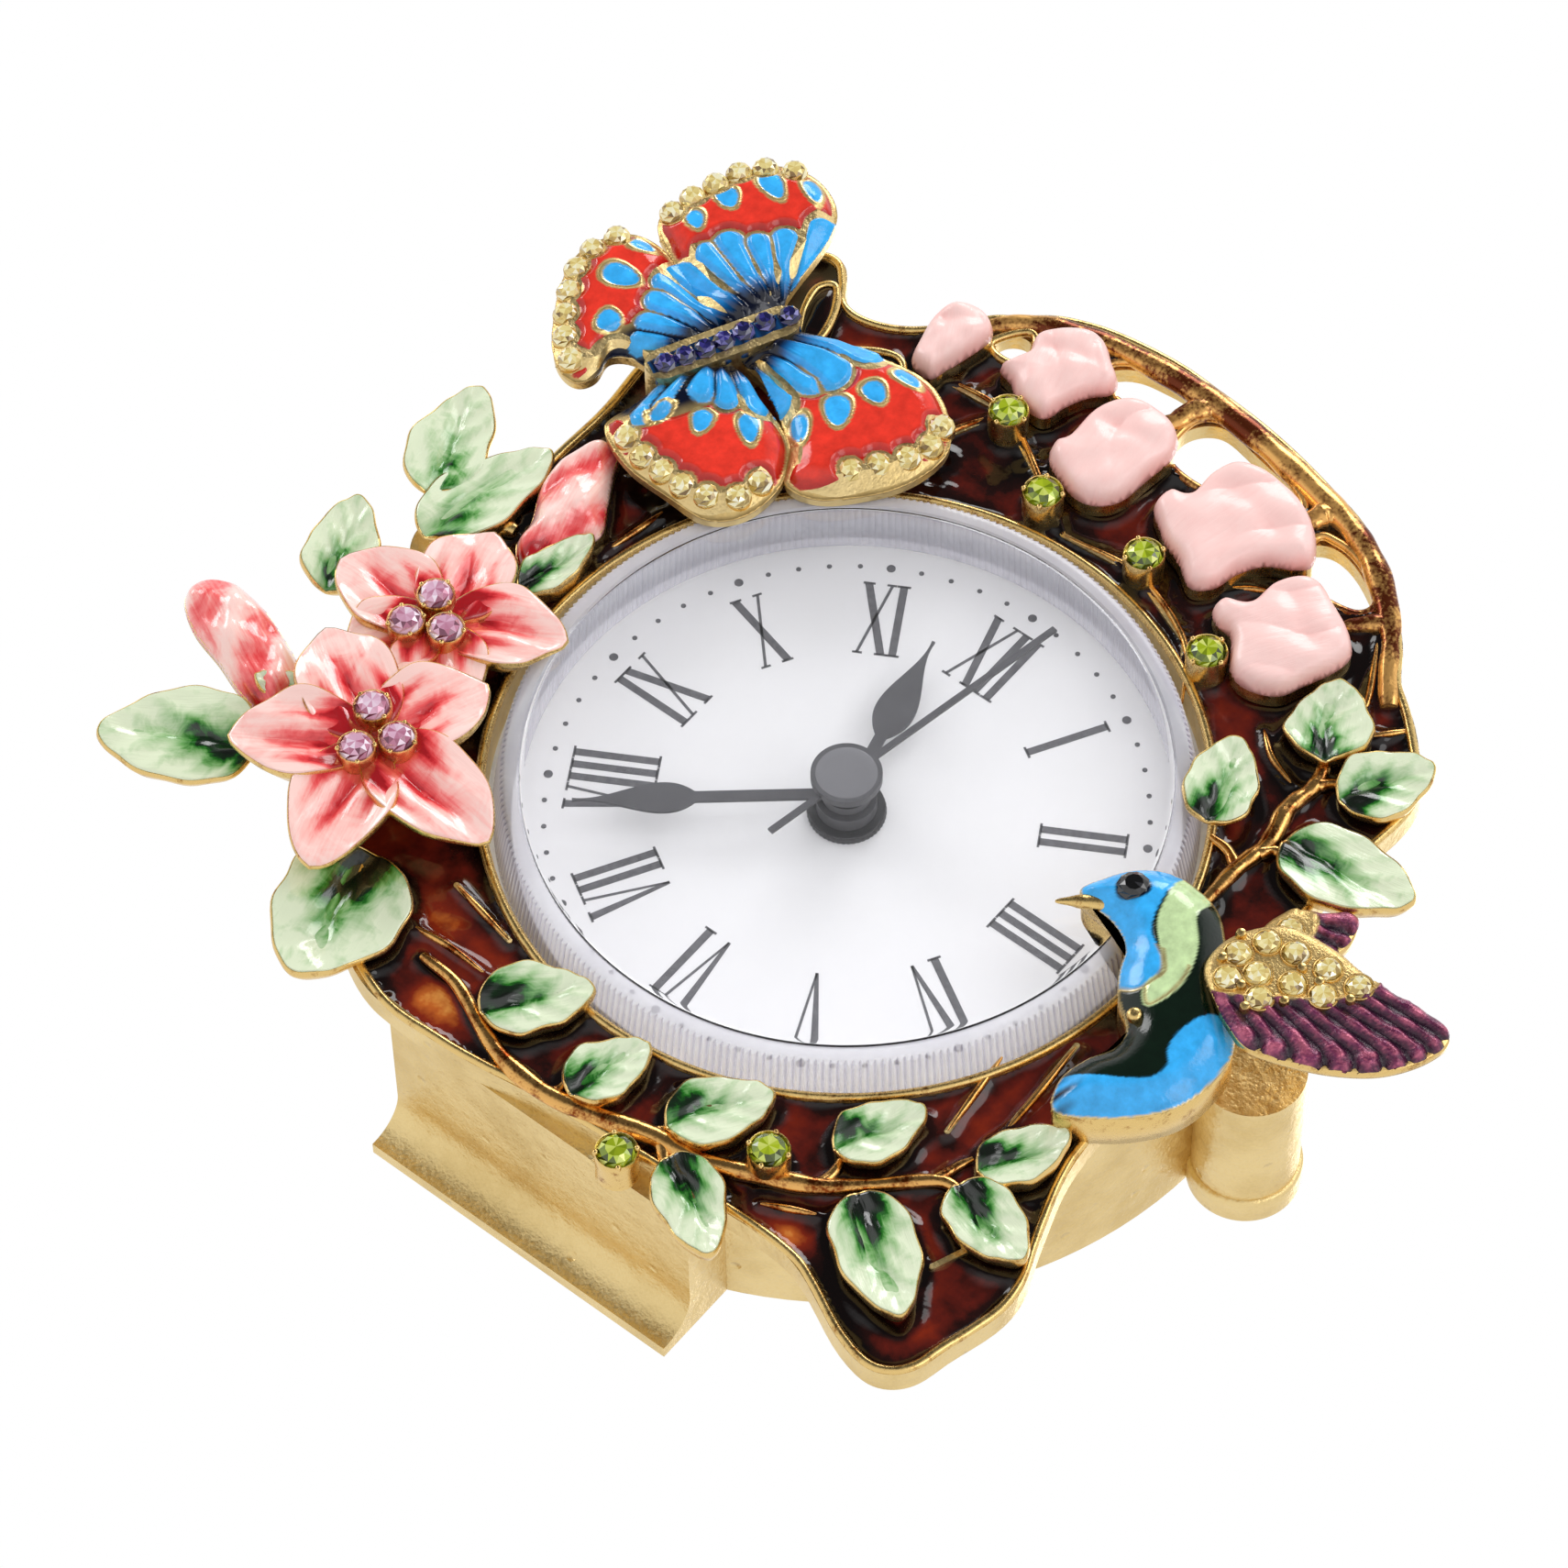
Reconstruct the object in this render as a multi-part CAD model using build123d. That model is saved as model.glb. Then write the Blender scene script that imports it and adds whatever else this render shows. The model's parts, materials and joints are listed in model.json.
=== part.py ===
from build123d import *
from functools import cache
import math
import os

# A pendulette: a pierced and enamelled gold frame round a standard quartz clock insert.
# Millimetres. Each piece is drawn lying face up: x to the right, y to twelve o'clock,
# z towards the viewer, zero at the middle of the dial's face. At the end every piece is
# stood up, so that the clock rests on its foot and on the lowest leaves of the frame.

# Overall places
FRAME_SPAN = 100.0         # outlines and places of the ornament are shares of this
DIAL_HEIGHT = 47.2         # middle of the dial above the table
HOUSING_RADIUS = 42.0      # outside of the drum
HOUSING_DEPTH = 17.4       # from the frame's back to the clock's back
BOSS_RADIUS = 4.9          # screw boss at each side of the drum
BOSS_OFFSET = 45.6         # middle of the boss from the middle of the drum

# Frame
FRAME_BACK = 1.6
FRAME_FRONT = 4.2
BORE_RADIUS = 32.6         # hole for the insert
RIM_WALL = 0.9             # raised wall round the enamel
RIB_WALL = 0.55            # thin wall between two cells
CELL_DEPTH = 0.8
ENAMEL_DROP = 0.2          # the enamel lies this much under the walls
BRANCH_WIDTH = 1.5
BRANCH_HEIGHT = 1.2

# Drum, cover and foot
HOUSING_WALL = 1.6
HOUSING_FRONT = 1.4        # thickness of the front ring of the drum
COVER_THICKNESS = 3.0
COVER_PLATE = 1.3
COVER_RIM = 2.6
COVER_OPENING_RADIUS = 26.0
FOOT_HALF_WIDTH = 17.0
FOOT_THICKNESS = 1.4
FOOT_FLARE = 5.0           # depth over which the foot turns down
SCREW_RADIUS = 1.0
SCREW_HEAD_RADIUS = 1.9
SCREW_HEAD_HEIGHT = 0.9
SCREW_LENGTH = 4.0
FRAME_SCREW_RADIUS = 0.7
FRAME_SCREW_CIRCLE = 36.6
FRAME_SCREW_LENGTH = 2.2

# Insert: lens, dial and hands
LENS_RADIUS = 32.0
LENS_FRONT_RADIUS = 31.0
LENS_FRONT = 7.0
LENS_BACK = -1.6
LENS_PANE = 0.8
LENS_INNER_RADIUS = 29.4
LENS_SEAT_RADIUS = 30.4
DIAL_THICKNESS = 0.4
FIT = 0.05                 # running clearance on a radius
SEAT_GAP = 0.1             # clearance round a piece that is pushed into its seat
LENS_CLEARANCE = 0.3       # ornament that hangs over the lens stays this far from it
GASKET_HEIGHT = 2.2
HAND_THICKNESS = 0.3
HOUR_HAND_LEVEL = 2.0
MINUTE_HAND_LEVEL = 2.6
SECOND_HAND_LEVEL = 5.2
HOUR_HAND_LENGTH = 18.8
MINUTE_HAND_LENGTH = 24.6
SECOND_HAND_LENGTH = 25.0
SECOND_TAIL_LENGTH = 9.0
HOUR_HAND_WIDTH = 3.7
MINUTE_HAND_WIDTH = 3.2
HAND_STEM_WIDTH = 1.1
SECOND_HAND_WIDTH = 0.6
HOUR_TURN = 13.8           # counted against the clock from twelve
MINUTE_TURN = 130.2
SECOND_TURN = -10.6
HUB_CAP_RADIUS = 3.25
HUB_CAP_HEIGHT = 0.8
BOSS_NUT_RADIUS = 3.45
BOSS_NUT_HEIGHT = 0.8
HOUR_HUB_RADIUS = 2.75
MINUTE_HUB_RADIUS = 2.25
HUB_HEIGHT = 0.9

# Arbors, from the inside out
SECONDS_ARBOR_RADIUS = 0.4
CANNON_RADIUS = 1.0
HOUR_PIPE_RADIUS = 1.7
DIAL_BOSS_RADIUS = 2.6
TRAIN_ARBOR_RADIUS = 0.4
SETTING_ARBOR_RADIUS = 0.6
PIVOT_DEPTH = 0.4          # depth of the pivot holes in plate and case

# Movement casing
PLATE_RADIUS = 30.3
PLATE_THICKNESS = 1.2
CASE_RADIUS = 27.0
CASE_WALL = 1.2
CASE_DEPTH = 8.8
BATTERY_RADIUS = 5.8
BATTERY_HEIGHT = 5.4
BATTERY_OFFSET = 16.5
BATTERY_COVER_RADIUS = 7.0
KNOB_RADIUS = 3.6
KNOB_HEIGHT = 2.4
COIL_RADIUS = 2.1
COIL_LENGTH = 16.0
COIL_CORE_RADIUS = 0.7
ROTOR_RADIUS = 2.4
ROTOR_HEIGHT = 1.6
STATOR_THICKNESS = 0.7
STATOR_WIDTH = 3.4
STATOR_GAP = 0.4
BOARD_LENGTH = 16.0
BOARD_OFFSET = 16.0
BOARD_WIDTH = 7.0
BOARD_THICKNESS = 0.8
CONTACT_THICKNESS = 0.3
CONTACT_WIDTH = 4.0

# Gears: module, wheel teeth, pinion teeth
WHEEL_THICKNESS = 0.5
ROTOR_MODULE = 0.2
FIFTH_MODULE = 0.28
THIRD_MODULE = 0.2
MOTION_MODULE = 0.3
FIFTH_TEETH = 48
SECONDS_TEETH = 40
THIRD_TEETH = 60
CENTRE_TEETH = 64
TRAIN_PINION_TEETH = 8
CANNON_TEETH = 12
MOTION_TEETH = 36
MOTION_PINION_TEETH = 10
HOUR_TEETH = 40
TIP_SHARE = 0.55           # tooth height over the pitch circle, in modules
ROOT_SHARE = 1.1           # tooth depth under the pitch circle, in modules
TIP_HALF_SHARE = 0.07      # half of a tooth's tip, in pitches

# Levels of the wheels, measured down from the dial's face
HOUR_WHEEL_LEVEL = -2.8
MOTION_WHEEL_LEVEL = -3.9
CENTRE_WHEEL_LEVEL = -5.2
THIRD_WHEEL_LEVEL = -6.6
SECONDS_WHEEL_LEVEL = -7.5
FIFTH_WHEEL_LEVEL = -8.7
PINION_HEIGHT = 0.9

# Directions in which the wheels lie from the middle, in degrees
MOTION_DIRECTION = 90.0
THIRD_DIRECTION = 20.0
FIFTH_DIRECTION = 190.0
ROTOR_DIRECTION = 235.0
BATTERY_DIRECTION = -40.0
CONTACT_DIRECTION = 200.0  # the side post, from the middle of the battery

# Stones
LARGE_STONE_RADIUS = 1.65
STONE_HEIGHT = 1.1
CUP_RADIUS = 2.05
CUP_HEIGHT = 3.0
CUP_LIP = 0.55
SMALL_STONE_RADIUS = 1.05
SMALL_STONE_HEIGHT = 0.9
EDGE_STONE_HEIGHT = 1.35
BODY_STONE_RADIUS = 0.95
EYE_RADIUS = 1.25
STONE_SIDES = 8
CUP_SIDES = 12
TABLE_SHARE = 0.62         # flat top of a stone against its girdle

# Ornament: levels and rounding
CROWN = 1.7                # how far a domed piece draws in towards its top
LEAF_HEIGHT = 2.6
HIGH_LEAF_HEIGHT = 4.4
BELL_HEIGHT = 4.2
STEM_WIDTH = 2.4
BUD_HEIGHT = 3.0
BUD_CROWN = 1.1
PETAL_HEIGHT = 1.6
PETAL_WIDTH = 8.6
PETAL_CROWN = 1.5
FLOWER_POST_RADIUS = 3.0
UPPER_FLOWER_LEVEL = 7.4
LOWER_FLOWER_LEVEL = 9.1
FLOWER_CUP_HEIGHT = 1.2
WING_LEVEL = 7.4
WING_EDGE = 1.0            # upright edge of a wing
WING_HEIGHT = 2.3
WING_BEVEL = 2.0           # sloping border that carries the stones
WING_ENAMEL_HEIGHT = 0.6
INSECT_LENGTH = 15.6
INSECT_WIDTH = 3.6
INSECT_TURN = 63.4
BIRD_HEIGHT = 5.3
BIRD_CROWN = 1.2
BEAK_HEIGHT = 1.4
BIRD_WING_HEIGHT = 1.8
BIRD_WING_CROWN = 0.8
FAR_WING_HEIGHT = 2.0
GROOVE_DEPTH = 0.4         # veins, feathers and folds are channels this deep
VEIN_WIDTH = 0.5
SIDE_VEIN_WIDTH = 0.3
FOLD_WIDTH = 0.9
FEATHER_GAP = 0.35

frame_shares = [
    (-0.180, -0.436), (-0.114, -0.438), (-0.064, -0.434), (-0.014, -0.427), (0.080, -0.420),
    (0.160, -0.416), (0.220, -0.413), (0.270, -0.416), (0.300, -0.427), (0.340, -0.447),
    (0.370, -0.457), (0.393, -0.458), (0.412, -0.448), (0.424, -0.430), (0.430, -0.405),
    (0.440, -0.370), (0.446, -0.338), (0.442, -0.306), (0.430, -0.276), (0.419, -0.246),
    (0.406, -0.206), (0.400, -0.166), (0.402, -0.080), (0.410, 0.000), (0.410, 0.100),
    (0.406, 0.180), (0.412, 0.254), (0.414, 0.285), (0.408, 0.315), (0.390, 0.340),
    (0.352, 0.379), (0.322, 0.404), (0.307, 0.427), (0.282, 0.457), (0.252, 0.486),
    (0.222, 0.509), (0.192, 0.527), (0.142, 0.543), (0.092, 0.556), (0.042, 0.565),
    (-0.009, 0.570), (-0.049, 0.573), (-0.089, 0.571), (-0.129, 0.565), (-0.159, 0.556),
    (-0.184, 0.544), (-0.209, 0.524), (-0.231, 0.507), (-0.255, 0.475), (-0.287, 0.446),
    (-0.320, 0.432), (-0.346, 0.434), (-0.362, 0.453), (-0.380, 0.470), (-0.400, 0.470),
    (-0.418, 0.450), (-0.430, 0.400), (-0.450, 0.330), (-0.455, 0.260), (-0.448, 0.190),
    (-0.448, 0.100), (-0.430, 0.000), (-0.425, -0.080), (-0.420, -0.160), (-0.400, -0.220),
    (-0.370, -0.280), (-0.320, -0.350), (-0.260, -0.400),
]
window_shares = [
    [(-0.206, 0.482), (-0.184, 0.477), (-0.176, 0.493), (-0.188, 0.510)],
    [(-0.105, 0.530), (-0.085, 0.546), (-0.050, 0.552), (-0.030, 0.550), (-0.025, 0.535),
     (-0.035, 0.512), (-0.075, 0.506), (-0.096, 0.511)],
    [(-0.003, 0.493), (-0.002, 0.526), (0.015, 0.540), (0.045, 0.538), (0.090, 0.528),
     (0.126, 0.512), (0.130, 0.500), (0.110, 0.486), (0.050, 0.472), (0.010, 0.476)],
    [(0.168, 0.486), (0.180, 0.492), (0.203, 0.490), (0.232, 0.476), (0.248, 0.459),
     (0.240, 0.444), (0.205, 0.440), (0.175, 0.450)],
]
rib_shares = [
    [(-0.242, 0.418), (-0.150, 0.424), (-0.060, 0.372), (-0.020, 0.345)],
    [(-0.150, 0.424), (-0.178, 0.365), (-0.165, 0.300)],
    [(0.180, 0.262), (0.140, 0.318), (0.060, 0.352), (-0.020, 0.345)],
    [(0.286, -0.140), (0.296, -0.230)],
    [(0.330, -0.090), (0.336, -0.210)],
    [(-0.205, -0.300), (-0.130, -0.316)],
    [(0.330, 0.000), (0.334, 0.100)],
    [(-0.340, 0.060), (-0.322, 0.150)],
    [(0.360, 0.366), (0.330, 0.330)],
    [(0.370, -0.345), (0.392, -0.290)],
]
vine_branch_shares = [
    [(-0.178, -0.378), (-0.135, -0.382), (-0.090, -0.402), (-0.050, -0.416), (0.000, -0.420),
     (0.050, -0.410), (0.100, -0.395), (0.150, -0.388), (0.200, -0.368), (0.245, -0.345),
     (0.280, -0.315), (0.320, -0.278), (0.345, -0.272)],
    [(0.245, -0.345), (0.243, -0.310)],
    [(0.110, -0.394), (0.142, -0.428)],
]
right_branch_shares = [
    [(0.328, 0.085), (0.329, 0.145), (0.334, 0.185), (0.324, 0.225), (0.330, 0.260), (0.322, 0.290)],
    [(0.329, 0.145), (0.290, 0.158)],
    [(0.334, 0.170), (0.352, 0.180)],
    [(0.330, 0.260), (0.352, 0.276)],
]

# Leaves: middle x, middle y, length, width, all shares of the span, and the turn in degrees
vine_leaf_shares = [
    (-0.065, -0.354, 0.105, 0.070, 45), (0.031, -0.371, 0.086, 0.062, 70),
    (0.134, -0.343, 0.100, 0.070, 55), (0.256, -0.273, 0.090, 0.058, 65),
    (0.368, -0.214, 0.090, 0.060, 65), (0.387, -0.288, 0.100, 0.064, -15),
    (0.333, -0.372, 0.135, 0.075, -35), (0.176, -0.4368, 0.114, 0.062, -33),
]
right_leaf_shares = [
    (0.305, 0.318, 0.086, 0.078, 115), (0.383, 0.296, 0.095, 0.070, 60),
    (0.413, 0.196, 0.135, 0.085, 8),
]
inner_leaf_shares = (0.276, 0.193, 0.096, 0.066, 110)
# One side of a leaf's edge: along and across from its middle, as shares of half its size
leaf_edge_shares = [(-0.55, 0.94), (0.15, 1.00), (0.68, 0.53)]
# Veins of a leaf: along and across as shares of half its size, from the midrib outwards
midrib_shares = [(-0.62, 0), (0.58, 0)]
side_vein_shares = [
    [(-0.40, 0), (-0.10, 0.42)], [(-0.40, 0), (-0.10, -0.42)],
    [(-0.02, 0), (0.26, 0.34)], [(-0.02, 0), (0.26, -0.34)],
]
left_leaf_shares = [
    (-0.524, 0.070, 0.130, 0.075, 105), (-0.460, 0.042, 0.150, 0.080, 75),
    (-0.524, -0.085, 0.110, 0.068, 115), (-0.499, -0.340, 0.150, 0.100, 218),
    (-0.262, -0.3976, 0.150, 0.125, 280),
]
left_stem_shares = [
    [(-0.415, 0.030), (-0.475, 0.030)],
    [(-0.415, -0.115), (-0.500, -0.115)],
    [(-0.365, -0.270), (-0.450, -0.305)],
    [(-0.270, -0.340), (-0.262, -0.380)],
]
sepal_shares = (-0.352, 0.015, 0.090, 0.040, 80)

# Flowers: middle, then each petal's length as a share and its turn in degrees
upper_flower_share = (-0.385, -0.110)
upper_petal_shares = [(0.117, 105), (0.119, 30), (0.122, 180), (0.110, 310), (0.096, 242)]
lower_flower_share = (-0.340, -0.255)
lower_petal_shares = [(0.137, 149), (0.131, 215), (0.144, 288), (0.153, -6), (0.122, 71)]
# Half of a petal's edge: along its length, then across as a share of its width
petal_edge_shares = [(0.10, 0.14), (0.40, 0.36), (0.68, 0.50), (0.90, 0.30)]
# The sunken rib of a petal: its start and end along the petal
petal_rib_shares = (0.26, 0.80)
upper_stone_shares = [(-0.400, -0.097), (-0.368, -0.120), (-0.402, -0.136)]
lower_stone_shares = [(-0.355, -0.235), (-0.315, -0.247), (-0.337, -0.278)]
green_stone_shares = [
    (-0.135, 0.410), (-0.052, 0.355), (0.064, 0.356), (0.175, 0.304),
    (0.198, -0.355), (0.096, -0.440),
]
bud_left_shares = [
    (-0.450, -0.272), (-0.490, -0.268), (-0.530, -0.254), (-0.570, -0.242), (-0.600, -0.222),
    (-0.606, -0.198), (-0.580, -0.180), (-0.540, -0.182), (-0.500, -0.196), (-0.465, -0.214),
    (-0.443, -0.240),
]
bud_left_stem_shares = [(-0.450, -0.252), (-0.385, -0.262)]
bud_top_shares = [
    (-0.375, -0.008), (-0.398, 0.010), (-0.405, 0.040), (-0.425, 0.080), (-0.426, 0.120),
    (-0.412, 0.150), (-0.392, 0.152), (-0.380, 0.130), (-0.362, 0.100), (-0.345, 0.068),
    (-0.358, 0.035), (-0.362, 0.005),
]
bud_left_fold_shares = [(-0.582, -0.207), (-0.530, -0.222), (-0.482, -0.238)]
bud_top_fold_shares = [(-0.406, 0.128), (-0.400, 0.090), (-0.384, 0.050)]
# Two folds on each bell: middle x and y, length, the step between them, and the turn in degrees
bell_fold_shares = [
    (-0.234, 0.450, 0.040, 0.020, 110), (-0.128, 0.485, 0.054, 0.028, 100),
    (-0.035, 0.440, 0.070, 0.034, 92), (0.108, 0.438, 0.074, 0.044, 80),
    (0.212, 0.370, 0.066, 0.040, 58),
]
bell_shares = [
    [(-0.222, 0.401), (-0.246, 0.405), (-0.256, 0.430), (-0.262, 0.460), (-0.256, 0.482),
     (-0.236, 0.492), (-0.216, 0.488), (-0.205, 0.473), (-0.209, 0.445), (-0.215, 0.421)],
    [(-0.116, 0.428), (-0.141, 0.431), (-0.158, 0.443), (-0.176, 0.450), (-0.172, 0.464),
     (-0.166, 0.480), (-0.172, 0.500), (-0.158, 0.521), (-0.134, 0.535), (-0.116, 0.534),
     (-0.096, 0.519), (-0.079, 0.505), (-0.078, 0.491), (-0.092, 0.475), (-0.102, 0.453),
     (-0.106, 0.435)],
    [(-0.028, 0.375), (-0.051, 0.381), (-0.074, 0.393), (-0.082, 0.410), (-0.076, 0.425),
     (-0.076, 0.460), (-0.066, 0.485), (-0.046, 0.499), (-0.016, 0.499), (0.004, 0.488),
     (0.013, 0.467), (0.010, 0.435), (0.006, 0.400), (-0.008, 0.381)],
    [(0.089, 0.375), (0.069, 0.383), (0.052, 0.395), (0.034, 0.411), (0.036, 0.433),
     (0.053, 0.441), (0.054, 0.470), (0.064, 0.495), (0.089, 0.505), (0.119, 0.503),
     (0.149, 0.493), (0.174, 0.473), (0.188, 0.449), (0.178, 0.435), (0.154, 0.421),
     (0.140, 0.399), (0.132, 0.371), (0.114, 0.359)],
    [(0.179, 0.335), (0.159, 0.340), (0.147, 0.350), (0.150, 0.365), (0.170, 0.375),
     (0.174, 0.405), (0.189, 0.427), (0.209, 0.433), (0.234, 0.421), (0.259, 0.407),
     (0.276, 0.388), (0.274, 0.363), (0.262, 0.335), (0.250, 0.311), (0.224, 0.300),
     (0.200, 0.306)],
]
wing_shares = [
    [(-0.362, 0.345), (-0.374, 0.380), (-0.380, 0.420), (-0.386, 0.455), (-0.400, 0.485),
     (-0.425, 0.502), (-0.455, 0.506), (-0.485, 0.493), (-0.506, 0.463), (-0.518, 0.425),
     (-0.529, 0.390), (-0.522, 0.368), (-0.500, 0.353), (-0.450, 0.330), (-0.378, 0.303)],
    [(-0.382, 0.298), (-0.460, 0.333), (-0.500, 0.349), (-0.535, 0.346), (-0.556, 0.320),
     (-0.560, 0.290), (-0.548, 0.255), (-0.528, 0.222), (-0.508, 0.196), (-0.483, 0.178),
     (-0.463, 0.178), (-0.454, 0.196), (-0.458, 0.216), (-0.443, 0.230), (-0.395, 0.238)],
    [(-0.355, 0.335), (-0.320, 0.358), (-0.270, 0.373), (-0.225, 0.381), (-0.193, 0.376),
     (-0.163, 0.356), (-0.144, 0.330), (-0.143, 0.300), (-0.155, 0.265), (-0.176, 0.236),
     (-0.205, 0.210), (-0.236, 0.206), (-0.255, 0.232), (-0.285, 0.260), (-0.330, 0.285),
     (-0.360, 0.295)],
    [(-0.365, 0.280), (-0.315, 0.266), (-0.270, 0.248), (-0.246, 0.220), (-0.238, 0.185),
     (-0.246, 0.150), (-0.270, 0.129), (-0.310, 0.128), (-0.355, 0.130), (-0.388, 0.140),
     (-0.410, 0.156), (-0.403, 0.185), (-0.398, 0.220), (-0.388, 0.255)],
]
wing_stone_shares = [
    (-0.162, 0.343), (-0.156, 0.319), (-0.164, 0.295), (-0.180, 0.272), (-0.196, 0.251),
    (-0.253, 0.188), (-0.258, 0.163), (-0.281, 0.146), (-0.306, 0.142), (-0.331, 0.143),
    (-0.356, 0.145), (-0.381, 0.153), (-0.460, 0.496), (-0.484, 0.482), (-0.500, 0.462),
    (-0.509, 0.438), (-0.516, 0.412), (-0.519, 0.386), (-0.541, 0.330), (-0.549, 0.304),
    (-0.546, 0.277), (-0.534, 0.252), (-0.519, 0.229), (-0.502, 0.208), (-0.481, 0.191),
]
# Lines between the blue strokes and the red fields, one group for each wing
wing_line_shares = [
    [[(-0.399, 0.464), (-0.421, 0.430), (-0.436, 0.409), (-0.459, 0.389), (-0.470, 0.369)],
     [(-0.382, 0.372), (-0.410, 0.440)], [(-0.390, 0.366), (-0.426, 0.418)],
     [(-0.394, 0.356), (-0.446, 0.396)], [(-0.396, 0.350), (-0.462, 0.378)]],
    [[(-0.476, 0.336), (-0.476, 0.315), (-0.466, 0.290), (-0.456, 0.262), (-0.448, 0.242)],
     [(-0.405, 0.324), (-0.474, 0.326)], [(-0.408, 0.304), (-0.474, 0.304)],
     [(-0.415, 0.286), (-0.462, 0.278)]],
    [[(-0.260, 0.368), (-0.276, 0.346), (-0.280, 0.314), (-0.286, 0.288), (-0.296, 0.266)],
     [(-0.330, 0.330), (-0.274, 0.346)], [(-0.330, 0.310), (-0.280, 0.314)],
     [(-0.334, 0.294), (-0.286, 0.288)]],
    [[(-0.316, 0.256), (-0.330, 0.234), (-0.354, 0.222), (-0.374, 0.190)],
     [(-0.356, 0.268), (-0.322, 0.248)], [(-0.368, 0.260), (-0.346, 0.228)],
     [(-0.380, 0.250), (-0.364, 0.206)]],
]
insect_share = (-0.378, 0.288)
insect_stone_shares = [
    (-0.348, 0.350), (-0.361, 0.330), (-0.370, 0.309), (-0.377, 0.289), (-0.385, 0.271),
    (-0.394, 0.253), (-0.403, 0.235),
]
bird_shares = [
    (0.252, 0.016), (0.260, 0.042), (0.276, 0.065), (0.300, 0.080), (0.330, 0.082),
    (0.360, 0.073), (0.386, 0.048), (0.410, 0.018), (0.436, -0.010), (0.456, -0.035),
    (0.460, -0.070), (0.454, -0.103), (0.436, -0.132), (0.408, -0.158), (0.372, -0.178),
    (0.357, -0.150), (0.362, -0.120), (0.374, -0.095), (0.370, -0.072),
    (0.346, -0.052), (0.330, -0.030), (0.318, -0.006), (0.294, 0.008),
]
beak_shares = [(0.256, 0.026), (0.280, 0.012), (0.244, -0.008), (0.239, -0.002)]
eye_share = (0.285, 0.047)
bird_wing_shares = [
    (0.394, 0.007), (0.390, 0.037), (0.402, 0.065), (0.426, 0.088), (0.470, 0.093),
    (0.520, 0.088), (0.565, 0.090), (0.596, 0.087), (0.604, 0.073), (0.596, 0.045),
    (0.574, 0.017), (0.545, -0.005), (0.510, -0.022), (0.470, -0.034), (0.446, -0.027),
    (0.420, -0.013),
]
feather_gap_shares = [
    [(0.532, 0.068), (0.594, 0.069)], [(0.524, 0.055), (0.592, 0.053)],
    [(0.514, 0.043), (0.580, 0.037)], [(0.498, 0.031), (0.568, 0.020)],
    [(0.484, 0.022), (0.550, 0.006)], [(0.468, 0.010), (0.528, -0.006)],
    [(0.450, -0.004), (0.500, -0.017)], [(0.432, -0.008), (0.470, -0.022)],
]
far_feather_gap_shares = [[(0.424, 0.118), (0.454, 0.126)], [(0.424, 0.130), (0.448, 0.146)]]
far_wing_shares = [
    (0.391, 0.100), (0.398, 0.132), (0.420, 0.144), (0.438, 0.160), (0.452, 0.158),
    (0.458, 0.134), (0.448, 0.108), (0.418, 0.100),
]
bird_stone_shares = [
    (0.409, 0.035), (0.422, 0.060), (0.448, 0.066), (0.480, 0.070), (0.512, 0.072),
    (0.417, 0.009), (0.435, 0.028), (0.465, 0.039), (0.493, 0.045), (0.451, 0.009),
]


def spot(share):
    """A place on the frame, from its share of the span."""
    return (share[0] * FRAME_SPAN, share[1] * FRAME_SPAN)


def spots(shares):
    return [spot(share) for share in shares]


def polar(distance, degrees):
    angle = math.radians(degrees)
    return (distance * math.cos(angle), distance * math.sin(angle))


def lift(shape, level):
    return Pos(0, 0, level) * shape


def slab(face, low, high):
    """A face pushed up from one level to another."""
    return lift(extrude(face, amount=high - low), low)


def disc(radius, low, high, place=(0, 0)):
    return Pos(place[0], place[1], 0) * slab(Circle(radius), low, high)


def inset(points, distance):
    """The outline moved inwards; a negative distance moves it outwards."""
    count = len(points)
    pairs = zip(points, points[1:] + points[:1])
    area = sum(start[0] * end[1] - end[0] * start[1] for start, end in pairs)
    side = math.copysign(distance, area)
    moved = []
    for i in range(count):
        before, here, after = points[i - 1], points[i], points[(i + 1) % count]
        along = (after[0] - before[0], after[1] - before[1])
        length = math.hypot(*along)
        moved.append((here[0] - side * along[1] / length, here[1] + side * along[0] / length))
    return moved


def draw_in(points, distance):
    """The outline made smaller about its middle, by that distance on average."""
    count = len(points)
    middle = (sum(point[0] for point in points) / count, sum(point[1] for point in points) / count)
    mean_radius = sum(math.dist(point, middle) for point in points) / count
    factor = 1 - distance / mean_radius
    return [tuple(m + factor * (c - m) for c, m in zip(point, middle)) for point in points]


def outline_face(points):
    return make_face(Spline(*points, periodic=True))


def pillow(points, low, high, crown, shrink=draw_in):
    """A domed piece: upright at its foot and drawn in towards its top in two steps."""
    height = high - low
    shoulder_share, bend_share, bend_crown_share = 0.35, 0.78, 0.35
    sections = [
        lift(outline_face(points), low),
        lift(outline_face(points), low + height * shoulder_share),
        lift(outline_face(shrink(points, crown * bend_crown_share)), low + height * bend_share),
        lift(outline_face(shrink(points, crown)), high),
    ]
    return loft(sections, ruled=True)


def strip(points, width, low, high):
    """A bar of one width along straight runs, with round joints and ends."""
    faces = [Pos(*point) * Circle(width / 2) for point in points]
    for start, end in zip(points, points[1:]):
        run = (end[0] - start[0], end[1] - start[1])
        turn = math.degrees(math.atan2(run[1], run[0]))
        middle = ((start[0] + end[0]) / 2, (start[1] + end[1]) / 2)
        faces.append(Pos(*middle) * Rot(0, 0, turn) * Rectangle(math.hypot(*run), width))
    whole = faces[0]
    for face in faces[1:]:
        whole += face
    return slab(whole, low, high)


def grooves(lines, width, top):
    """Channels along the given lines, cut into a face at this level."""
    whole = Part()
    for line in lines:
        whole += strip(line, width, top - GROOVE_DEPTH, top + GROOVE_DEPTH)
    return whole


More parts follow.
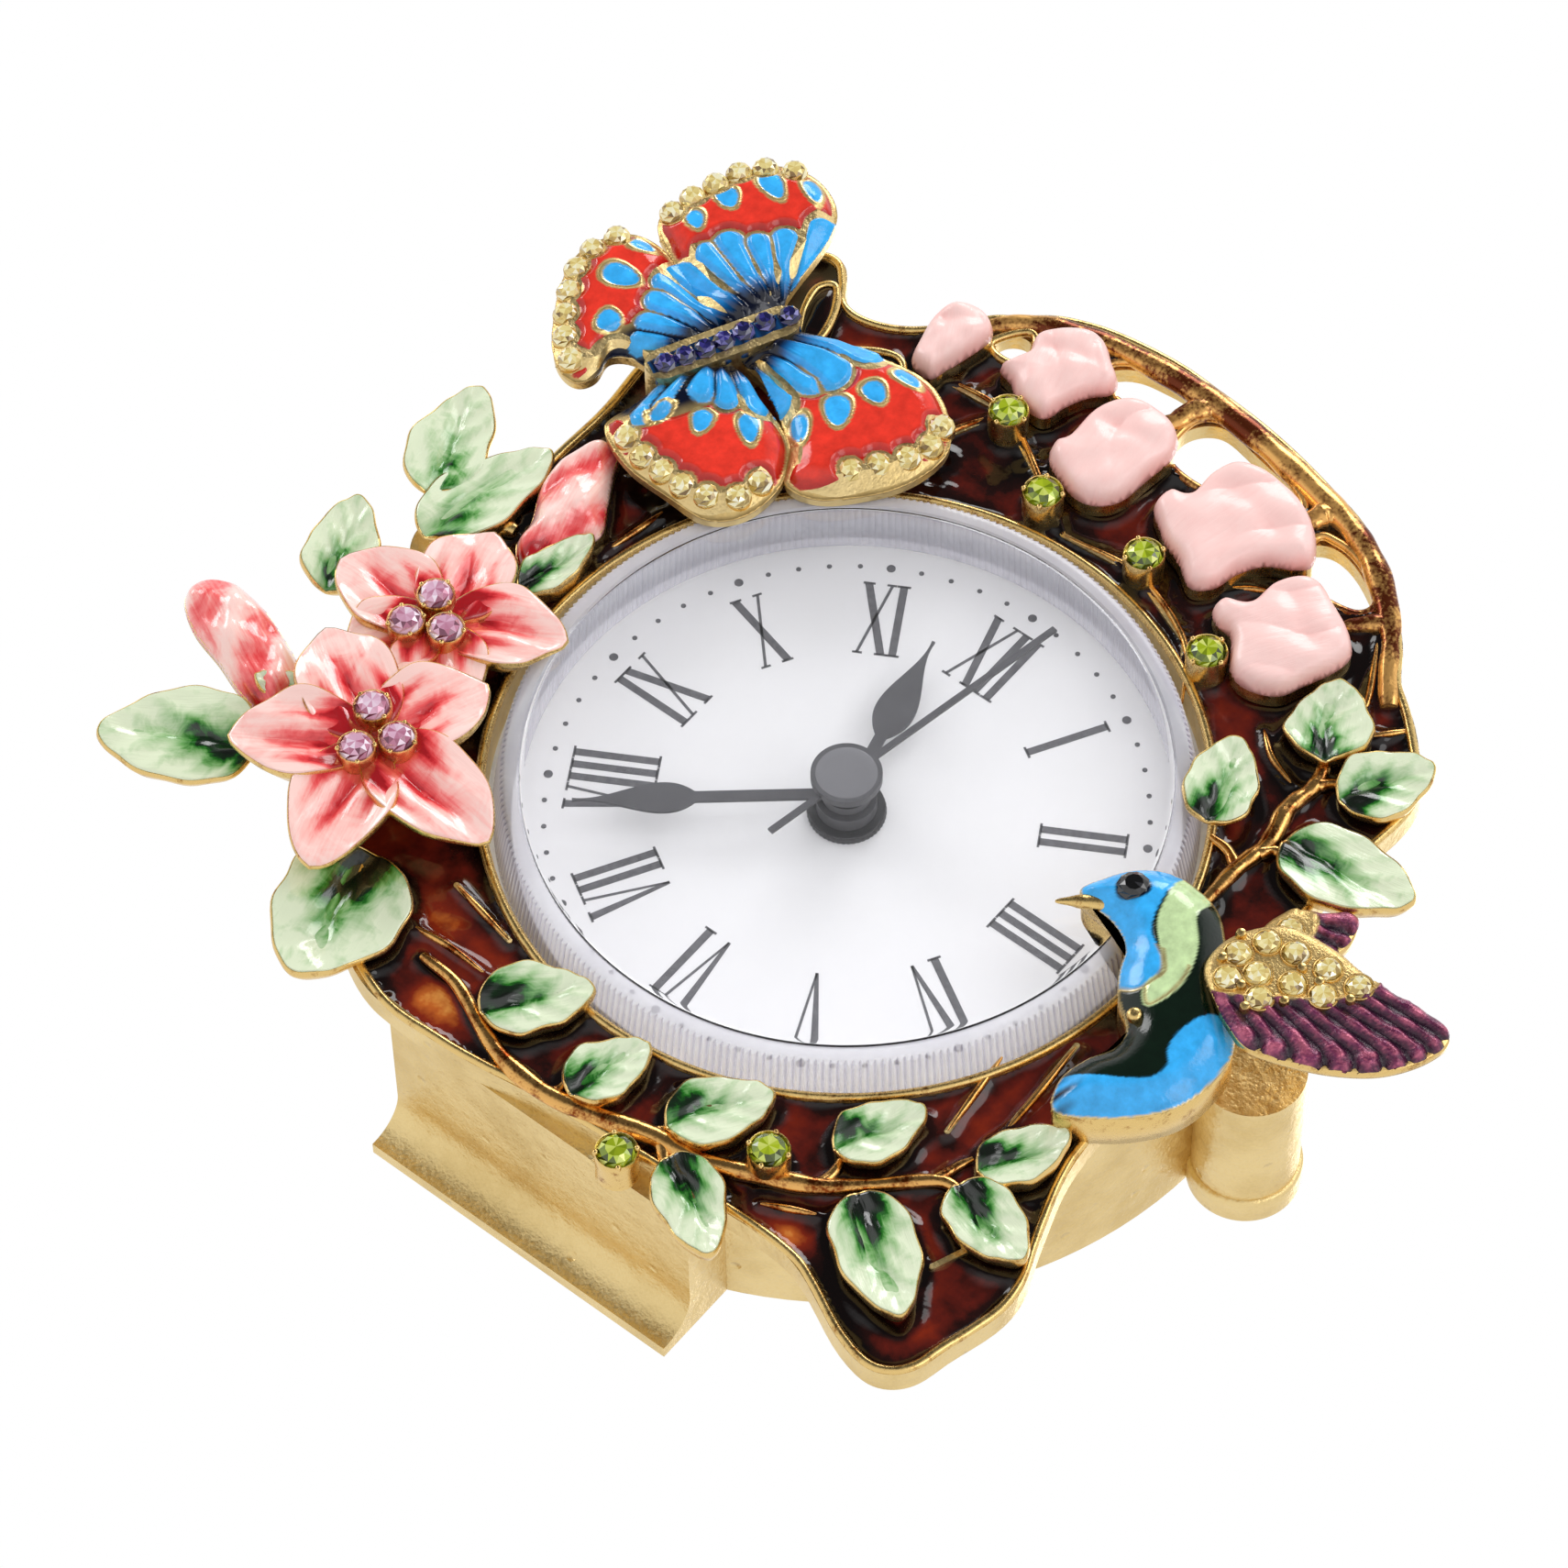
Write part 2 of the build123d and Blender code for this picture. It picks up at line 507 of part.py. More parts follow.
def leaf_points(leaf):
    """Eight points round a leaf: its two ends, and three on each side."""
    x, y, length, width, turn = leaf
    half, side = length * FRAME_SPAN / 2, width * FRAME_SPAN / 2
    right = [(half * along, -side * across) for along, across in leaf_edge_shares]
    left = [(half * along, side * across) for along, across in reversed(leaf_edge_shares)]
    place = Pos(x * FRAME_SPAN, y * FRAME_SPAN) * Rot(0, 0, turn)
    return [tuple((place * Pos(*point)).position)[:2] for point in [(-half, 0), *right, (half, 0), *left]]


def stone(radius, height, level, place):
    """A cut stone: an eight-sided girdle that narrows to a flat table."""
    girdle = lift(RegularPolygon(radius, STONE_SIDES), level)
    table = lift(RegularPolygon(radius * TABLE_SHARE, STONE_SIDES), level + height)
    return Pos(*place) * loft([girdle, table], ruled=True)


def lens_space():
    """The room that the lens takes in front of the frame."""
    return disc(LENS_RADIUS + LENS_CLEARANCE, FRAME_BACK, LENS_FRONT + LENS_CLEARANCE)


def group(shapes):
    solids = []
    for shape in shapes:
        solids.extend(shape.solids())
    return Compound(solids)


def windows(grow):
    whole = Sketch()
    for shares in window_shares:
        whole += outline_face(inset(spots(shares), -grow))
    return whole


def cell_face():
    """The part of the frame's face that the brown enamel covers."""
    face = outline_face(inset(spots(frame_shares), RIM_WALL))
    face -= Circle(BORE_RADIUS + RIM_WALL)
    face -= windows(RIM_WALL)
    return face


def ribs():
    floor = FRAME_FRONT - CELL_DEPTH
    return [strip(spots(shares), RIB_WALL, floor, FRAME_FRONT) for shares in rib_shares]


def front_frame():
    """The casting: outline, bore, pierced arch, raised rims and thin walls."""
    face = outline_face(spots(frame_shares)) - Circle(BORE_RADIUS) - windows(0)
    frame = slab(face, FRAME_BACK, FRAME_FRONT)
    recess = slab(cell_face(), FRAME_FRONT - CELL_DEPTH, FRAME_FRONT)
    for rib in ribs():
        recess -= rib
    frame -= recess
    for place in frame_screw_places():
        frame -= disc(FRAME_SCREW_RADIUS, FRAME_BACK, FRAME_BACK + FRAME_SCREW_LENGTH - HOUSING_FRONT, place)
    return frame


def frame_enamel():
    enamel = slab(cell_face(), FRAME_FRONT - CELL_DEPTH, FRAME_FRONT - ENAMEL_DROP)
    for rib in ribs():
        enamel -= rib
    return enamel


def branch(table):
    whole = Part()
    for shares in table:
        whole += strip(spots(shares), BRANCH_WIDTH, FRAME_FRONT, FRAME_FRONT + BRANCH_HEIGHT)
    return whole


def leaf_veins(leaf, top):
    """The sunken midrib of a leaf and two pairs of side veins."""
    x, y, length, width, turn = leaf
    half, side = length * FRAME_SPAN / 2, width * FRAME_SPAN / 2
    midrib = [(half * along, side * across) for along, across in midrib_shares]
    pairs = [[(half * along, side * across) for along, across in vein] for vein in side_vein_shares]
    veins = grooves([midrib], VEIN_WIDTH, top) + grooves(pairs, SIDE_VEIN_WIDTH, top)
    return Pos(*spot((x, y))) * Rot(0, 0, turn) * veins


def veined_leaf(leaf, height):
    top = FRAME_FRONT + height
    return pillow(leaf_points(leaf), FRAME_FRONT, top, CROWN) - leaf_veins(leaf, top)


def leaves(table, height):
    return [veined_leaf(leaf, height) for leaf in table]


def vine_leaves():
    cutter = branch(vine_branch_shares) + lens_space() + group(green_cups()) + bird_body()
    return group([leaf - cutter for leaf in leaves(vine_leaf_shares, LEAF_HEIGHT)])


@cache
def right_leaves():
    cutter = branch(right_branch_shares) + lens_space()
    low = [leaf - cutter for leaf in leaves(right_leaf_shares, LEAF_HEIGHT)]
    high = [leaf - cutter for leaf in leaves([inner_leaf_shares], HIGH_LEAF_HEIGHT)]
    return group(low + high)


@cache
def left_leaves():
    """The leaves beside the flowers, joined to the frame by short stems under the petals."""
    whole = Part()
    for leaf in leaves(left_leaf_shares, LEAF_HEIGHT):
        whole += leaf
    for shares in left_stem_shares:
        whole += strip(spots(shares), STEM_WIDTH, FRAME_FRONT, FRAME_FRONT + BRANCH_HEIGHT)
    return whole - lens_space() - flower_posts()


def bell_folds(fold, top):
    """Two channels side by side that run from the foot of a bell towards its mouth."""
    x, y, length, step, turn = [share * FRAME_SPAN for share in fold[:4]] + [fold[4]]
    lines = [[(-length / 2, side * step / 2), (length / 2, side * step / 2)] for side in (-1, 1)]
    return Pos(x, y) * Rot(0, 0, turn) * grooves(lines, FOLD_WIDTH, top)


def bellflower(shares, fold):
    top = FRAME_FRONT + BELL_HEIGHT
    bell = pillow(spots(shares), FRAME_FRONT, top, CROWN)
    return bell - group(green_cups()) - bell_folds(fold, top)


def petal(length, turn, level):
    edge = [(along * length * FRAME_SPAN, across * PETAL_WIDTH) for along, across in petal_edge_shares]
    tip = [(length * FRAME_SPAN, 0)]
    other = [(x, -y) for x, y in reversed(edge)]
    whole = pillow(edge + tip + other, level, level + PETAL_HEIGHT, PETAL_CROWN)
    rib = [(share * length * FRAME_SPAN, 0) for share in petal_rib_shares]
    return Rot(0, 0, turn) * (whole - grooves([rib], VEIN_WIDTH, level + PETAL_HEIGHT))


def flower_post(share, level):
    return disc(FLOWER_POST_RADIUS, FRAME_FRONT, level + PETAL_HEIGHT, spot(share))


@cache
def flower_posts():
    upper = flower_post(upper_flower_share, UPPER_FLOWER_LEVEL)
    return upper + flower_post(lower_flower_share, LOWER_FLOWER_LEVEL)


def flower(share, petals, level):
    """Five petals round a post that stands on the frame."""
    whole = flower_post(share, level)
    for length, turn in petals:
        whole += Pos(*spot(share)) * petal(length, turn, level)
    return whole


def flower_lower():
    return flower(lower_flower_share, lower_petal_shares, LOWER_FLOWER_LEVEL) - lens_space()


def flower_upper():
    """The upper flower gives way where the post of the lower one passes."""
    upper = flower(upper_flower_share, upper_petal_shares, UPPER_FLOWER_LEVEL) - lens_space()
    return upper - flower_post(lower_flower_share, LOWER_FLOWER_LEVEL)


def flower_cup_level(level):
    return level + PETAL_HEIGHT


def pink_places():
    upper = [(spot(share), flower_cup_level(UPPER_FLOWER_LEVEL)) for share in upper_stone_shares]
    lower = [(spot(share), flower_cup_level(LOWER_FLOWER_LEVEL)) for share in lower_stone_shares]
    return upper + lower


def pink_crystals():
    return group([
        stone(LARGE_STONE_RADIUS, STONE_HEIGHT, level + FLOWER_CUP_HEIGHT - CUP_LIP, place)
        for place, level in pink_places()
    ])


def cup(place, level, height):
    """A gold cup whose lip holds the lower part of a stone."""
    body = Pos(*place) * slab(RegularPolygon(CUP_RADIUS, CUP_SIDES), level, level + height)
    return body - disc(LARGE_STONE_RADIUS, level + height - CUP_LIP, level + height, place)


def green_cups():
    return [cup(spot(share), FRAME_FRONT, CUP_HEIGHT) for share in green_stone_shares]


def crystal_cups():
    """All the cups; where one stands on the branch it is notched to fit over it."""
    whole = Part()
    for place, level in pink_places():
        whole += cup(place, level, FLOWER_CUP_HEIGHT)
    green = [one - branch(vine_branch_shares) for one in green_cups()]
    return group(green + [whole])


def green_crystals():
    level = FRAME_FRONT + CUP_HEIGHT - CUP_LIP
    places = spots(green_stone_shares)
    return group([stone(LARGE_STONE_RADIUS, STONE_HEIGHT, level, place) for place in places])


def bud_left():
    body = pillow(spots(bud_left_shares), FRAME_FRONT, FRAME_FRONT + BUD_HEIGHT, BUD_CROWN)
    body -= grooves([spots(bud_left_fold_shares)], FOLD_WIDTH, FRAME_FRONT + BUD_HEIGHT)
    stem = strip(spots(bud_left_stem_shares), STEM_WIDTH, FRAME_FRONT, FRAME_FRONT + BRANCH_HEIGHT)
    return body + stem - flower_posts() - left_leaves()


def bud_top():
    body = pillow(spots(bud_top_shares), FRAME_FRONT, FRAME_FRONT + BUD_HEIGHT, BUD_CROWN)
    body -= grooves([spots(bud_top_fold_shares)], FOLD_WIDTH, FRAME_FRONT + BUD_HEIGHT)
    sepal = pillow(leaf_points(sepal_shares), FRAME_FRONT, FRAME_FRONT + BUD_HEIGHT, BUD_CROWN)
    return body + sepal - left_leaves() - lens_space()


def wing_top():
    return WING_LEVEL + WING_HEIGHT


def wing_plate(shares):
    """A wing: an upright edge, then the sloping border that carries the stones."""
    points = spots(shares)
    sections = [
        lift(outline_face(points), WING_LEVEL),
        lift(outline_face(points), WING_LEVEL + WING_EDGE),
        lift(outline_face(draw_in(points, WING_BEVEL)), wing_top()),
    ]
    return loft(sections, ruled=True)


def wing_stones():
    level = WING_LEVEL + WING_EDGE
    return [stone(SMALL_STONE_RADIUS, EDGE_STONE_HEIGHT, level, spot(share)) for share in wing_stone_shares]


def insect_stones():
    level = wing_top() + WING_ENAMEL_HEIGHT
    return [stone(BODY_STONE_RADIUS, SMALL_STONE_HEIGHT, level, spot(share)) for share in insect_stone_shares]


def insect_body(low):
    body = slab(SlotOverall(INSECT_LENGTH, INSECT_WIDTH), low, wing_top() + WING_ENAMEL_HEIGHT)
    return Pos(*spot(insect_share)) * Rot(0, 0, INSECT_TURN) * body


def butterfly():
    """One casting: four wings on a body that stands on the frame."""
    whole = insect_body(FRAME_FRONT)
    for shares in wing_shares:
        whole += wing_plate(shares)
    return whole - group(wing_stones())


def butterfly_enamel():
    """The red and blue panels on the four wings, with lines between the two."""
    panels, stones = [], group(wing_stones())
    for shares, lines in zip(wing_shares, wing_line_shares):
        points = spots(shares)
        low, high = wing_top(), wing_top() + WING_ENAMEL_HEIGHT
        base = lift(outline_face(draw_in(points, WING_BEVEL)), low)
        top = lift(outline_face(draw_in(points, WING_BEVEL + WING_ENAMEL_HEIGHT)), high)
        panel = loft([base, top], ruled=True)
        panel -= grooves([spots(line) for line in lines], SIDE_VEIN_WIDTH, high)
        panels.append(panel - insect_body(low) - stones)
    return group(panels)


def bird_top():
    return FRAME_FRONT + BIRD_HEIGHT


def bird_eye():
    return stone(EYE_RADIUS, SMALL_STONE_HEIGHT, bird_top() - SMALL_STONE_HEIGHT / 2, spot(eye_share))


@cache
def bird_body():
    """The bird without its wings; its head hangs over the lens."""
    whole = pillow(spots(bird_shares), FRAME_FRONT, bird_top(), BIRD_CROWN, inset)
    beak_low = LENS_FRONT + LENS_CLEARANCE
    whole += slab(Polygon(*spots(beak_shares), align=None), beak_low, beak_low + BEAK_HEIGHT)
    return whole - lens_space() - bird_eye() - branch(right_branch_shares)


def bird_stones():
    level = bird_top() + BIRD_WING_HEIGHT - SMALL_STONE_HEIGHT / 2
    return [stone(SMALL_STONE_RADIUS, SMALL_STONE_HEIGHT, level, spot(share)) for share in bird_stone_shares]


def bird_wing():
    top = bird_top() + BIRD_WING_HEIGHT
    wing = pillow(spots(bird_wing_shares), bird_top(), top, BIRD_WING_CROWN)
    wing -= grooves([spots(line) for line in feather_gap_shares], FEATHER_GAP, top)
    return wing - group(bird_stones())


def bird_far_wing():
    top = FRAME_FRONT + FAR_WING_HEIGHT
    wing = pillow(spots(far_wing_shares), FRAME_FRONT, top, BIRD_WING_CROWN)
    wing -= grooves([spots(line) for line in far_feather_gap_shares], FEATHER_GAP, top)
    return wing - right_leaves() - bird_body()


def side_bosses(radius, low, high):
    left = disc(radius, low, high, (-BOSS_OFFSET, 0))
    return left + disc(radius, low, high, (BOSS_OFFSET, 0))


def frame_screw_places():
    return [polar(FRAME_SCREW_CIRCLE, turn) for turn in (45, 135, 225, 315)]


def housing_back():
    return FRAME_BACK - HOUSING_DEPTH


def cover_front():
    return housing_back() + COVER_THICKNESS


def rear_housing():
    """The drum: a front ring with the bore, a round wall and a screw boss at each side."""
    drum = disc(HOUSING_RADIUS, cover_front(), FRAME_BACK)
    drum += side_bosses(BOSS_RADIUS, cover_front(), FRAME_BACK)
    drum -= disc(HOUSING_RADIUS - HOUSING_WALL, cover_front(), FRAME_BACK - HOUSING_FRONT)
    drum -= disc(BORE_RADIUS, cover_front(), FRAME_BACK)
    drum -= side_bosses(SCREW_RADIUS, cover_front(), housing_back() + SCREW_LENGTH + COVER_PLATE)
    for place in frame_screw_places():
        drum -= disc(FRAME_SCREW_RADIUS, FRAME_BACK - HOUSING_FRONT, FRAME_BACK, place)
    return drum


def rear_cover():
    """The thick rim at the back, with a wide opening and a screw boss at each side."""
    back = housing_back()
    cover = disc(HOUSING_RADIUS, back, cover_front())
    cover += side_bosses(BOSS_RADIUS, back, cover_front())
    cover -= disc(HOUSING_RADIUS - COVER_RIM, back + COVER_PLATE, cover_front())
    cover -= disc(COVER_OPENING_RADIUS, back, cover_front())
    cover -= side_bosses(SCREW_RADIUS, back, cover_front())
    return cover - side_bosses(SCREW_HEAD_RADIUS, back, back + SCREW_HEAD_HEIGHT)


def cover_screws():
    back = housing_back()
    shafts = side_bosses(SCREW_RADIUS, back, back + SCREW_LENGTH + COVER_PLATE)
    return shafts + side_bosses(SCREW_HEAD_RADIUS, back, back + SCREW_HEAD_HEIGHT)


def frame_screws():
    """Four small screws that hold the frame on the front ring of the drum."""
    inner = FRAME_BACK - HOUSING_FRONT
    screws = []
    for place in frame_screw_places():
        shaft = disc(FRAME_SCREW_RADIUS, inner, inner + FRAME_SCREW_LENGTH, place)
        screws.append(shaft + disc(FRAME_SCREW_RADIUS * 2, inner - FRAME_SCREW_RADIUS, inner, place))
    return group(screws)


def foot_land_middle():
    """Level of the middle of the foot's land, which is the clock's origin."""
    return housing_back() + FOOT_THICKNESS / 2


def foot_plate():
    """A saddle under the drum: its sole runs level and turns down to a land at the back."""
    back, sole = housing_back(), -HOUSING_RADIUS - FOOT_THICKNESS
    land = -DIAL_HEIGHT
    top = -HOUSING_RADIUS + FOOT_HALF_WIDTH / 2
    side = make_face([
        Line((FRAME_BACK, top), (FRAME_BACK, sole)),
        Line((FRAME_BACK, sole), (back + FOOT_FLARE, sole)),
        TangentArc((back + FOOT_FLARE, sole), (back + FOOT_THICKNESS, land), tangent=(-1, 0)),
        Line((back + FOOT_THICKNESS, land), (back, land)),
        Line((back, land), (back, top)),
        Line((back, top), (FRAME_BACK, top)),
    ])
    side_plane = Plane(origin=(0, 0, 0), x_dir=(0, 0, 1), z_dir=(-1, 0, 0))
    block = side_plane.location * extrude(side, amount=FOOT_HALF_WIDTH, both=True)
    return block - disc(HOUSING_RADIUS, back, FRAME_BACK)


def lens():
    """The clear front: a flat pane and a side wall that widens towards the frame."""
    pane_low = LENS_FRONT - LENS_PANE
    foot, front = lift(Circle(LENS_RADIUS), FRAME_BACK), lift(Circle(LENS_FRONT_RADIUS), LENS_FRONT)
    body = loft([foot, front], ruled=True)
    body += disc(LENS_RADIUS, LENS_BACK, FRAME_BACK)
    body -= disc(LENS_INNER_RADIUS, 0, pane_low)
    return body - disc(LENS_SEAT_RADIUS, LENS_BACK, 0)


def insert_gasket():
    """The rubber band between the insert and the bore of the drum."""
    band = disc(BORE_RADIUS, LENS_BACK, LENS_BACK + GASKET_HEIGHT)
    return band - disc(LENS_RADIUS, LENS_BACK, LENS_BACK + GASKET_HEIGHT)


def dial():
    face = disc(LENS_SEAT_RADIUS - SEAT_GAP, -DIAL_THICKNESS, 0)
    return face - disc(DIAL_BOSS_RADIUS + SEAT_GAP, -DIAL_THICKNESS, 0)


def hand_blade(length, width, bulge_share, level):
    """A stem that swells into a leaf and ends in a long point; it points to twelve."""
    bulge, half, end = length * bulge_share, width / 2, HAND_THICKNESS / 2
    taper, taper_share = (bulge + length) / 2, 0.45
    leaf = Spline((0, bulge - width), (half, bulge), (half * taper_share, taper), (end, length))
    point = Line((end, length), (-end, length))
    other = Spline((-end, length), (-half * taper_share, taper), (-half, bulge), (0, bulge - width))
    face = make_face([leaf, point, other])
    face += Pos(0, bulge / 2) * Rectangle(HAND_STEM_WIDTH, bulge)
    return slab(face, level, level + HAND_THICKNESS)


def hour_hand():
    bulge_share = 0.56
    blade = hand_blade(HOUR_HAND_LENGTH, HOUR_HAND_WIDTH, bulge_share, HOUR_HAND_LEVEL)
    blade += disc(HOUR_HUB_RADIUS, BOSS_NUT_HEIGHT + SEAT_GAP, HOUR_HAND_LEVEL + HAND_THICKNESS)
    return Rot(0, 0, HOUR_TURN) * (blade - disc(HOUR_PIPE_RADIUS, 0, HOUR_HAND_LEVEL + HAND_THICKNESS))


def cannon_top():
    return MINUTE_HAND_LEVEL + HUB_HEIGHT


def minute_hand():
    bulge_share = 0.66
    blade = hand_blade(MINUTE_HAND_LENGTH, MINUTE_HAND_WIDTH, bulge_share, MINUTE_HAND_LEVEL)
    blade += disc(MINUTE_HUB_RADIUS, MINUTE_HAND_LEVEL, cannon_top())
    bore = disc(CANNON_RADIUS, MINUTE_HAND_LEVEL, cannon_top())
    return Rot(0, 0, MINUTE_TURN) * (blade - bore)


def second_hand():
    """The thin hand with its tail, pressed under the round cap."""
    length = SECOND_HAND_LENGTH + SECOND_TAIL_LENGTH
    middle = (SECOND_HAND_LENGTH - SECOND_TAIL_LENGTH) / 2
    bar = Pos(0, middle) * Rectangle(SECOND_HAND_WIDTH, length)
    hand = slab(bar, SECOND_HAND_LEVEL, SECOND_HAND_LEVEL + HAND_THICKNESS)
    hand += disc(HUB_CAP_RADIUS, SECOND_HAND_LEVEL, SECOND_HAND_LEVEL + HUB_CAP_HEIGHT)
    pipe_low = cannon_top() + LENS_CLEARANCE
    hand += disc(CANNON_RADIUS, pipe_low, SECOND_HAND_LEVEL)
    return Rot(0, 0, SECOND_TURN) * (hand - disc(SECONDS_ARBOR_RADIUS, pipe_low, SECOND_HAND_LEVEL))


def gear(teeth, module, low, high, bore, turn):
    """A toothed wheel; one tooth points along its turn, in degrees."""
    radius, pitch = teeth * module / 2, 360 / teeth
    points = []
    for tooth in range(teeth):
        middle = turn + tooth * pitch
        points.append(polar(radius - ROOT_SHARE * module, middle - pitch / 2))
        points.append(polar(radius + TIP_SHARE * module, middle - TIP_HALF_SHARE * pitch))
        points.append(polar(radius + TIP_SHARE * module, middle + TIP_HALF_SHARE * pitch))
    wheel = slab(Polygon(*points, align=None), low, high)
    if bore:
        wheel -= disc(bore, low, high)
    return wheel


def meshed(teeth, turn, direction, other_teeth):
    """Turn of a gear whose gap takes the tooth of its neighbour in that direction."""
    return direction + 180 + (direction - turn) * teeth / other_teeth - 180 / other_teeth


def distance(teeth, other_teeth, module):
    return (teeth + other_teeth) * module / 2


def third_distance():
    return distance(TRAIN_PINION_TEETH, THIRD_TEETH, THIRD_MODULE)


def centre_module():
    """The third pinion and the centre wheel share the distance of the pair before them."""
    return 2 * third_distance() / (TRAIN_PINION_TEETH + CENTRE_TEETH)


def motion_distance():
    return distance(CANNON_TEETH, MOTION_TEETH, MOTION_MODULE)


def hour_module():
    return 2 * motion_distance() / (MOTION_PINION_TEETH + HOUR_TEETH)


def third_place():
    return polar(third_distance(), THIRD_DIRECTION)


def fifth_place():
    return polar(distance(TRAIN_PINION_TEETH, SECONDS_TEETH, FIFTH_MODULE), FIFTH_DIRECTION)


def rotor_place():
    step = polar(distance(TRAIN_PINION_TEETH, FIFTH_TEETH, ROTOR_MODULE), ROTOR_DIRECTION)
    return (fifth_place()[0] + step[0], fifth_place()[1] + step[1])


def motion_place():
    return polar(motion_distance(), MOTION_DIRECTION)


def battery_place():
    return polar(BATTERY_OFFSET, BATTERY_DIRECTION)


def plate_back():
    return -DIAL_THICKNESS - PLATE_THICKNESS


def case_floor():
    return plate_back() - CASE_DEPTH + CASE_WALL


def case_back():
    return plate_back() - CASE_DEPTH


def arbor_low():
    return case_floor() - PIVOT_DEPTH + FIT


def arbor_high():
    return plate_back() + PIVOT_DEPTH - FIT


def seconds_wheel():
    """Fourth wheel: turns once a minute and carries the second hand."""
    level = SECONDS_WHEEL_LEVEL
    wheel = gear(SECONDS_TEETH, FIFTH_MODULE, level, level + WHEEL_THICKNESS, 0, 0)
    pinion_low = level + WHEEL_THICKNESS
    wheel += gear(TRAIN_PINION_TEETH, THIRD_MODULE, pinion_low, THIRD_WHEEL_LEVEL + PINION_HEIGHT, 0, 0)
    return wheel + disc(SECONDS_ARBOR_RADIUS, arbor_low(), SECOND_HAND_LEVEL)


def third_wheel():
    level = THIRD_WHEEL_LEVEL
    turn = meshed(TRAIN_PINION_TEETH, 0, THIRD_DIRECTION, THIRD_TEETH)
    wheel = gear(THIRD_TEETH, THIRD_MODULE, level, level + WHEEL_THICKNESS, 0, turn)
    pinion_low = level + WHEEL_THICKNESS
    wheel += gear(TRAIN_PINION_TEETH, centre_module(), pinion_low, CENTRE_WHEEL_LEVEL + PINION_HEIGHT, 0, 0)
    return Pos(*third_place()) * (wheel + disc(TRAIN_ARBOR_RADIUS, arbor_low(), arbor_high()))


def centre_wheel():
    """Turns once an hour and grips the cannon pinion by friction."""
    level = CENTRE_WHEEL_LEVEL
    turn = meshed(TRAIN_PINION_TEETH, 0, THIRD_DIRECTION + 180, CENTRE_TEETH)
    return gear(CENTRE_TEETH, centre_module(), level, level + WHEEL_THICKNESS, CANNON_RADIUS + FIT, turn)


def cannon_pinion():
    """The pipe of the minute hand, with the pinion that drives the setting wheels."""
    top = cannon_top()
    pipe = disc(CANNON_RADIUS, CENTRE_WHEEL_LEVEL - FIT, top)
    pipe += gear(CANNON_TEETH, MOTION_MODULE, MOTION_WHEEL_LEVEL, MOTION_WHEEL_LEVEL + PINION_HEIGHT, 0, 0)
    return pipe - disc(SECONDS_ARBOR_RADIUS + FIT, CENTRE_WHEEL_LEVEL - FIT, top)


def motion_wheel():
    """Setting wheel: the cannon pinion turns it, and the knob at the back turns them both."""
    level = MOTION_WHEEL_LEVEL
    turn = meshed(CANNON_TEETH, 0, MOTION_DIRECTION, MOTION_TEETH)
    wheel = gear(MOTION_TEETH, MOTION_MODULE, level, level + WHEEL_THICKNESS, 0, turn)
    pinion_low = level + WHEEL_THICKNESS
    wheel += gear(MOTION_PINION_TEETH, hour_module(), pinion_low, HOUR_WHEEL_LEVEL + PINION_HEIGHT, 0, 0)
    wheel += disc(SETTING_ARBOR_RADIUS, case_back() - KNOB_HEIGHT / 2, arbor_high())
    return Pos(*motion_place()) * wheel


def set_knob():
    """The knurled knob that sets the hands."""
    low = case_back() - FIT - KNOB_HEIGHT
    notches, notch_share = 12, 0.09
    knob = Circle(KNOB_RADIUS)
    for notch in range(notches):
        knob -= Pos(*polar(KNOB_RADIUS, notch * 360 / notches)) * Circle(KNOB_RADIUS * notch_share)
    body = slab(knob, low, case_back() - FIT)
    body -= disc(SETTING_ARBOR_RADIUS, case_back() - KNOB_HEIGHT / 2, case_back())
    return Pos(*motion_place()) * body


def hour_wheel():
    level = HOUR_WHEEL_LEVEL
    turn = meshed(MOTION_PINION_TEETH, 0, MOTION_DIRECTION + 180, HOUR_TEETH)
    wheel = gear(HOUR_TEETH, hour_module(), level, level + WHEEL_THICKNESS, 0, turn)
    wheel += disc(HOUR_PIPE_RADIUS, level, HOUR_HAND_LEVEL + HAND_THICKNESS)
    return wheel - disc(CANNON_RADIUS + FIT, level, HOUR_HAND_LEVEL + HAND_THICKNESS)


def fifth_wheel():
    """Takes the steps of the rotor to the seconds wheel."""
    level = FIFTH_WHEEL_LEVEL
    wheel = gear(FIFTH_TEETH, ROTOR_MODULE, level, level + WHEEL_THICKNESS, 0, 0)
    turn = meshed(SECONDS_TEETH, 0, FIFTH_DIRECTION, TRAIN_PINION_TEETH)
    pinion_low = level + WHEEL_THICKNESS
    wheel += gear(TRAIN_PINION_TEETH, FIFTH_MODULE, pinion_low, SECONDS_WHEEL_LEVEL + PINION_HEIGHT, 0, turn)
    return Pos(*fifth_place()) * (wheel + disc(TRAIN_ARBOR_RADIUS, arbor_low(), arbor_high()))


def rotor_low():
    return FIFTH_WHEEL_LEVEL + PINION_HEIGHT


def rotor():
    """The round magnet that turns half a turn a second, with its pinion."""
    turn = meshed(FIFTH_TEETH, 0, ROTOR_DIRECTION, TRAIN_PINION_TEETH)
    body = gear(TRAIN_PINION_TEETH, ROTOR_MODULE, FIFTH_WHEEL_LEVEL, rotor_low(), 0, turn)
    body += disc(ROTOR_RADIUS, rotor_low(), rotor_low() + ROTOR_HEIGHT)
    return Pos(*rotor_place()) * (body + disc(TRAIN_ARBOR_RADIUS, arbor_low(), arbor_high()))


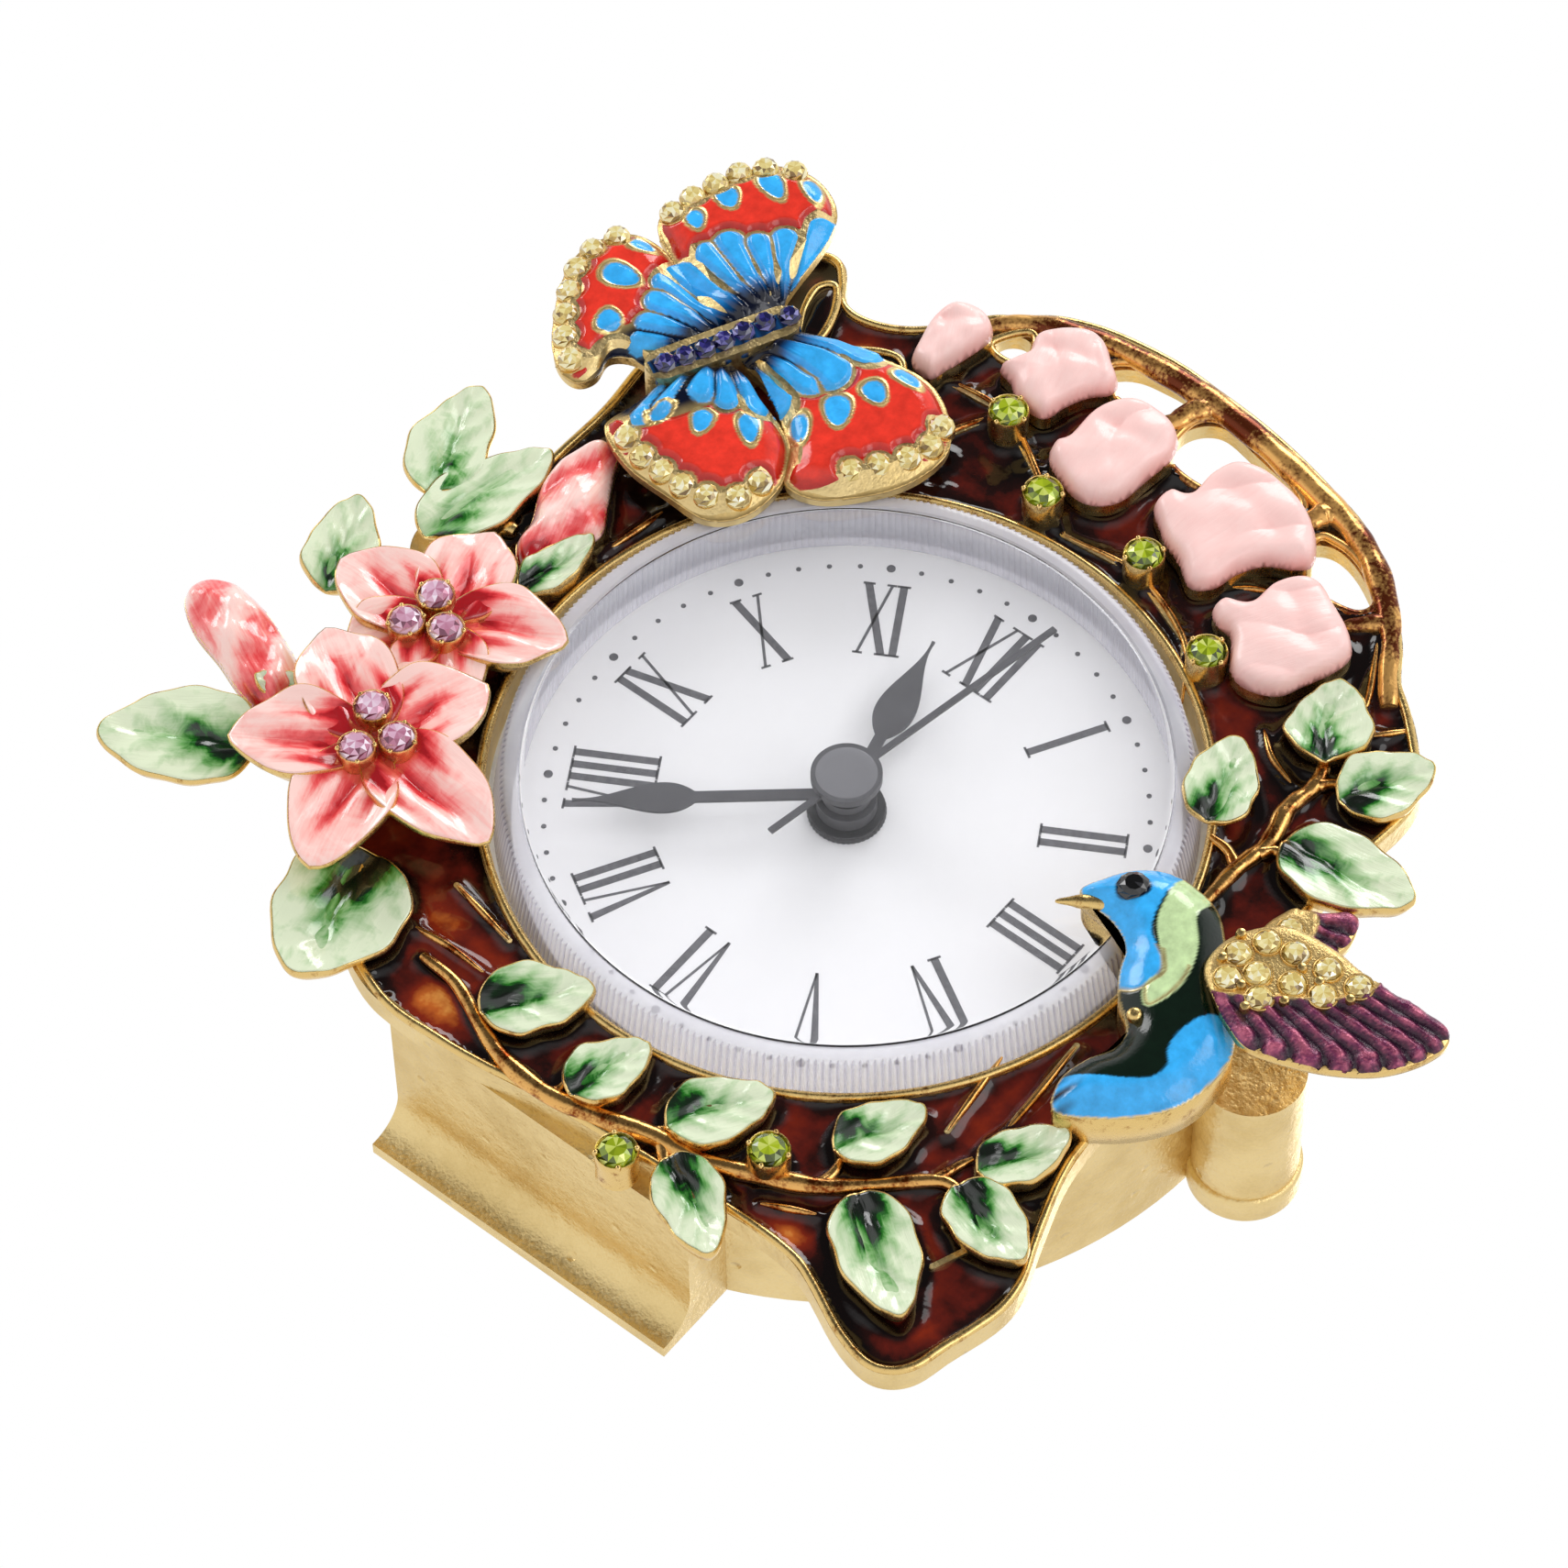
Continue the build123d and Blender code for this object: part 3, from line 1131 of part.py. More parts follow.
def coil_places():
    """Ends of the coil, which lies level under the rotor."""
    x, y = rotor_place()
    below = ROTOR_RADIUS + STATOR_WIDTH + COIL_RADIUS
    return (x - COIL_LENGTH / 4, y - below), (x + COIL_LENGTH * 3 / 4, y - below)


def stator_low():
    return rotor_low() + ROTOR_HEIGHT / 2 - STATOR_THICKNESS / 2


def stator():
    """The thin iron plate: an eye round the rotor and two legs to the ends of the coil."""
    low, high = stator_low(), stator_low() + STATOR_THICKNESS
    start, end = coil_places()
    elbow = (rotor_place()[0] + STATOR_WIDTH * 2, rotor_place()[1] - STATOR_WIDTH)
    whole = strip([start, rotor_place()], STATOR_WIDTH, low, high)
    whole += strip([rotor_place(), elbow, end], STATOR_WIDTH, low, high)
    whole += disc(ROTOR_RADIUS + STATOR_WIDTH / 2, low, high, rotor_place())
    return whole - disc(ROTOR_RADIUS + STATOR_GAP, low, high, rotor_place())


def coil():
    """The copper winding between its two end plates, on a core that rests on the stator."""
    start, end = coil_places()
    level = stator_low() + STATOR_THICKNESS + COIL_RADIUS
    length = COIL_LENGTH - STATOR_WIDTH
    middle = ((start[0] + end[0]) / 2, start[1])
    winding = Rot(0, 90, 0) * extrude(Circle(COIL_RADIUS), amount=length / 2, both=True)
    core = Rot(0, 90, 0) * extrude(Circle(COIL_CORE_RADIUS), amount=COIL_LENGTH / 2, both=True)
    return Pos(middle[0], middle[1], level) * (winding + core)


def train_places():
    return [third_place(), fifth_place(), rotor_place()]


def movement_plate():
    """Front half of the movement's casing; its boss passes through the dial."""
    plate = disc(PLATE_RADIUS, plate_back(), -DIAL_THICKNESS)
    plate += disc(DIAL_BOSS_RADIUS, -DIAL_THICKNESS, BOSS_NUT_HEIGHT)
    plate -= disc(HOUR_PIPE_RADIUS + FIT, plate_back(), BOSS_NUT_HEIGHT)
    for place in train_places():
        plate -= disc(TRAIN_ARBOR_RADIUS + FIT, plate_back(), plate_back() + PIVOT_DEPTH, place)
    return plate - disc(SETTING_ARBOR_RADIUS + FIT, plate_back(), plate_back() + PIVOT_DEPTH, motion_place())


def hand_nut():
    """The round nut that clamps the dial on the boss."""
    return disc(BOSS_NUT_RADIUS, 0, BOSS_NUT_HEIGHT) - disc(DIAL_BOSS_RADIUS, 0, BOSS_NUT_HEIGHT)


def movement_case():
    """Rear half of the casing: a cup with pivot holes and an opening for the battery."""
    case = disc(CASE_RADIUS, case_back(), plate_back())
    case -= disc(CASE_RADIUS - CASE_WALL, case_floor(), plate_back())
    for place in train_places() + [(0, 0)]:
        case -= disc(TRAIN_ARBOR_RADIUS + FIT, case_floor() - PIVOT_DEPTH, case_floor(), place)
    case -= disc(SETTING_ARBOR_RADIUS + FIT, case_back(), case_floor(), motion_place())
    return case - disc(BATTERY_COVER_RADIUS + SEAT_GAP, case_back(), case_floor(), battery_place())


def battery():
    """A button cell with its narrower lower pole."""
    step_share, pole_share = 0.2, 0.86
    low = case_floor()
    step = low + BATTERY_HEIGHT * step_share
    cell = disc(BATTERY_RADIUS, step, low + BATTERY_HEIGHT, battery_place())
    return cell + disc(BATTERY_RADIUS * pole_share, low, step, battery_place())


def battery_cover():
    """A lift-out lid with a coin slot across it."""
    slot_share = 0.2
    lid = disc(BATTERY_COVER_RADIUS, case_back(), case_floor(), battery_place())
    slot = Pos(*battery_place()) * Rectangle(BATTERY_COVER_RADIUS, BATTERY_COVER_RADIUS * slot_share)
    return lid - slab(slot, case_back(), case_back() + CASE_WALL / 2)


def battery_contacts():
    """One spring strip over the cell and one post beside it."""
    level = case_floor() + BATTERY_HEIGHT
    x, y = battery_place()
    foot = (x + BATTERY_RADIUS, y + BATTERY_RADIUS)
    top = strip([(x, y), foot], CONTACT_WIDTH, level, level + CONTACT_THICKNESS)
    top += disc(CONTACT_WIDTH / 2, level, plate_back(), foot)
    post_step = polar(BATTERY_RADIUS + CONTACT_WIDTH / 4 + SEAT_GAP, CONTACT_DIRECTION)
    side = disc(CONTACT_WIDTH / 4, case_floor(), plate_back(), (x + post_step[0], y + post_step[1]))
    return group([top, side])


def circuit_board():
    """The small board beside the wheels, with its chip."""
    low = plate_back() - BOARD_THICKNESS
    board = slab(Rectangle(BOARD_WIDTH, BOARD_LENGTH), low, plate_back())
    chip = slab(Rectangle(BOARD_WIDTH / 2, BOARD_WIDTH / 2), low - BOARD_THICKNESS, low)
    return Pos(-BOARD_OFFSET, BOARD_WIDTH) * (board + chip)


def dial_plane():
    """The dial stands upright, facing the front, at its height above the table."""
    return Plane(origin=(0, foot_land_middle(), DIAL_HEIGHT), x_dir=(1, 0, 0), z_dir=(0, -1, 0))


pieces = {
    "front_frame": front_frame,
    "frame_enamel": frame_enamel,
    "frame_screws": frame_screws,
    "rear_housing": rear_housing,
    "rear_cover": rear_cover,
    "cover_screws": cover_screws,
    "foot_plate": foot_plate,
    "vine_branch": lambda: branch(vine_branch_shares),
    "right_branch": lambda: branch(right_branch_shares),
    "vine_leaves": vine_leaves,
    "right_leaves": right_leaves,
    "left_leaves": left_leaves,
    "flower_upper": flower_upper,
    "flower_lower": flower_lower,
    "bud_left": bud_left,
    "bud_top": bud_top,
    "crystal_cups": crystal_cups,
    "green_crystals": green_crystals,
    "pink_crystals": pink_crystals,
    "butterfly": butterfly,
    "butterfly_enamel": butterfly_enamel,
    "butterfly_crystals": lambda: group(wing_stones()),
    "butterfly_body_crystals": lambda: group(insect_stones()),
    "bird_body": bird_body,
    "bird_eye": bird_eye,
    "bird_wing": bird_wing,
    "bird_far_wing": bird_far_wing,
    "bird_crystals": lambda: group(bird_stones()),
    "lens": lens,
    "insert_gasket": insert_gasket,
    "dial": dial,
    "hour_hand": hour_hand,
    "minute_hand": minute_hand,
    "second_hand": second_hand,
    "hand_nut": hand_nut,
    "movement_plate": movement_plate,
    "movement_case": movement_case,
    "rotor": rotor,
    "fifth_wheel": fifth_wheel,
    "seconds_wheel": seconds_wheel,
    "third_wheel": third_wheel,
    "centre_wheel": centre_wheel,
    "cannon_pinion": cannon_pinion,
    "motion_wheel": motion_wheel,
    "hour_wheel": hour_wheel,
    "set_knob": set_knob,
    "stator": stator,
    "coil": coil,
    "circuit_board": circuit_board,
    "battery": battery,
    "battery_cover": battery_cover,
    "battery_contacts": battery_contacts,
}
for number, shares in enumerate(zip(bell_shares, bell_fold_shares), start=1):
    pieces[f"bellflower_{number}"] = lambda shares=shares: bellflower(*shares)

os.makedirs("parts", exist_ok=True)
place = dial_plane().location
for name, make in pieces.items():
    piece = place * make()
    export_step(piece, f"parts/{name}.step")
    bounds = piece.bounding_box()
    print(name, len(piece.solids()), "solids, lowest point", round(bounds.min.Z, 2))
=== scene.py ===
# %% [markdown]
# # A pendulette clock: a gold casting with enamel, stones and a small quartz insert
# The CAD model gives the sizes, the places and what moves. This lesson dresses it: each leaf, petal
# and wing gets a gold edge with enamel inside it, the stones get facets and the dial its numerals.
# Every new piece is a surface worked out with numpy and laid where the CAD piece stands.

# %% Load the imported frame
import json
import math

import bpy
import numpy as np
from mathutils import Matrix, Vector


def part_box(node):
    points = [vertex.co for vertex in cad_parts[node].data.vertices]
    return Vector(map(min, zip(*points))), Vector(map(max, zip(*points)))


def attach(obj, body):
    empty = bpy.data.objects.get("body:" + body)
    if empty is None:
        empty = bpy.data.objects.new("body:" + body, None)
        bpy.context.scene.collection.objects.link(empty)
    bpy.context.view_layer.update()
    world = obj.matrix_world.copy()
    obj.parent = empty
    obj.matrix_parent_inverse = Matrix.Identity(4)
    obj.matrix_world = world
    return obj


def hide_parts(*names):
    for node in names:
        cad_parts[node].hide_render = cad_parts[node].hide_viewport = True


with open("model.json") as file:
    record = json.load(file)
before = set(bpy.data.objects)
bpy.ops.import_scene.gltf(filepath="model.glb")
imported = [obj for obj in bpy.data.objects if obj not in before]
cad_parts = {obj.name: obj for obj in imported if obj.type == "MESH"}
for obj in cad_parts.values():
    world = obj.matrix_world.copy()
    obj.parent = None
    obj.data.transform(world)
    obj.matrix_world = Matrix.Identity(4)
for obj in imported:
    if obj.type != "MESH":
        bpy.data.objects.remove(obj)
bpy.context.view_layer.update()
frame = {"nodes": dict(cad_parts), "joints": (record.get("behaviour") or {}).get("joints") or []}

# %% [markdown]
# ## One drawing board
# The ornament is easiest to draw lying on the dial's face: x to three o'clock, y to twelve and the
# third number towards the viewer, in millimetres from the middle of the dial. One function stands
# such points up in the clock's own frame, which is in metres.

# %% The drawing board
MM = 0.001
dial_middle = np.array(frame["joints"][0]["pos_m"])


def stand(points):
    """Board to clock: across stays X, up the dial becomes Z, and towards the viewer becomes minus Y."""
    points = np.asarray(points, float)
    across, up, front = points[..., 0], points[..., 1], points[..., 2]
    return dial_middle + MM * np.stack([across, -front, up], axis=-1)


print("middle of the dial:", dial_middle)

# %% [markdown]
# ## From rings to a mesh
# Leaves, petals, walls and cups are all a stack of closed rings. The skin joins each ring to the next
# and a fan closes both ends, so every piece is watertight. A loop of wire has no ends: its last ring
# joins its first.

# %% Skin over rings
def skin(rings, loop=False):
    """Points and triangles over rings[ring, place round the ring]; a fan round its mean point closes each end."""
    rows, around = rings.shape[:2]
    index = np.arange(rows * around).reshape(rows, around)
    low = index if loop else index[:-1]
    high = np.roll(index, -1, 0) if loop else index[1:]
    low_next, high_next = np.roll(low, -1, 1), np.roll(high, -1, 1)
    faces = [np.stack([low, low_next, high_next], -1), np.stack([low, high_next, high], -1)]
    faces = [part.reshape(-1, 3) for part in faces]
    points = rings.reshape(-1, 3)
    if not loop:
        ends = np.full((2, around), len(points)) + [[0], [1]]
        faces.append(np.stack([np.roll(index[0], -1), index[0], ends[0]], -1))
        faces.append(np.stack([index[-1], np.roll(index[-1], -1), ends[1]], -1))
        points = np.vstack([points, rings[0].mean(0), rings[-1].mean(0)])
    return points, np.vstack(faces)


print("a skin over two rings of eight places has", len(skin(np.ones((2, 8, 3)))[1]), "triangles")

# %% Blocks joined into one named piece
def piece(name, blocks, material, slot, replaces=(), body="clock", facets=False, corner=50.0, modifiers=()):
    """One mesh from blocks of (points, triangles, values by name); it rides on its body."""
    starts = np.cumsum([0] + [len(block[0]) for block in blocks])
    points = stand(np.vstack([block[0] for block in blocks]))
    faces = np.vstack([block[1] + start for block, start in zip(blocks, starts)])
    mesh = bpy.data.meshes.new(name)
    mesh.vertices.add(len(points))
    mesh.vertices.foreach_set("co", points.astype(np.float32).ravel())
    mesh.loops.add(faces.size)
    mesh.loops.foreach_set("vertex_index", faces.astype(np.int32).ravel())
    mesh.polygons.add(len(faces))
    mesh.polygons.foreach_set("loop_start", np.arange(0, faces.size, 3, dtype=np.int32))
    mesh.update(calc_edges=True)
    for key in blocks[0][2] if len(blocks[0]) > 2 else ():
        values = np.concatenate([block[2][key] for block in blocks]).astype(np.float32)
        kind = "FLOAT" if values.ndim == 1 else "FLOAT_VECTOR"
        domain = "FACE" if len(values) == len(faces) and facets else "POINT"
        layer = mesh.attributes.new(key, kind, domain)
        layer.data.foreach_set("value" if values.ndim == 1 else "vector", values.ravel())
    mesh.validate()
    if facets:
        mesh.shade_flat()
    else:
        mesh.shade_smooth()
        mesh.set_sharp_from_angle(angle=math.radians(corner))
    mesh.materials.append(material)
    made = bpy.data.objects.new(name, mesh)
    bpy.context.scene.collection.objects.link(made)
    for kind, settings in modifiers:
        added = made.modifiers.new(kind.title(), kind)
        for key, value in settings.items():
            setattr(added, key, value)
    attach(made, body)
    if replaces:
        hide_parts(*replaces)
    print(name, len(faces), "triangles")
    return made


# %% [markdown]
# ## Lines and outlines
# A drawn outline is a few corners. A Catmull-Rom curve runs smoothly through all of them, and it
# works on whole arrays: each new place mixes its four nearest corners.

# %% Smooth lines through corners
def smooth_line(corners, count, closed=False):
    """Catmull-Rom: each span mixes four corners by cubic weights of the way along it."""
    corners = np.asarray(corners, float)
    spans = len(corners) if closed else len(corners) - 1
    way = np.linspace(0, spans, count, endpoint=not closed)
    span = np.minimum(way.astype(int), spans - 1)
    t = (way - span)[:, None]
    if closed:
        four = [corners[(span + step) % len(corners)] for step in (-1, 0, 1, 2)]
    else:
        held = np.vstack([2 * corners[0] - corners[1], corners, 2 * corners[-1] - corners[-2]])
        four = [held[span + step] for step in (0, 1, 2, 3)]
    a, b, c, d = four
    return b + t / 2 * (c - a + t * (2 * a - 5 * b + 4 * c - d + t * (3 * (b - c) + d - a)))


def outline(corners, count):
    """A smooth closed outline that runs against the clock."""
    line = smooth_line(corners, count, closed=True)
    nxt = np.roll(line, -1, 0)
    area = np.sum(line[:, 0] * nxt[:, 1] - nxt[:, 0] * line[:, 1])
    return line if area > 0 else line[::-1]


print("eight places through four corners:", outline([(0, 0), (1, 0), (1, 1), (0, 1)], 8).round(2).tolist())

# %% Directions and circles on the board
def heading(degrees):
    """A step of length one in a direction: cosine across, sine up."""
    return np.array([math.cos(math.radians(degrees)), math.sin(math.radians(degrees))])


def swung(points, degrees):
    """Flat points turned about the middle, so that their x runs along the heading."""
    c, s = heading(degrees)
    return points @ np.array([[c, s], [-s, c]])


def full_turn(count):
    """The angles of so many places once round."""
    return np.linspace(0, 2 * math.pi, count, endpoint=False)


def unit(turn):
    """Places at these angles on a circle of radius one."""
    return np.stack([np.cos(turn), np.sin(turn)], -1)


print("heading of 30 degrees:", heading(30).round(3), "and four places round a circle:", full_turn(4).round(3))

# %% Wires, domes and turned shapes
def wire(path, width, height, sides=10, loop=False):
    """A rounded wall along a path: each ring is an ellipse across the path's direction."""
    path = np.asarray(path, float)
    if loop:
        ahead = np.roll(path, -1, 0) - np.roll(path, 1, 0)
    else:
        ahead = np.gradient(path, axis=0)
    ahead = ahead / np.linalg.norm(ahead, axis=1, keepdims=True)
    side = np.cross([0, 0, 1], ahead)
    side = side / np.linalg.norm(side, axis=1, keepdims=True)
    above = np.cross(ahead, side)
    turn = full_turn(sides)
    half_width = np.broadcast_to(np.asarray(width, float) / 2, len(path))[:, None, None]
    half_height = np.broadcast_to(np.asarray(height, float) / 2, len(path))[:, None, None]
    rings = path[:, None] + half_width * side[:, None] * np.cos(turn)[:, None]
    rings = rings + half_height * above[:, None] * np.sin(turn)[:, None]
    return skin(rings, loop)


def dome(edge, profile, middle=None, relief=None):
    """Rings that shrink from an edge to its middle; a profile row is inset in mm, share left, height."""
    middle = edge.mean(0) if middle is None else np.asarray(middle, float)
    inset, share, height = np.array(profile, float).T
    arm = edge - middle
    reach = np.linalg.norm(arm, axis=1)
    scale = (1 - inset[:, None] / reach) * share[:, None]
    flat = middle + scale[..., None] * arm
    level = np.broadcast_to(height[:, None], scale.shape)
    points, faces = skin(np.concatenate([flat, level[..., None]], -1))
    if relief is not None:
        points = points.copy()
        points[:, 2] += relief(points)
    return points, faces


def turned(middle, radii, levels, around=32):
    """A lathe shape: circles of the given radii at the given levels, standing on the board."""
    flat = np.asarray(middle, float) + np.asarray(radii, float)[:, None, None] * unit(full_turn(around))
    level = np.broadcast_to(np.asarray(levels, float)[:, None], flat.shape[:2])
    return skin(np.concatenate([flat, level[..., None]], -1))


print("a cone on 32 places has", len(turned((0, 0), [1, 0.5], [0, 1])[1]), "triangles")

# %% Measures that shapes and colours share
def soft_step(value):
    """Rises smoothly from 0 to 1 as the value does: three squares less two cubes."""
    value = np.clip(value, 0, 1)
    return value * value * (3 - 2 * value)


def along_across(points, middle, turn, half_length, half_width):
    """Where points lie on a leaf: -1 at its base to 1 at its tip, and -1 to 1 from side to side."""
    c, s = heading(turn)
    step = points[:, :2] - np.asarray(middle, float)
    return (step @ [c, s]) / half_length, (step @ [-s, c]) / half_width


def shading(along, across, seed, tone):
    """What the streaked enamels read: a tone, and the place with the seed as its third number."""
    return {"tone": tone, "place": np.column_stack([along, across, np.full(len(along), seed)])}


print("soft steps:", soft_step([0, 0.25, 0.5, 0.75, 1]))

# %% [markdown]
# ## Materials
# Each finish is a small node tree. Noise in object coordinates is in metres, so one spot per
# millimetre is a scale of about a thousand. Values that are the same all over go on the shader itself.

# %% Colour and node helpers
def rgb(red, green, blue, alpha=1.0):
    """Screen colour to linear light: the sRGB curve on each channel."""
    def channel(value):
        return value / 12.92 if value <= 0.04045 else ((value + 0.055) / 1.055) ** 2.4
    return (channel(red), channel(green), channel(blue), alpha)


def grey(value):
    """The same linear value on all three channels."""
    return (value, value, value, 1)


def new_material(name, colour, rough, metal=0.0, coat=0.0, coat_rough=0.05):
    """A material and its shader, with the values that are the same all over."""
    material = bpy.data.materials.new(name)
    material.use_nodes = True
    shader = material.node_tree.nodes["Principled BSDF"]
    shader.inputs["Base Color"].default_value = colour
    shader.inputs["Roughness"].default_value = rough
    shader.inputs["Metallic"].default_value = metal
    shader.inputs["Coat Weight"].default_value = coat
    shader.inputs["Coat Roughness"].default_value = coat_rough
    return material, shader


def node(material, kind, **inputs):
    """A new node; each input by its name is linked to a socket or set to a value."""
    made = material.node_tree.nodes.new(kind)
    for key, value in inputs.items():
        socket = made.inputs[key.replace("_", " ")]
        if isinstance(value, bpy.types.NodeSocket):
            material.node_tree.links.new(value, socket)
        else:
            socket.default_value = value
    return made


def link(material, source, target):
    """Joins an output to an input."""
    material.node_tree.links.new(source, target)


print("mid grey on the screen is", round(rgb(0.5, 0.5, 0.5)[0], 3), "in linear light")

# %% Noise, ramps, sums and bumps as nodes
def board_noise(material, spots_per_mm, detail=3.0, stretch=(1, 1, 1), vector=None, rough=0.5, swirl=0.0):
    """Noise with so many spots to the millimetre, on object coordinates or on a given vector."""
    if vector is None:
        vector = node(material, "ShaderNodeTexCoord").outputs["Object"]
        size = 1 / MM
    else:
        size = 1.0
    mapping = node(material, "ShaderNodeMapping", Vector=vector, Scale=Vector(stretch) * size)
    made = node(material, "ShaderNodeTexNoise", Vector=mapping.outputs[0], Scale=spots_per_mm, Detail=detail,
                Roughness=rough, Distortion=swirl)
    return made.outputs["Fac"]


def ramp(material, factor, stops):
    """Colours along a factor: rows of place and colour."""
    made = node(material, "ShaderNodeValToRGB", Fac=factor)
    elements = made.color_ramp.elements
    while len(elements) < len(stops):
        elements.new(0.5)
    for element, (place, colour) in zip(elements, stops):
        element.position = place
        element.color = colour
    return made.outputs["Color"]


def maths(material, operation, first, second, clamp=False):
    """One sum of two values or sockets, held between 0 and 1 where it is clamped."""
    made = material.node_tree.nodes.new("ShaderNodeMath")
    made.operation, made.use_clamp = operation, clamp
    for socket, value in zip(made.inputs, (first, second)):
        if isinstance(value, bpy.types.NodeSocket):
            material.node_tree.links.new(value, socket)
        else:
            socket.default_value = value
    return made.outputs[0]


def bump(material, shader, height, depth_mm, earlier=None):
    """Tilts the surface by the slope of a height times a depth, on top of an earlier bump."""
    made = node(material, "ShaderNodeBump", Height=height, Distance=depth_mm * MM, Strength=1.0)
    if earlier is not None:
        link(material, earlier, made.inputs["Normal"])
    link(material, made.outputs[0], shader.inputs["Normal"])
    return made.outputs[0]


def swing(material, noise, share):
    """Noise less its mean, times a share."""
    return maths(material, "MULTIPLY", maths(material, "SUBTRACT", noise, 0.5), share)


def show_mix(material, share, first, second, output="Material Output"):
    """The output shows the first shader, or the second by its share."""
    mixed = node(material, "ShaderNodeMixShader", Fac=share)
    link(material, first.outputs[0], mixed.inputs[1])
    link(material, second.outputs[0], mixed.inputs[2])
    link(material, mixed.outputs[0], material.node_tree.nodes[output].inputs["Surface"])


def value_of(material, name):
    """Reads the values that a mesh carries under this name."""
    made = material.node_tree.nodes.new("ShaderNodeAttribute")
    made.attribute_name = name
    return made


print("noise on the board is scaled by", 1 / MM, "so that its spots are in millimetres")

# %% Plain finishes: moulded, cast, brushed
def grained(name, colour, rough, metal=0.0, spots=2.0, depth=0.01, spread=0.08, coat=0.0):
    """A finish whose colour wanders a little and whose surface has a fine grain."""
    material, shader = new_material(name, colour, rough, metal, coat)
    cloud = board_noise(material, spots / 6)
    lighter = tuple(min(1.0, part * (1 + spread * 2)) for part in colour[:3]) + (1.0,)
    darker = tuple(part * (1 - spread * 2) for part in colour[:3]) + (1.0,)
    link(material, ramp(material, cloud, [(0.3, darker), (0.7, lighter)]), shader.inputs["Base Color"])
    bump(material, shader, board_noise(material, spots, 2.0), depth)
    return material


def cast_gold(name, light, dark, rough, depth, clouds=0.5, grain=5.5, patina=(0.34, 0.52), pits=0.0):
    """Cast gold: soft lumps from the mould, a sandy grain, a darker tone in clouds and a few small pits."""
    material, shader = new_material(name, light, rough, 1.0)
    cloud = board_noise(material, clouds, 4.0)
    speckle = board_noise(material, grain, 2.0)
    mixed = maths(material, "ADD", maths(material, "MULTIPLY", cloud, 0.72),
                  maths(material, "MULTIPLY", speckle, 0.28))
    link(material, ramp(material, mixed, [(patina[0], dark), (patina[1], light)]), shader.inputs["Base Color"])
    rough_cloud = ramp(material, speckle, [(0.3, grey(rough * 0.8)), (0.7, grey(rough * 1.25))])
    link(material, rough_cloud, shader.inputs["Roughness"])
    lumps = bump(material, shader, board_noise(material, 0.7, 3.0), depth * 3)
    grained_top = bump(material, shader, speckle, depth, earlier=lumps)
    if pits:
        place = node(material, "ShaderNodeMapping", Vector=node(material, "ShaderNodeTexCoord").outputs["Object"],
                     Scale=(1 / MM,) * 3)
        cells = node(material, "ShaderNodeTexVoronoi", Vector=place.outputs[0], Scale=pits)
        hole = ramp(material, cells.outputs["Distance"], [(0.03, grey(0)), (0.12, grey(1))])
        bump(material, shader, hole, 0.15, earlier=grained_top)
    return material


gold_satin = cast_gold("gold_satin", rgb(0.92, 0.82, 0.59), rgb(0.85, 0.74, 0.50), 0.40, 0.055, 0.16, 3.2,
                       (0.36, 0.56), pits=0.22)
gold_edge = cast_gold("gold_edge", rgb(0.90, 0.77, 0.50), rgb(0.60, 0.40, 0.18), 0.27, 0.014, 0.8, 5.0, (0.30, 0.46))
gold_amber = cast_gold("gold_amber", rgb(0.91, 0.70, 0.41), rgb(0.52, 0.24, 0.08), 0.22, 0.016, 0.45, 4.0,
                       (0.38, 0.52))
arch_amber = cast_gold("arch_amber", rgb(0.95, 0.73, 0.42), rgb(0.42, 0.18, 0.07), 0.20, 0.008, 0.16, 3.0,
                       (0.42, 0.54))
GILT = (gold_edge, "gold_casting")   # finish and slot of most gold pieces
# Amber glaze still lies on the arch, so it is less of a metal than bare gold.
arch_amber.node_tree.nodes["Principled BSDF"].inputs["Metallic"].default_value = 0.7
print("gold finishes:", gold_satin.name, gold_edge.name, gold_amber.name, arch_amber.name)

# %% Enamels
def streaked_enamel(name, stops, rough=0.16, coat=0.6, streak=0.5, marble=0.35, relief=0.05):
    """Enamel that pools: its tone moves along the ramp, pushed by streaks along the piece and by marbling."""
    material, shader = new_material(name, stops[0][1], rough, 0.0, coat)
    place = value_of(material, "place").outputs["Vector"]
    tone = value_of(material, "tone").outputs["Fac"]
    streaks = board_noise(material, 1.0, 4.0, (1.2, 9.0, 3.0), place, 0.6)
    cloud = board_noise(material, 0.34, 5.0, rough=0.6, swirl=1.6)
    pushed = maths(material, "ADD", swing(material, streaks, streak * 2), swing(material, cloud, marble * 2))
    total = maths(material, "ADD", tone, pushed, clamp=True)
    link(material, ramp(material, total, stops), shader.inputs["Base Color"])
    bump(material, shader, streaks, relief)
    return material


leaf_enamel = streaked_enamel("leaf_enamel", [
    (0.00, rgb(0.05, 0.08, 0.05)), (0.22, rgb(0.04, 0.16, 0.06)), (0.34, rgb(0.12, 0.42, 0.10)),
    (0.48, rgb(0.42, 0.64, 0.36)), (0.66, rgb(0.67, 0.79, 0.60)), (1.00, rgb(0.88, 0.92, 0.80))],
    streak=0.18, marble=0.42, rough=0.12, relief=0.08)
petal_enamel = streaked_enamel("petal_enamel", [
    (0.00, rgb(1.00, 0.84, 0.81)), (0.26, rgb(1.00, 0.73, 0.70)), (0.46, rgb(0.97, 0.50, 0.49)),
    (0.66, rgb(0.92, 0.30, 0.31)), (0.84, rgb(0.82, 0.17, 0.20)), (1.00, rgb(0.66, 0.07, 0.11))],
    streak=0.34, marble=0.36, rough=0.13, relief=0.07)
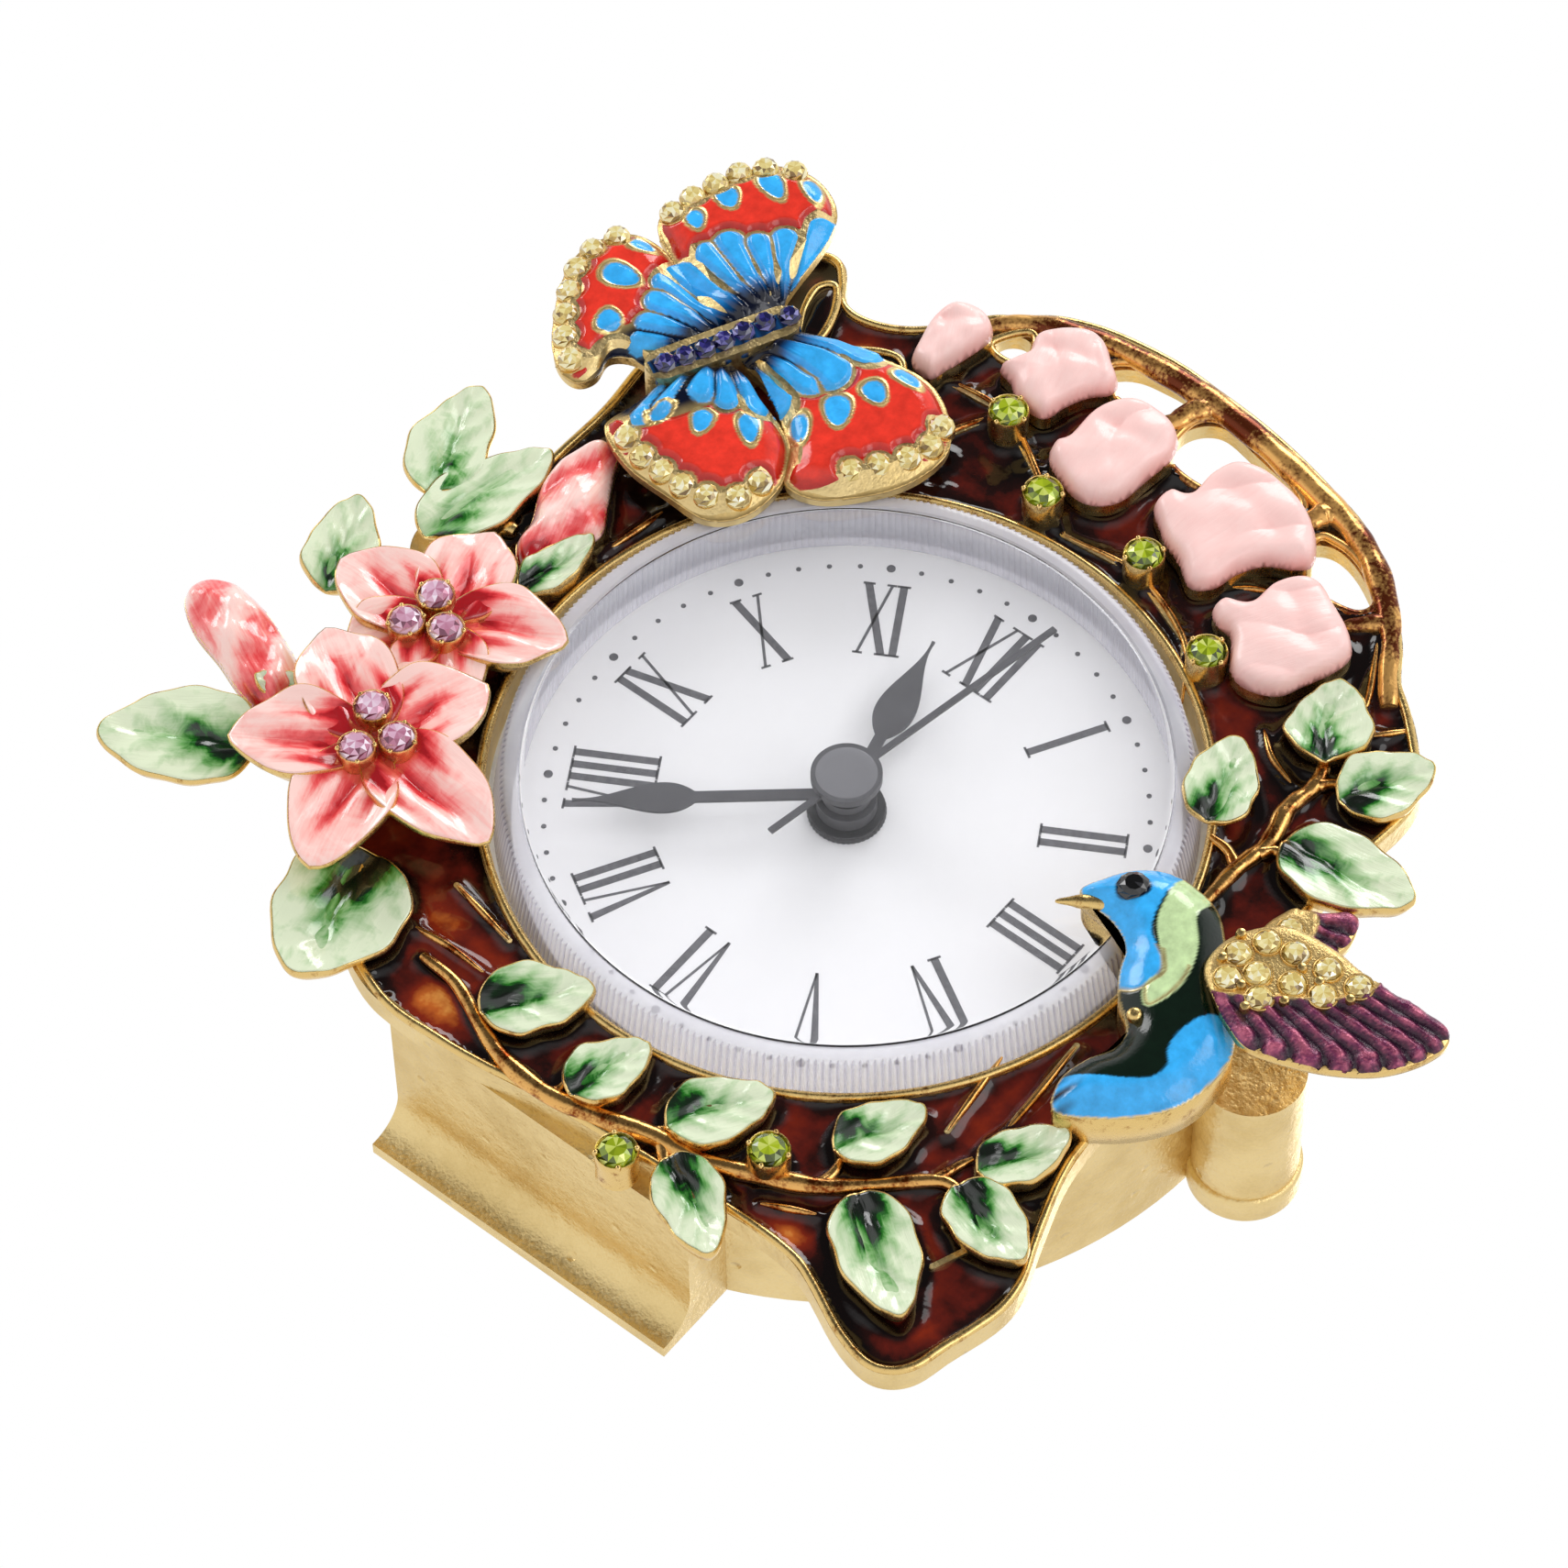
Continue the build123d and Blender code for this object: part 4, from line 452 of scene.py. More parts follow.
bell_enamel = streaked_enamel("bell_enamel", [
    (0.00, rgb(0.98, 0.87, 0.85)), (0.50, rgb(0.97, 0.79, 0.77)), (0.85, rgb(0.95, 0.68, 0.66)),
    (1.00, rgb(0.80, 0.52, 0.40))], streak=0.14, marble=0.20, rough=0.34, coat=0.15, relief=0.10)


def brown_glaze(name, stops, rough=0.07):
    """Dark translucent glaze: near black where its tone is low (on the frame that is mostly painted shade beside walls
    and banks) and amber where the gold shines through.
    """
    material, shader = new_material(name, stops[0][1], rough, 0.0, 0.25)
    shader.inputs["Specular IOR Level"].default_value = 0.3
    # The tone is read here as depth; on the frame it also carries painted shade.
    depth = value_of(material, "tone").outputs["Fac"]
    cloud = board_noise(material, 0.11, 5.0, rough=0.6)
    total = maths(material, "ADD", depth, swing(material, cloud, 1.9), clamp=True)
    link(material, ramp(material, total, stops), shader.inputs["Base Color"])
    bump(material, shader, board_noise(material, 0.35, 2.0), 0.12)
    return material


frame_glaze = brown_glaze("frame_glaze", [
    (0.00, rgb(0.05, 0.02, 0.02)), (0.20, rgb(0.15, 0.05, 0.04)), (0.40, rgb(0.36, 0.10, 0.07)),
    (0.64, rgb(0.50, 0.15, 0.07)), (0.84, rgb(0.74, 0.38, 0.15)), (1.00, rgb(0.93, 0.66, 0.32))])
print("enamels:", leaf_enamel.name, petal_enamel.name, bell_enamel.name, frame_glaze.name)

# %% Cut stones
def stone_finish(name, stops):
    """Foil-backed cut glass: every facet shows its own share of light, under a hard gloss."""
    material, shader = new_material(name, stops[-1][1], 0.06, 0.2, 1.0, 0.02)
    facet = value_of(material, "facet").outputs["Fac"]
    link(material, ramp(material, facet, stops), shader.inputs["Base Color"])
    return material


pale_stone = stone_finish("pale_stone", [
    (0.0, rgb(0.46, 0.34, 0.12)), (0.3, rgb(0.84, 0.72, 0.38)), (0.7, rgb(0.98, 0.92, 0.64)), (1.0, rgb(1, 1, 0.92))])
green_stone = stone_finish("green_stone", [
    (0.0, rgb(0.17, 0.21, 0.0)), (0.35, rgb(0.42, 0.50, 0.02)), (0.7, rgb(0.70, 0.78, 0.14)),
    (1.0, rgb(0.96, 0.98, 0.60))])
pink_stone = stone_finish("pink_stone", [
    (0.0, rgb(0.42, 0.16, 0.28)), (0.35, rgb(0.74, 0.44, 0.56)), (0.7, rgb(0.92, 0.74, 0.84)), (1.0, rgb(1, 0.95, 1))])
dark_stone = stone_finish("dark_stone", [
    (0.0, rgb(0.03, 0.03, 0.12)), (0.5, rgb(0.10, 0.10, 0.32)), (0.8, rgb(0.22, 0.20, 0.52)),
    (1.0, rgb(0.62, 0.60, 0.85))])
black_stone = stone_finish("black_stone", [
    (0.0, rgb(0.01, 0.01, 0.01)), (0.8, rgb(0.05, 0.05, 0.06)), (1.0, rgb(0.3, 0.3, 0.32))])
print("stones:", pale_stone.name, green_stone.name, pink_stone.name, dark_stone.name, black_stone.name)

# %% Clear acrylic and print
def clear_material(name, tint, rough):
    """Clear acrylic. Shadow rays pass straight through, so the dial behind it stays bright."""
    material, shader = new_material(name, tint, rough)
    shader.inputs["Transmission Weight"].default_value = 1.0
    shader.inputs["IOR"].default_value = 1.49
    shadow = node(material, "ShaderNodeLightPath").outputs["Is Shadow Ray"]
    show_mix(material, shadow, shader, node(material, "ShaderNodeBsdfTransparent", Color=(0.97, 0.97, 0.98, 1)))
    bump(material, shader, board_noise(material, 0.05, 1.0), 0.01)
    return material


acrylic = clear_material("acrylic", rgb(0.985, 0.985, 0.995), 0.02)
dial_print = grained("dial_print", rgb(0.36, 0.36, 0.37), 0.6, spots=12, depth=0.004, spread=0.12)
print("clear and print:", acrylic.name, dial_print.name)

# %% Dress the CAD pieces that keep their shape
# Colour, roughness, metal, grains to the mm, their depth in mm, how far the colour wanders, and the nodes.
plain_finishes = {
    "dial_white": (rgb(0.93, 0.93, 0.925), 0.45, 0, 6, 0.003, 0.005, ["dial"]),
    "hand_dark": (rgb(0.27, 0.27, 0.28), 0.42, 0, 4, 0.004, 0.08, ["hour_hand", "minute_hand", "second_hand"]),
    "black_plastic": (rgb(0.10, 0.10, 0.11), 0.5, 0, 5, 0.015, 0.06,
                      ["movement_plate", "movement_case", "set_knob", "battery_cover", "hand_nut"]),
    "cream_plastic": (rgb(0.90, 0.87, 0.78), 0.45, 0, 5, 0.01, 0.03,
                      ["rotor", "fifth_wheel", "seconds_wheel", "third_wheel", "motion_wheel", "hour_wheel"]),
    "wheel_brass": (rgb(0.86, 0.70, 0.36), 0.25, 1, 8, 0.004, 0.08, ["centre_wheel", "cannon_pinion"]),
    "steel": (rgb(0.72, 0.72, 0.73), 0.28, 1, 8, 0.004, 0.04,
              ["frame_screws", "cover_screws", "stator", "battery", "battery_contacts"]),
    "copper": (rgb(0.72, 0.36, 0.18), 0.3, 1, 10, 0.02, 0.08, ["coil"]),
    "board_green": (rgb(0.08, 0.32, 0.16), 0.4, 0, 4, 0.01, 0.08, ["circuit_board"]),
    "rubber": (rgb(0.82, 0.82, 0.82), 0.6, 0, 4, 0.02, 0.03, ["insert_gasket"])}
finishes = {gold_satin: ["rear_housing", "rear_cover", "foot_plate", "front_frame", "butterfly"]}
for name, (*values, names) in plain_finishes.items():
    finishes[grained(name, *values)] = names
for material, names in finishes.items():
    for name in names:
        cad = frame["nodes"][name]
        cad.data.materials.clear()
        cad.data.materials.append(material)
SHARP_EDGE = math.radians(50)
for name in ("foot_plate", "rear_housing", "rear_cover"):
    worn = frame["nodes"][name].modifiers.new("worn_edge", "BEVEL")
    worn.width, worn.segments, worn.limit_method, worn.angle_limit = 0.5 * MM, 3, "ANGLE", SHARP_EDGE
print("dressed", sum(len(names) for names in finishes.values()), "of", len(frame["nodes"]), "nodes")

# %% [markdown]
# ## The cast frame: gold walls and pools of brown glaze
# On the real object thin gold walls stand up from the casting and hot glaze is run between them. It
# climbs a little up every wall, and that curve is what catches the light. So the walls are rounded
# wires and the glaze is a height map: flat in the open and rising where a wall is near.

# %% Outline, windows and ribs of the frame
FRAME_TOP = 4.2   # level of the walls' crest
BORE = 33.05      # radius of the opening for the lens
WALL = 0.9        # thickness of the gold walls
frame_corners = [
    (-18, -43.6), (-11.4, -43.8), (-6.4, -43.4), (-1.4, -42.7), (8, -42), (16, -41.6), (22, -41.3),
    (27, -41.6), (30, -42.7), (34, -44.7), (37, -45.7), (39.3, -45.8), (41.2, -44.8), (42.4, -43),
    (43, -40.5), (44, -37), (44.6, -33.8), (44.2, -30.6), (43, -27.6), (41.9, -24.6), (40.6, -20.6),
    (40, -16.6), (40.2, -8), (41, 0), (41, 10), (40.6, 18), (41.2, 25.4), (41.4, 28.5),
    (40.8, 31.5), (39, 34), (35.2, 37.9), (32.2, 40.4), (30.7, 42.7), (28.2, 45.7), (25.2, 48.6),
    (22.2, 50.9), (19.2, 52.7), (14.2, 54.3), (9.2, 55.6), (4.2, 56.5), (-0.9, 57), (-4.9, 57.3), (-8.9, 57.1),
    (-12.9, 56.5), (-15.9, 55.6), (-18.4, 54.4), (-20.9, 52.4), (-23.1, 50.7), (-25.5, 47.5), (-28.7, 44.6),
    (-32, 43.2), (-34.6, 43.4), (-36.2, 45.3), (-38, 47), (-40, 47), (-41.8, 45), (-43, 40),
    (-45, 33), (-45.5, 26), (-44.8, 19), (-44.8, 10), (-43, 0), (-42.5, -8), (-42, -16),
    (-40, -22), (-37, -28), (-32, -35), (-26, -40)]
window_corners = [
    [(-20.6, 48.2), (-18.4, 47.7), (-17.6, 49.3), (-18.8, 51)],
    [(-10.5, 53), (-8.5, 54.6), (-5, 55.2), (-3, 55), (-2.5, 53.5), (-3.5, 51.2), (-7.5, 50.6),
     (-9.6, 51.1)],
    [(-0.3, 49.3), (-0.2, 52.6), (1.5, 54), (4.5, 53.8), (9, 52.8), (12.6, 51.2), (13, 50), (11, 48.6),
     (5, 47.2), (1, 47.6)],
    [(16.8, 48.6), (18, 49.2), (20.3, 49), (23.2, 47.6), (24.8, 45.9), (24, 44.4), (20.5, 44),
     (17.5, 45)]]
rib_corners = [
    [(-24.2, 41.8), (-15, 42.4), (-6, 37.2), (-2, 34.5)], [(-15, 42.4), (-17.8, 36.5), (-16.5, 30)],
    [(18, 26.2), (14, 31.8), (6, 35.2), (-2, 34.5)], [(28.6, -14), (29.6, -23)],
    [(33, -9), (33.4, -15), (33.6, -21)], [(-20.5, -30), (-13, -31.6)], [(33, 0), (33.4, 10)],
    [(-34, 6), (-32.2, 15)], [(36, 36.6), (33, 33)],
    [(-22.5, -36), (-17, -35.4), (-12.5, -35.6)], [(9, -33.6), (12, -31.9), (14.5, -31.2)],
    [(13, 38.6), (15.4, 40.4), (17.2, 41.2)], [(25.6, 28.4), (28, 26.4), (31, 25.2)],
    [(27.6, 43.2), (29.6, 39.6), (31.2, 36.4), (31.6, 34)],
    [(-41, 16), (-39, 12), (-38.5, 8)], [(21.5, -38.8), (26, -36.6)], [(-31.5, 14.6), (-33.5, 22)]]


def shifted(line, distance):
    """Every place of a closed line moved outwards along its own normal; a negative distance moves it in."""
    ahead = np.roll(line, -1, 0) - np.roll(line, 1, 0)
    normal = np.stack([ahead[:, 1], -ahead[:, 0]], -1)
    return line + distance * normal / np.linalg.norm(normal, axis=1, keepdims=True)


def at_level(line, level):
    """A flat line lifted to a level, which may change along it."""
    return np.column_stack([line, np.broadcast_to(level, len(line))])


edge_line = shifted(outline(frame_corners, 760), -WALL / 2)
window_lines = [shifted(outline(corners, 120), WALL / 2) for corners in window_corners]
fine_circle = unit(full_turn(420))
bore_line = BORE * fine_circle
RIB_PLACES = 30
rib_lines = [smooth_line(corners, RIB_PLACES) for corners in rib_corners]
print(len(window_lines), "windows,", len(rib_lines), "ribs")

# %% Walls as rounded wires
wall_level = FRAME_TOP - 0.05
walls = [wire(at_level(line, wall_level), WALL, WALL, loop=True) for line in (edge_line, window_lines[0])]
walls.append(wire(at_level(bore_line, wall_level), WALL, WALL * 1.1, loop=True))
window_walls = [wire(at_level(line, wall_level - 0.2), WALL, WALL, loop=True) for line in window_lines[1:]]
taper = np.sin(np.linspace(0.12, math.pi - 0.12, RIB_PLACES)) ** 0.6
ribs = [wire(at_level(line, FRAME_TOP - 0.12), 0.75 * taper, 0.85 * taper) for line in rib_lines]
piece("frame_walls", walls, *GILT)
piece("window_walls", window_walls, arch_amber, "gold_casting")
piece("frame_ribs", ribs, gold_amber, "gold_casting")

# %% Inside a line and nearest to places
def crossings(points, line):
    """Even-odd rule: a point is inside when a ray from it crosses the closed line an odd number of times."""
    start, end = line, np.roll(line, -1, 0)
    x, y = points[:, :1], points[:, 1:2]
    spans = (start[:, 1] > y) != (end[:, 1] > y)
    rise = np.where(end[:, 1] == start[:, 1], 1.0, end[:, 1] - start[:, 1])
    reach = (end[:, 0] - start[:, 0]) * (y - start[:, 1]) / rise + start[:, 0]
    return (np.sum(spans & (x < reach), axis=1) % 2).astype(bool)


def within(points, line):
    """Which points lie inside a closed line, a few thousand at a time."""
    return np.concatenate([crossings(part, line) for part in np.array_split(points, 60)])


def nearest(points, places):
    """Distance from every point to the nearest of the places, a part of the points at a time."""
    return np.concatenate([
        np.sqrt(((part[:, None] - places[None]) ** 2).sum(-1).min(1)) for part in np.array_split(points, 300)])


banks = []   # outlines of everything that stands up out of the glaze
print("the dial's middle lies inside the frame:", within(np.zeros((1, 2)), edge_line)[0])

# %% [markdown]
# ## Bars of the arch and branches
# Where the frame is pierced only thin bars are left. Glaze runs off them, so the gold shows through
# as amber. The branches are rounded in the same way and thin out towards their ends.

# %% Bars and branches
def tapered(corners, count, level, thickest, thinnest, start_thin=True):
    """A knotted wire, thickest in its middle or at its start, that thins out to its end."""
    line = smooth_line(corners, count)
    banks.append(line)
    way = np.linspace(0, 1, count)
    bulge = np.sin(way * math.pi) ** 0.7 if start_thin else (1 - way) ** 0.7
    knots = 1 + 0.07 * np.sin(way * count * 0.23 + count) + 0.05 * np.sin(way * count * 0.61)
    width = (thinnest + (thickest - thinnest) * bulge) * knots
    wave = 0.08 * np.sin(way * count * 0.17 + len(corners))
    return wire(at_level(line, level + wave), width, width * 0.8, sides=18)


branch_level = FRAME_TOP + 0.35


def twigs(rows):
    """Short twigs, thickest where they leave the branch; a row is both thicknesses and the corners."""
    return [tapered(corners, 20, branch_level, thickest, thinnest, False) for thickest, thinnest, *corners in rows]


# Bars of the pierced arch, the longest along its top.
arch = [
    tapered([(-25, 45.8), (-22, 50.2), (-19, 52.6), (-15.5, 53.9), (-11, 55.1), (-5, 55.65), (0, 55.35),
             (5, 54.75), (10, 53.8), (15, 52.6), (19, 51.4), (22.5, 49.5), (26, 46.6), (29, 43.2),
             (31, 40), (33, 37.4)], 140, FRAME_TOP - 0.1, 2.7, 1.6),
    tapered([(-3, 49.6), (-1.8, 51.4), (-1.2, 53.4), (0.2, 55), (2.4, 55.4)], 40, FRAME_TOP, 2.3, 1.5),
    tapered([(14.2, 48.4), (15, 50), (15.6, 51.4), (17, 52)], 40, FRAME_TOP, 2.3, 1.5),
    tapered([(-15.6, 49.5), (-14.6, 52), (-12.6, 54.4), (-9.6, 55.6)], 40, FRAME_TOP - 0.1, 2.1, 1.3),
    tapered([(24.4, 42.2), (26.6, 44.4), (28, 45.2)], 30, FRAME_TOP, 1.8, 1.1)]
piece("arch_bars", arch, arch_amber, "gold_casting")
vine = [
    tapered([(-17.8, -37.8), (-13.5, -38.2), (-9, -40.2), (-5, -41.6), (0, -42), (5, -41), (10, -39.5),
             (15, -38.8), (20, -36.8), (24.5, -34.5), (28, -31.5), (32, -27.8), (34.5, -27.2)], 120,
            branch_level, 1.9, 0.8), *twigs([
                (1.2, 0.6, (24.5, -34.5), (24.6, -32.6), (24.3, -31)),
                (1.3, 0.6, (11, -39.4), (12.8, -41.2), (14.2, -42.8)),
                (1, 0.5, (9.4, -39.6), (10.6, -38), (11, -36.6)),
                (1, 0.5, (0, -42), (0.6, -40.6), (0.4, -39.2)),
                (1.1, 0.5, (32, -27.8), (32.6, -25.4), (33.2, -24))])]
piece("vine_stem", vine, gold_amber, "gold_casting", replaces=["vine_branch"])
right = [
    tapered([(32.8, 8.5), (32.9, 14.5), (33.4, 18.5), (32.6, 22.5), (33, 26), (32.2, 29)], 80, branch_level,
            1.8, 1), *twigs([
                (1.3, 0.7, (32.9, 14.5), (31, 15.6), (29, 15.8)),
                (1.3, 0.7, (33.4, 17), (34.4, 18.2), (35.6, 18)),
                (1.3, 0.7, (33, 26), (34.2, 27.4), (35.4, 27.8))])]
piece("right_stem", right, gold_amber, "gold_casting", replaces=["right_branch"])

# %% [markdown]
# ## Leaves
# A leaf is a cast gold dish with enamel in it. Its outline comes from a formula: as an angle runs once
# round, the way along the leaf is its cosine and the width its sine, fuller towards the base. The
# enamel is deep and nearly black along the sunken rib and thin and pale at the raised edge. On the
# leaves beside the flowers, left of the dial, that dark part is painted shade.

# %% The leaf
def leaf_line(middle, length, width, turn, seed):
    """Edge of a leaf: cosine along, sine across, fuller near the base and with a slight wave."""
    angle = full_turn(72)
    along = -np.cos(angle)
    across = np.sin(angle) * np.abs(np.sin(angle)) ** 0.12 * (1.0 - 0.28 * along)
    swell = 1 + 0.03 * np.sin(5 * angle + seed) + 0.03 * np.sin(9 * angle + 2 * seed)
    flat = np.stack([along * length / 2, across * width / 2 * swell], -1)
    return np.asarray(middle) + swung(flat, turn)


LEAF_LOW, LEAF_HIGH = FRAME_TOP - 0.2, FRAME_TOP + 1.9


def leaf(x, y, length, width, turn, shade, side, seed, high=LEAF_HIGH, low=LEAF_LOW):
    """A gold dish and the enamel in it. Shade is how dark the rib is, side which way the dark part lies."""
    middle = (x, y)
    edge = leaf_line(middle, length, width, turn, seed)
    banks.append(edge)

    def relief(points):
        along, across = along_across(points, middle, turn, length / 2, width / 2)
        crease = across - 0.16 * np.sin(along * 2.2 + seed)
        rib = -0.60 * np.exp(-((crease / 0.17) ** 2)) * np.clip(1.0 - along, 0, 1)
        vein = 0.09 * np.cos((along - 0.9 * np.abs(across)) * 11 + seed) * np.clip(1 - across ** 2, 0, 1)
        lump = 0.14 * np.sin(along * 5.3 + seed * 4) * np.sin(across * 4.1 - seed)
        bend = 0.45 * across * np.sin(seed * 3) + 0.6 * np.clip(along - 0.35, 0, 1)
        bend = bend - 0.45 * np.clip(-along - 0.5, 0, 1)
        bowl = 0.35 * np.clip(along ** 2 + across ** 2, 0, 1) - 0.25
        return (rib + vein + lump + bend + bowl) * np.clip((points[:, 2] - low) / (high - low), 0, 1) ** 2

    dish = dome(edge, [(0, 0.80, low), (0, 0.90, low + 0.4), (0, 0.975, high - 0.9), (0, 1, high - 0.5),
                       (0.05, 1, high - 0.2), (0.16, 1, high - 0.06), (0.28, 1, high - 0.10), (0.34, 1, high - 0.4),
                       (0.34, 0.5, high - 0.5)], relief=relief)
    pool = dome(edge, [(0.20, 1, high - 0.4), (0.22, 1, high - 0.10), (0.32, 1, high + 0.04), (0.55, 1, high + 0.06),
                       (0.8, 0.94, high + 0.05), *[(0.8, share, high + 0.04) for share in np.linspace(0.86, 0.05, 12)]],
                relief=relief)
    along, across = along_across(pool[0], middle, turn, length / 2, width / 2)
    bent = across - side * soft_step(1 - (along + 1) / 1.6) - 0.16 * np.sin(along * 2.2 + seed)
    # Dark along the rib near the base; on the left leaves beside the flowers this dark is painted shade.
    dark = soft_step(1.25 - (along + 1) * 0.72) * np.exp(-((bent / (0.50 - 0.16 * along)) ** 2))
    vein_tone = 0.10 * np.cos((along - 0.9 * np.abs(across)) * 11 + seed)
    tone = 0.98 - (0.98 - shade) * dark - vein_tone + 0.10 * np.abs(across)
    return dish, (*pool, shading(along, across, seed, tone))


def leaves(name, rows, replaces):
    """All leaves of a table as two pieces, the gold dishes and the enamel in them."""
    made = [leaf(*row) for row in rows]
    piece(name + "_gold", [dish for dish, pool in made], *GILT)
    piece(name + "_enamel", [pool for dish, pool in made], leaf_enamel, "leaf_enamel", replaces=replaces)


print("leaves stand from", LEAF_LOW, "to", LEAF_HIGH, "mm")

# %% Leaves of the frame and their stems
# A row is x, y, length, width, turn in degrees, shade, side, seed and, where they differ, the two levels.
leaves("vine_leaf", [
    (-6.5, -35.4, 10.5, 7.0, 45, -0.05, 0.35, 0.3), (3.1, -37.1, 8.6, 6.2, 70, 0, 0.1, 1.1),
    (13.4, -34.3, 10, 7, 55, 0.1, 0.45, 2.0), (25.6, -27.3, 9, 5.8, 65, 0.1, 0.5, 2.9),
    (36.8, -21.4, 9, 6, 65, -0.1, 0.5, 3.7), (38.7, -28.8, 10, 6.4, -15, -0.1, 0.2, 4.4),
    (33.3, -37.2, 13.5, 7.5, -35, -0.1, 0.15, 5.2), (17.6, -43.3, 11.2, 6.2, -33, -0.1, 0.2, 0.8)],
    ["vine_leaves"])
leaves("right_leaf", [
    (30.5, 31.8, 8.6, 7.8, 115, 0.1, 0, 1.6, LEAF_HIGH + 0.4), (38.3, 29.6, 9.5, 7, 60, -0.1, -0.4, 2.3),
    (41.3, 19.6, 13.5, 8.5, 8, 0.05, -0.3, 3.4), (27.6, 19.3, 9.6, 6.6, 110, 0, 0.3, 4.9, 8.6, 7.35)],
    ["right_leaves"])
# These leaves sit beside the flowers and buds; their dark part is painted shade on the side towards them.
leaves("left_leaf", [
    (-52.4, 7, 13, 7.5, 105, 0.35, -0.3, 0.5), (-46, 4.2, 15, 8, 75, 0.3, -0.4, 1.4),
    (-52.4, -8.5, 11, 6.8, 115, 0.3, -0.2, 2.6), (-49.9, -34, 15, 10, 218, 0, 0.2, 3.8),
    (-26.2, -39.8, 15, 12, 280, -0.05, 0.1, 5.6)], ["left_leaves"])
stems = [tapered(corners, 24, FRAME_TOP + 0.5, 2.2, 1.4) for corners in (
    [(-41.5, 3), (-44.5, 2.6), (-47.5, 2)], [(-41.5, -11.5), (-46, -12), (-50, -11.5)],
    [(-36.5, -27), (-41, -29.5), (-45, -30.5)], [(-27, -34), (-26.6, -36), (-26.2, -38)])]
piece("left_stems", stems, *GILT)

# %% [markdown]
# ## Flowers
# Each petal is again a gold dish with enamel in it, but pointed, wider past its middle and with its
# edges raised and curled. The enamel is red where it is deep, along the rib and in the throat, and
# nearly white at the edges, so the tone falls from the rib to the edge.

# %% The petal
def petal_line(root, length, width, turn, seed):
    """Edge of a petal from its root: narrow there, widest past the middle, with a pointed tip."""
    way = np.linspace(0, 1, 40)
    half = 0.20 * (1 - way) ** 2 + np.sin(np.pi * way ** 0.98) ** 0.66 * (1 + 0.04 * np.sin(way * 11 + seed))
    side = np.stack([way * length, half * width / 2], -1)
    flat = np.vstack([side * [1, -1], side[-2:0:-1]])
    return np.asarray(root) + swung(flat, turn)


def petal(root, length, width, turn, low, high, seed):
    """A gold dish with enamel. The edges curl up by the square of the way across, the tip bends down."""
    edge = petal_line(root, length, width, turn, seed)
    middle = np.asarray(root) + 0.5 * length * heading(turn)

    def relief(points):
        along, across = along_across(points, middle, turn, length / 2, width / 2)
        wide = np.clip(np.abs(across), 0, 1)
        cupped = 1.1 * (wide ** 2 - 0.5) * np.clip(1.3 + along, 0, 1)
        crease = np.abs(across - 0.12 * np.sin(along * 2.5 + seed))
        rib = -0.55 * np.exp(-((crease / 0.13) ** 1.5)) * np.clip(1 - along, 0, 1)
        ridge = 0.30 * np.exp(-(((crease - 0.42) / 0.18) ** 2)) * np.clip(1.1 - along, 0, 1)
        fold = 0.16 * np.sin(across * 7 + seed * 2 + along * 2) + 0.10 * np.sin(along * 6 + seed)
        tip = -0.8 * np.clip(along - 0.55, 0, 1) - 0.5 * np.clip(-along - 0.4, 0, 1)
        return (cupped + rib + ridge + fold + tip) * np.clip((points[:, 2] - low) / (high - low), 0, 1) ** 2

    under = low + 0.35 * (high - low)
    dish = dome(edge, [(0, 0.50, low), (0, 0.72, under), (0, 0.95, high - 0.95), (0, 1, high - 0.55),
                       (0.04, 1, high - 0.2), (0.12, 1, high - 0.05), (0.22, 1, high - 0.10), (0.28, 1, high - 0.35),
                       (0.28, 0.5, high - 0.5)], middle, relief)
    shares = np.linspace(0.95, 0.05, 15)
    pool = dome(edge, [(0.15, 1, high - 0.35), (0.17, 1, high - 0.06), (0.27, 1, high + 0.08), (0.5, 1, high + 0.12),
                       *[(0.55, share, high + 0.04 + 0.08 * share) for share in shares]], middle, relief)
    along, across = along_across(pool[0], middle, turn, length / 2, width / 2)
    crease = np.abs(across - 0.12 * np.sin(along * 2.5 + seed))
    rib = 0.78 * np.exp(-((crease / (0.24 - 0.10 * along)) ** 2)) * soft_step((0.85 - along) / 0.9)
    throat = 0.92 * soft_step((0.02 - along) / 0.80)
    side = 0.62 * np.exp(-(((crease - 0.56) / 0.13) ** 2)) * soft_step((0.50 - along) / 0.8)
    pale = 0.30 * soft_step((np.abs(across) - 0.72) / 0.2)
    tone = 0.06 + np.maximum(rib, throat) + side - pale
    return dish, (*pool, shading(along, across, seed, tone))


print("a petal has", len(petal((0, 0), 12, 9, 0, 5, 8.5, 0)[0][1]), "triangles in its dish")

# %% The two flowers
def flower(name, root, rows, width, low, high, node_name):
    """Petals from rows of length and turn, every other one a little higher, round a heart on a post."""
    made = [petal(root, length, width, turn, low, high + 0.22 * (number % 2), 1.7 * number)
            for number, (length, turn) in enumerate(rows)]
    heart = dome(np.asarray(root) + 3.3 * fine_circle[::12],
                 [(0, 0.8, low), (0, 1, high - 0.9), (0.5, 1, high - 0.62), (0.9, 0.9, high - 0.55),
                  (0.9, 0.5, high - 0.4)])
    heart_tone = {"tone": np.full(len(heart[0]), 0.95), "place": np.zeros((len(heart[0]), 3))}
    post = turned(root, [3.6, 3.1, 3.0, 3.0], [FRAME_TOP - 0.3, FRAME_TOP + 0.3, low, high - 0.7])
    banks.append(np.asarray(root) + 3.4 * fine_circle[::12])
    piece(name + "_gold", [dish for dish, pool in made], *GILT)
    piece(name + "_post", [(*post, {"tone": np.full(len(post[0]), 0.08)})], frame_glaze, "brown_enamel")
    piece(name + "_petals", [pool for dish, pool in made] + [(*heart, heart_tone)], petal_enamel, "petal_enamel",
          replaces=[node_name])


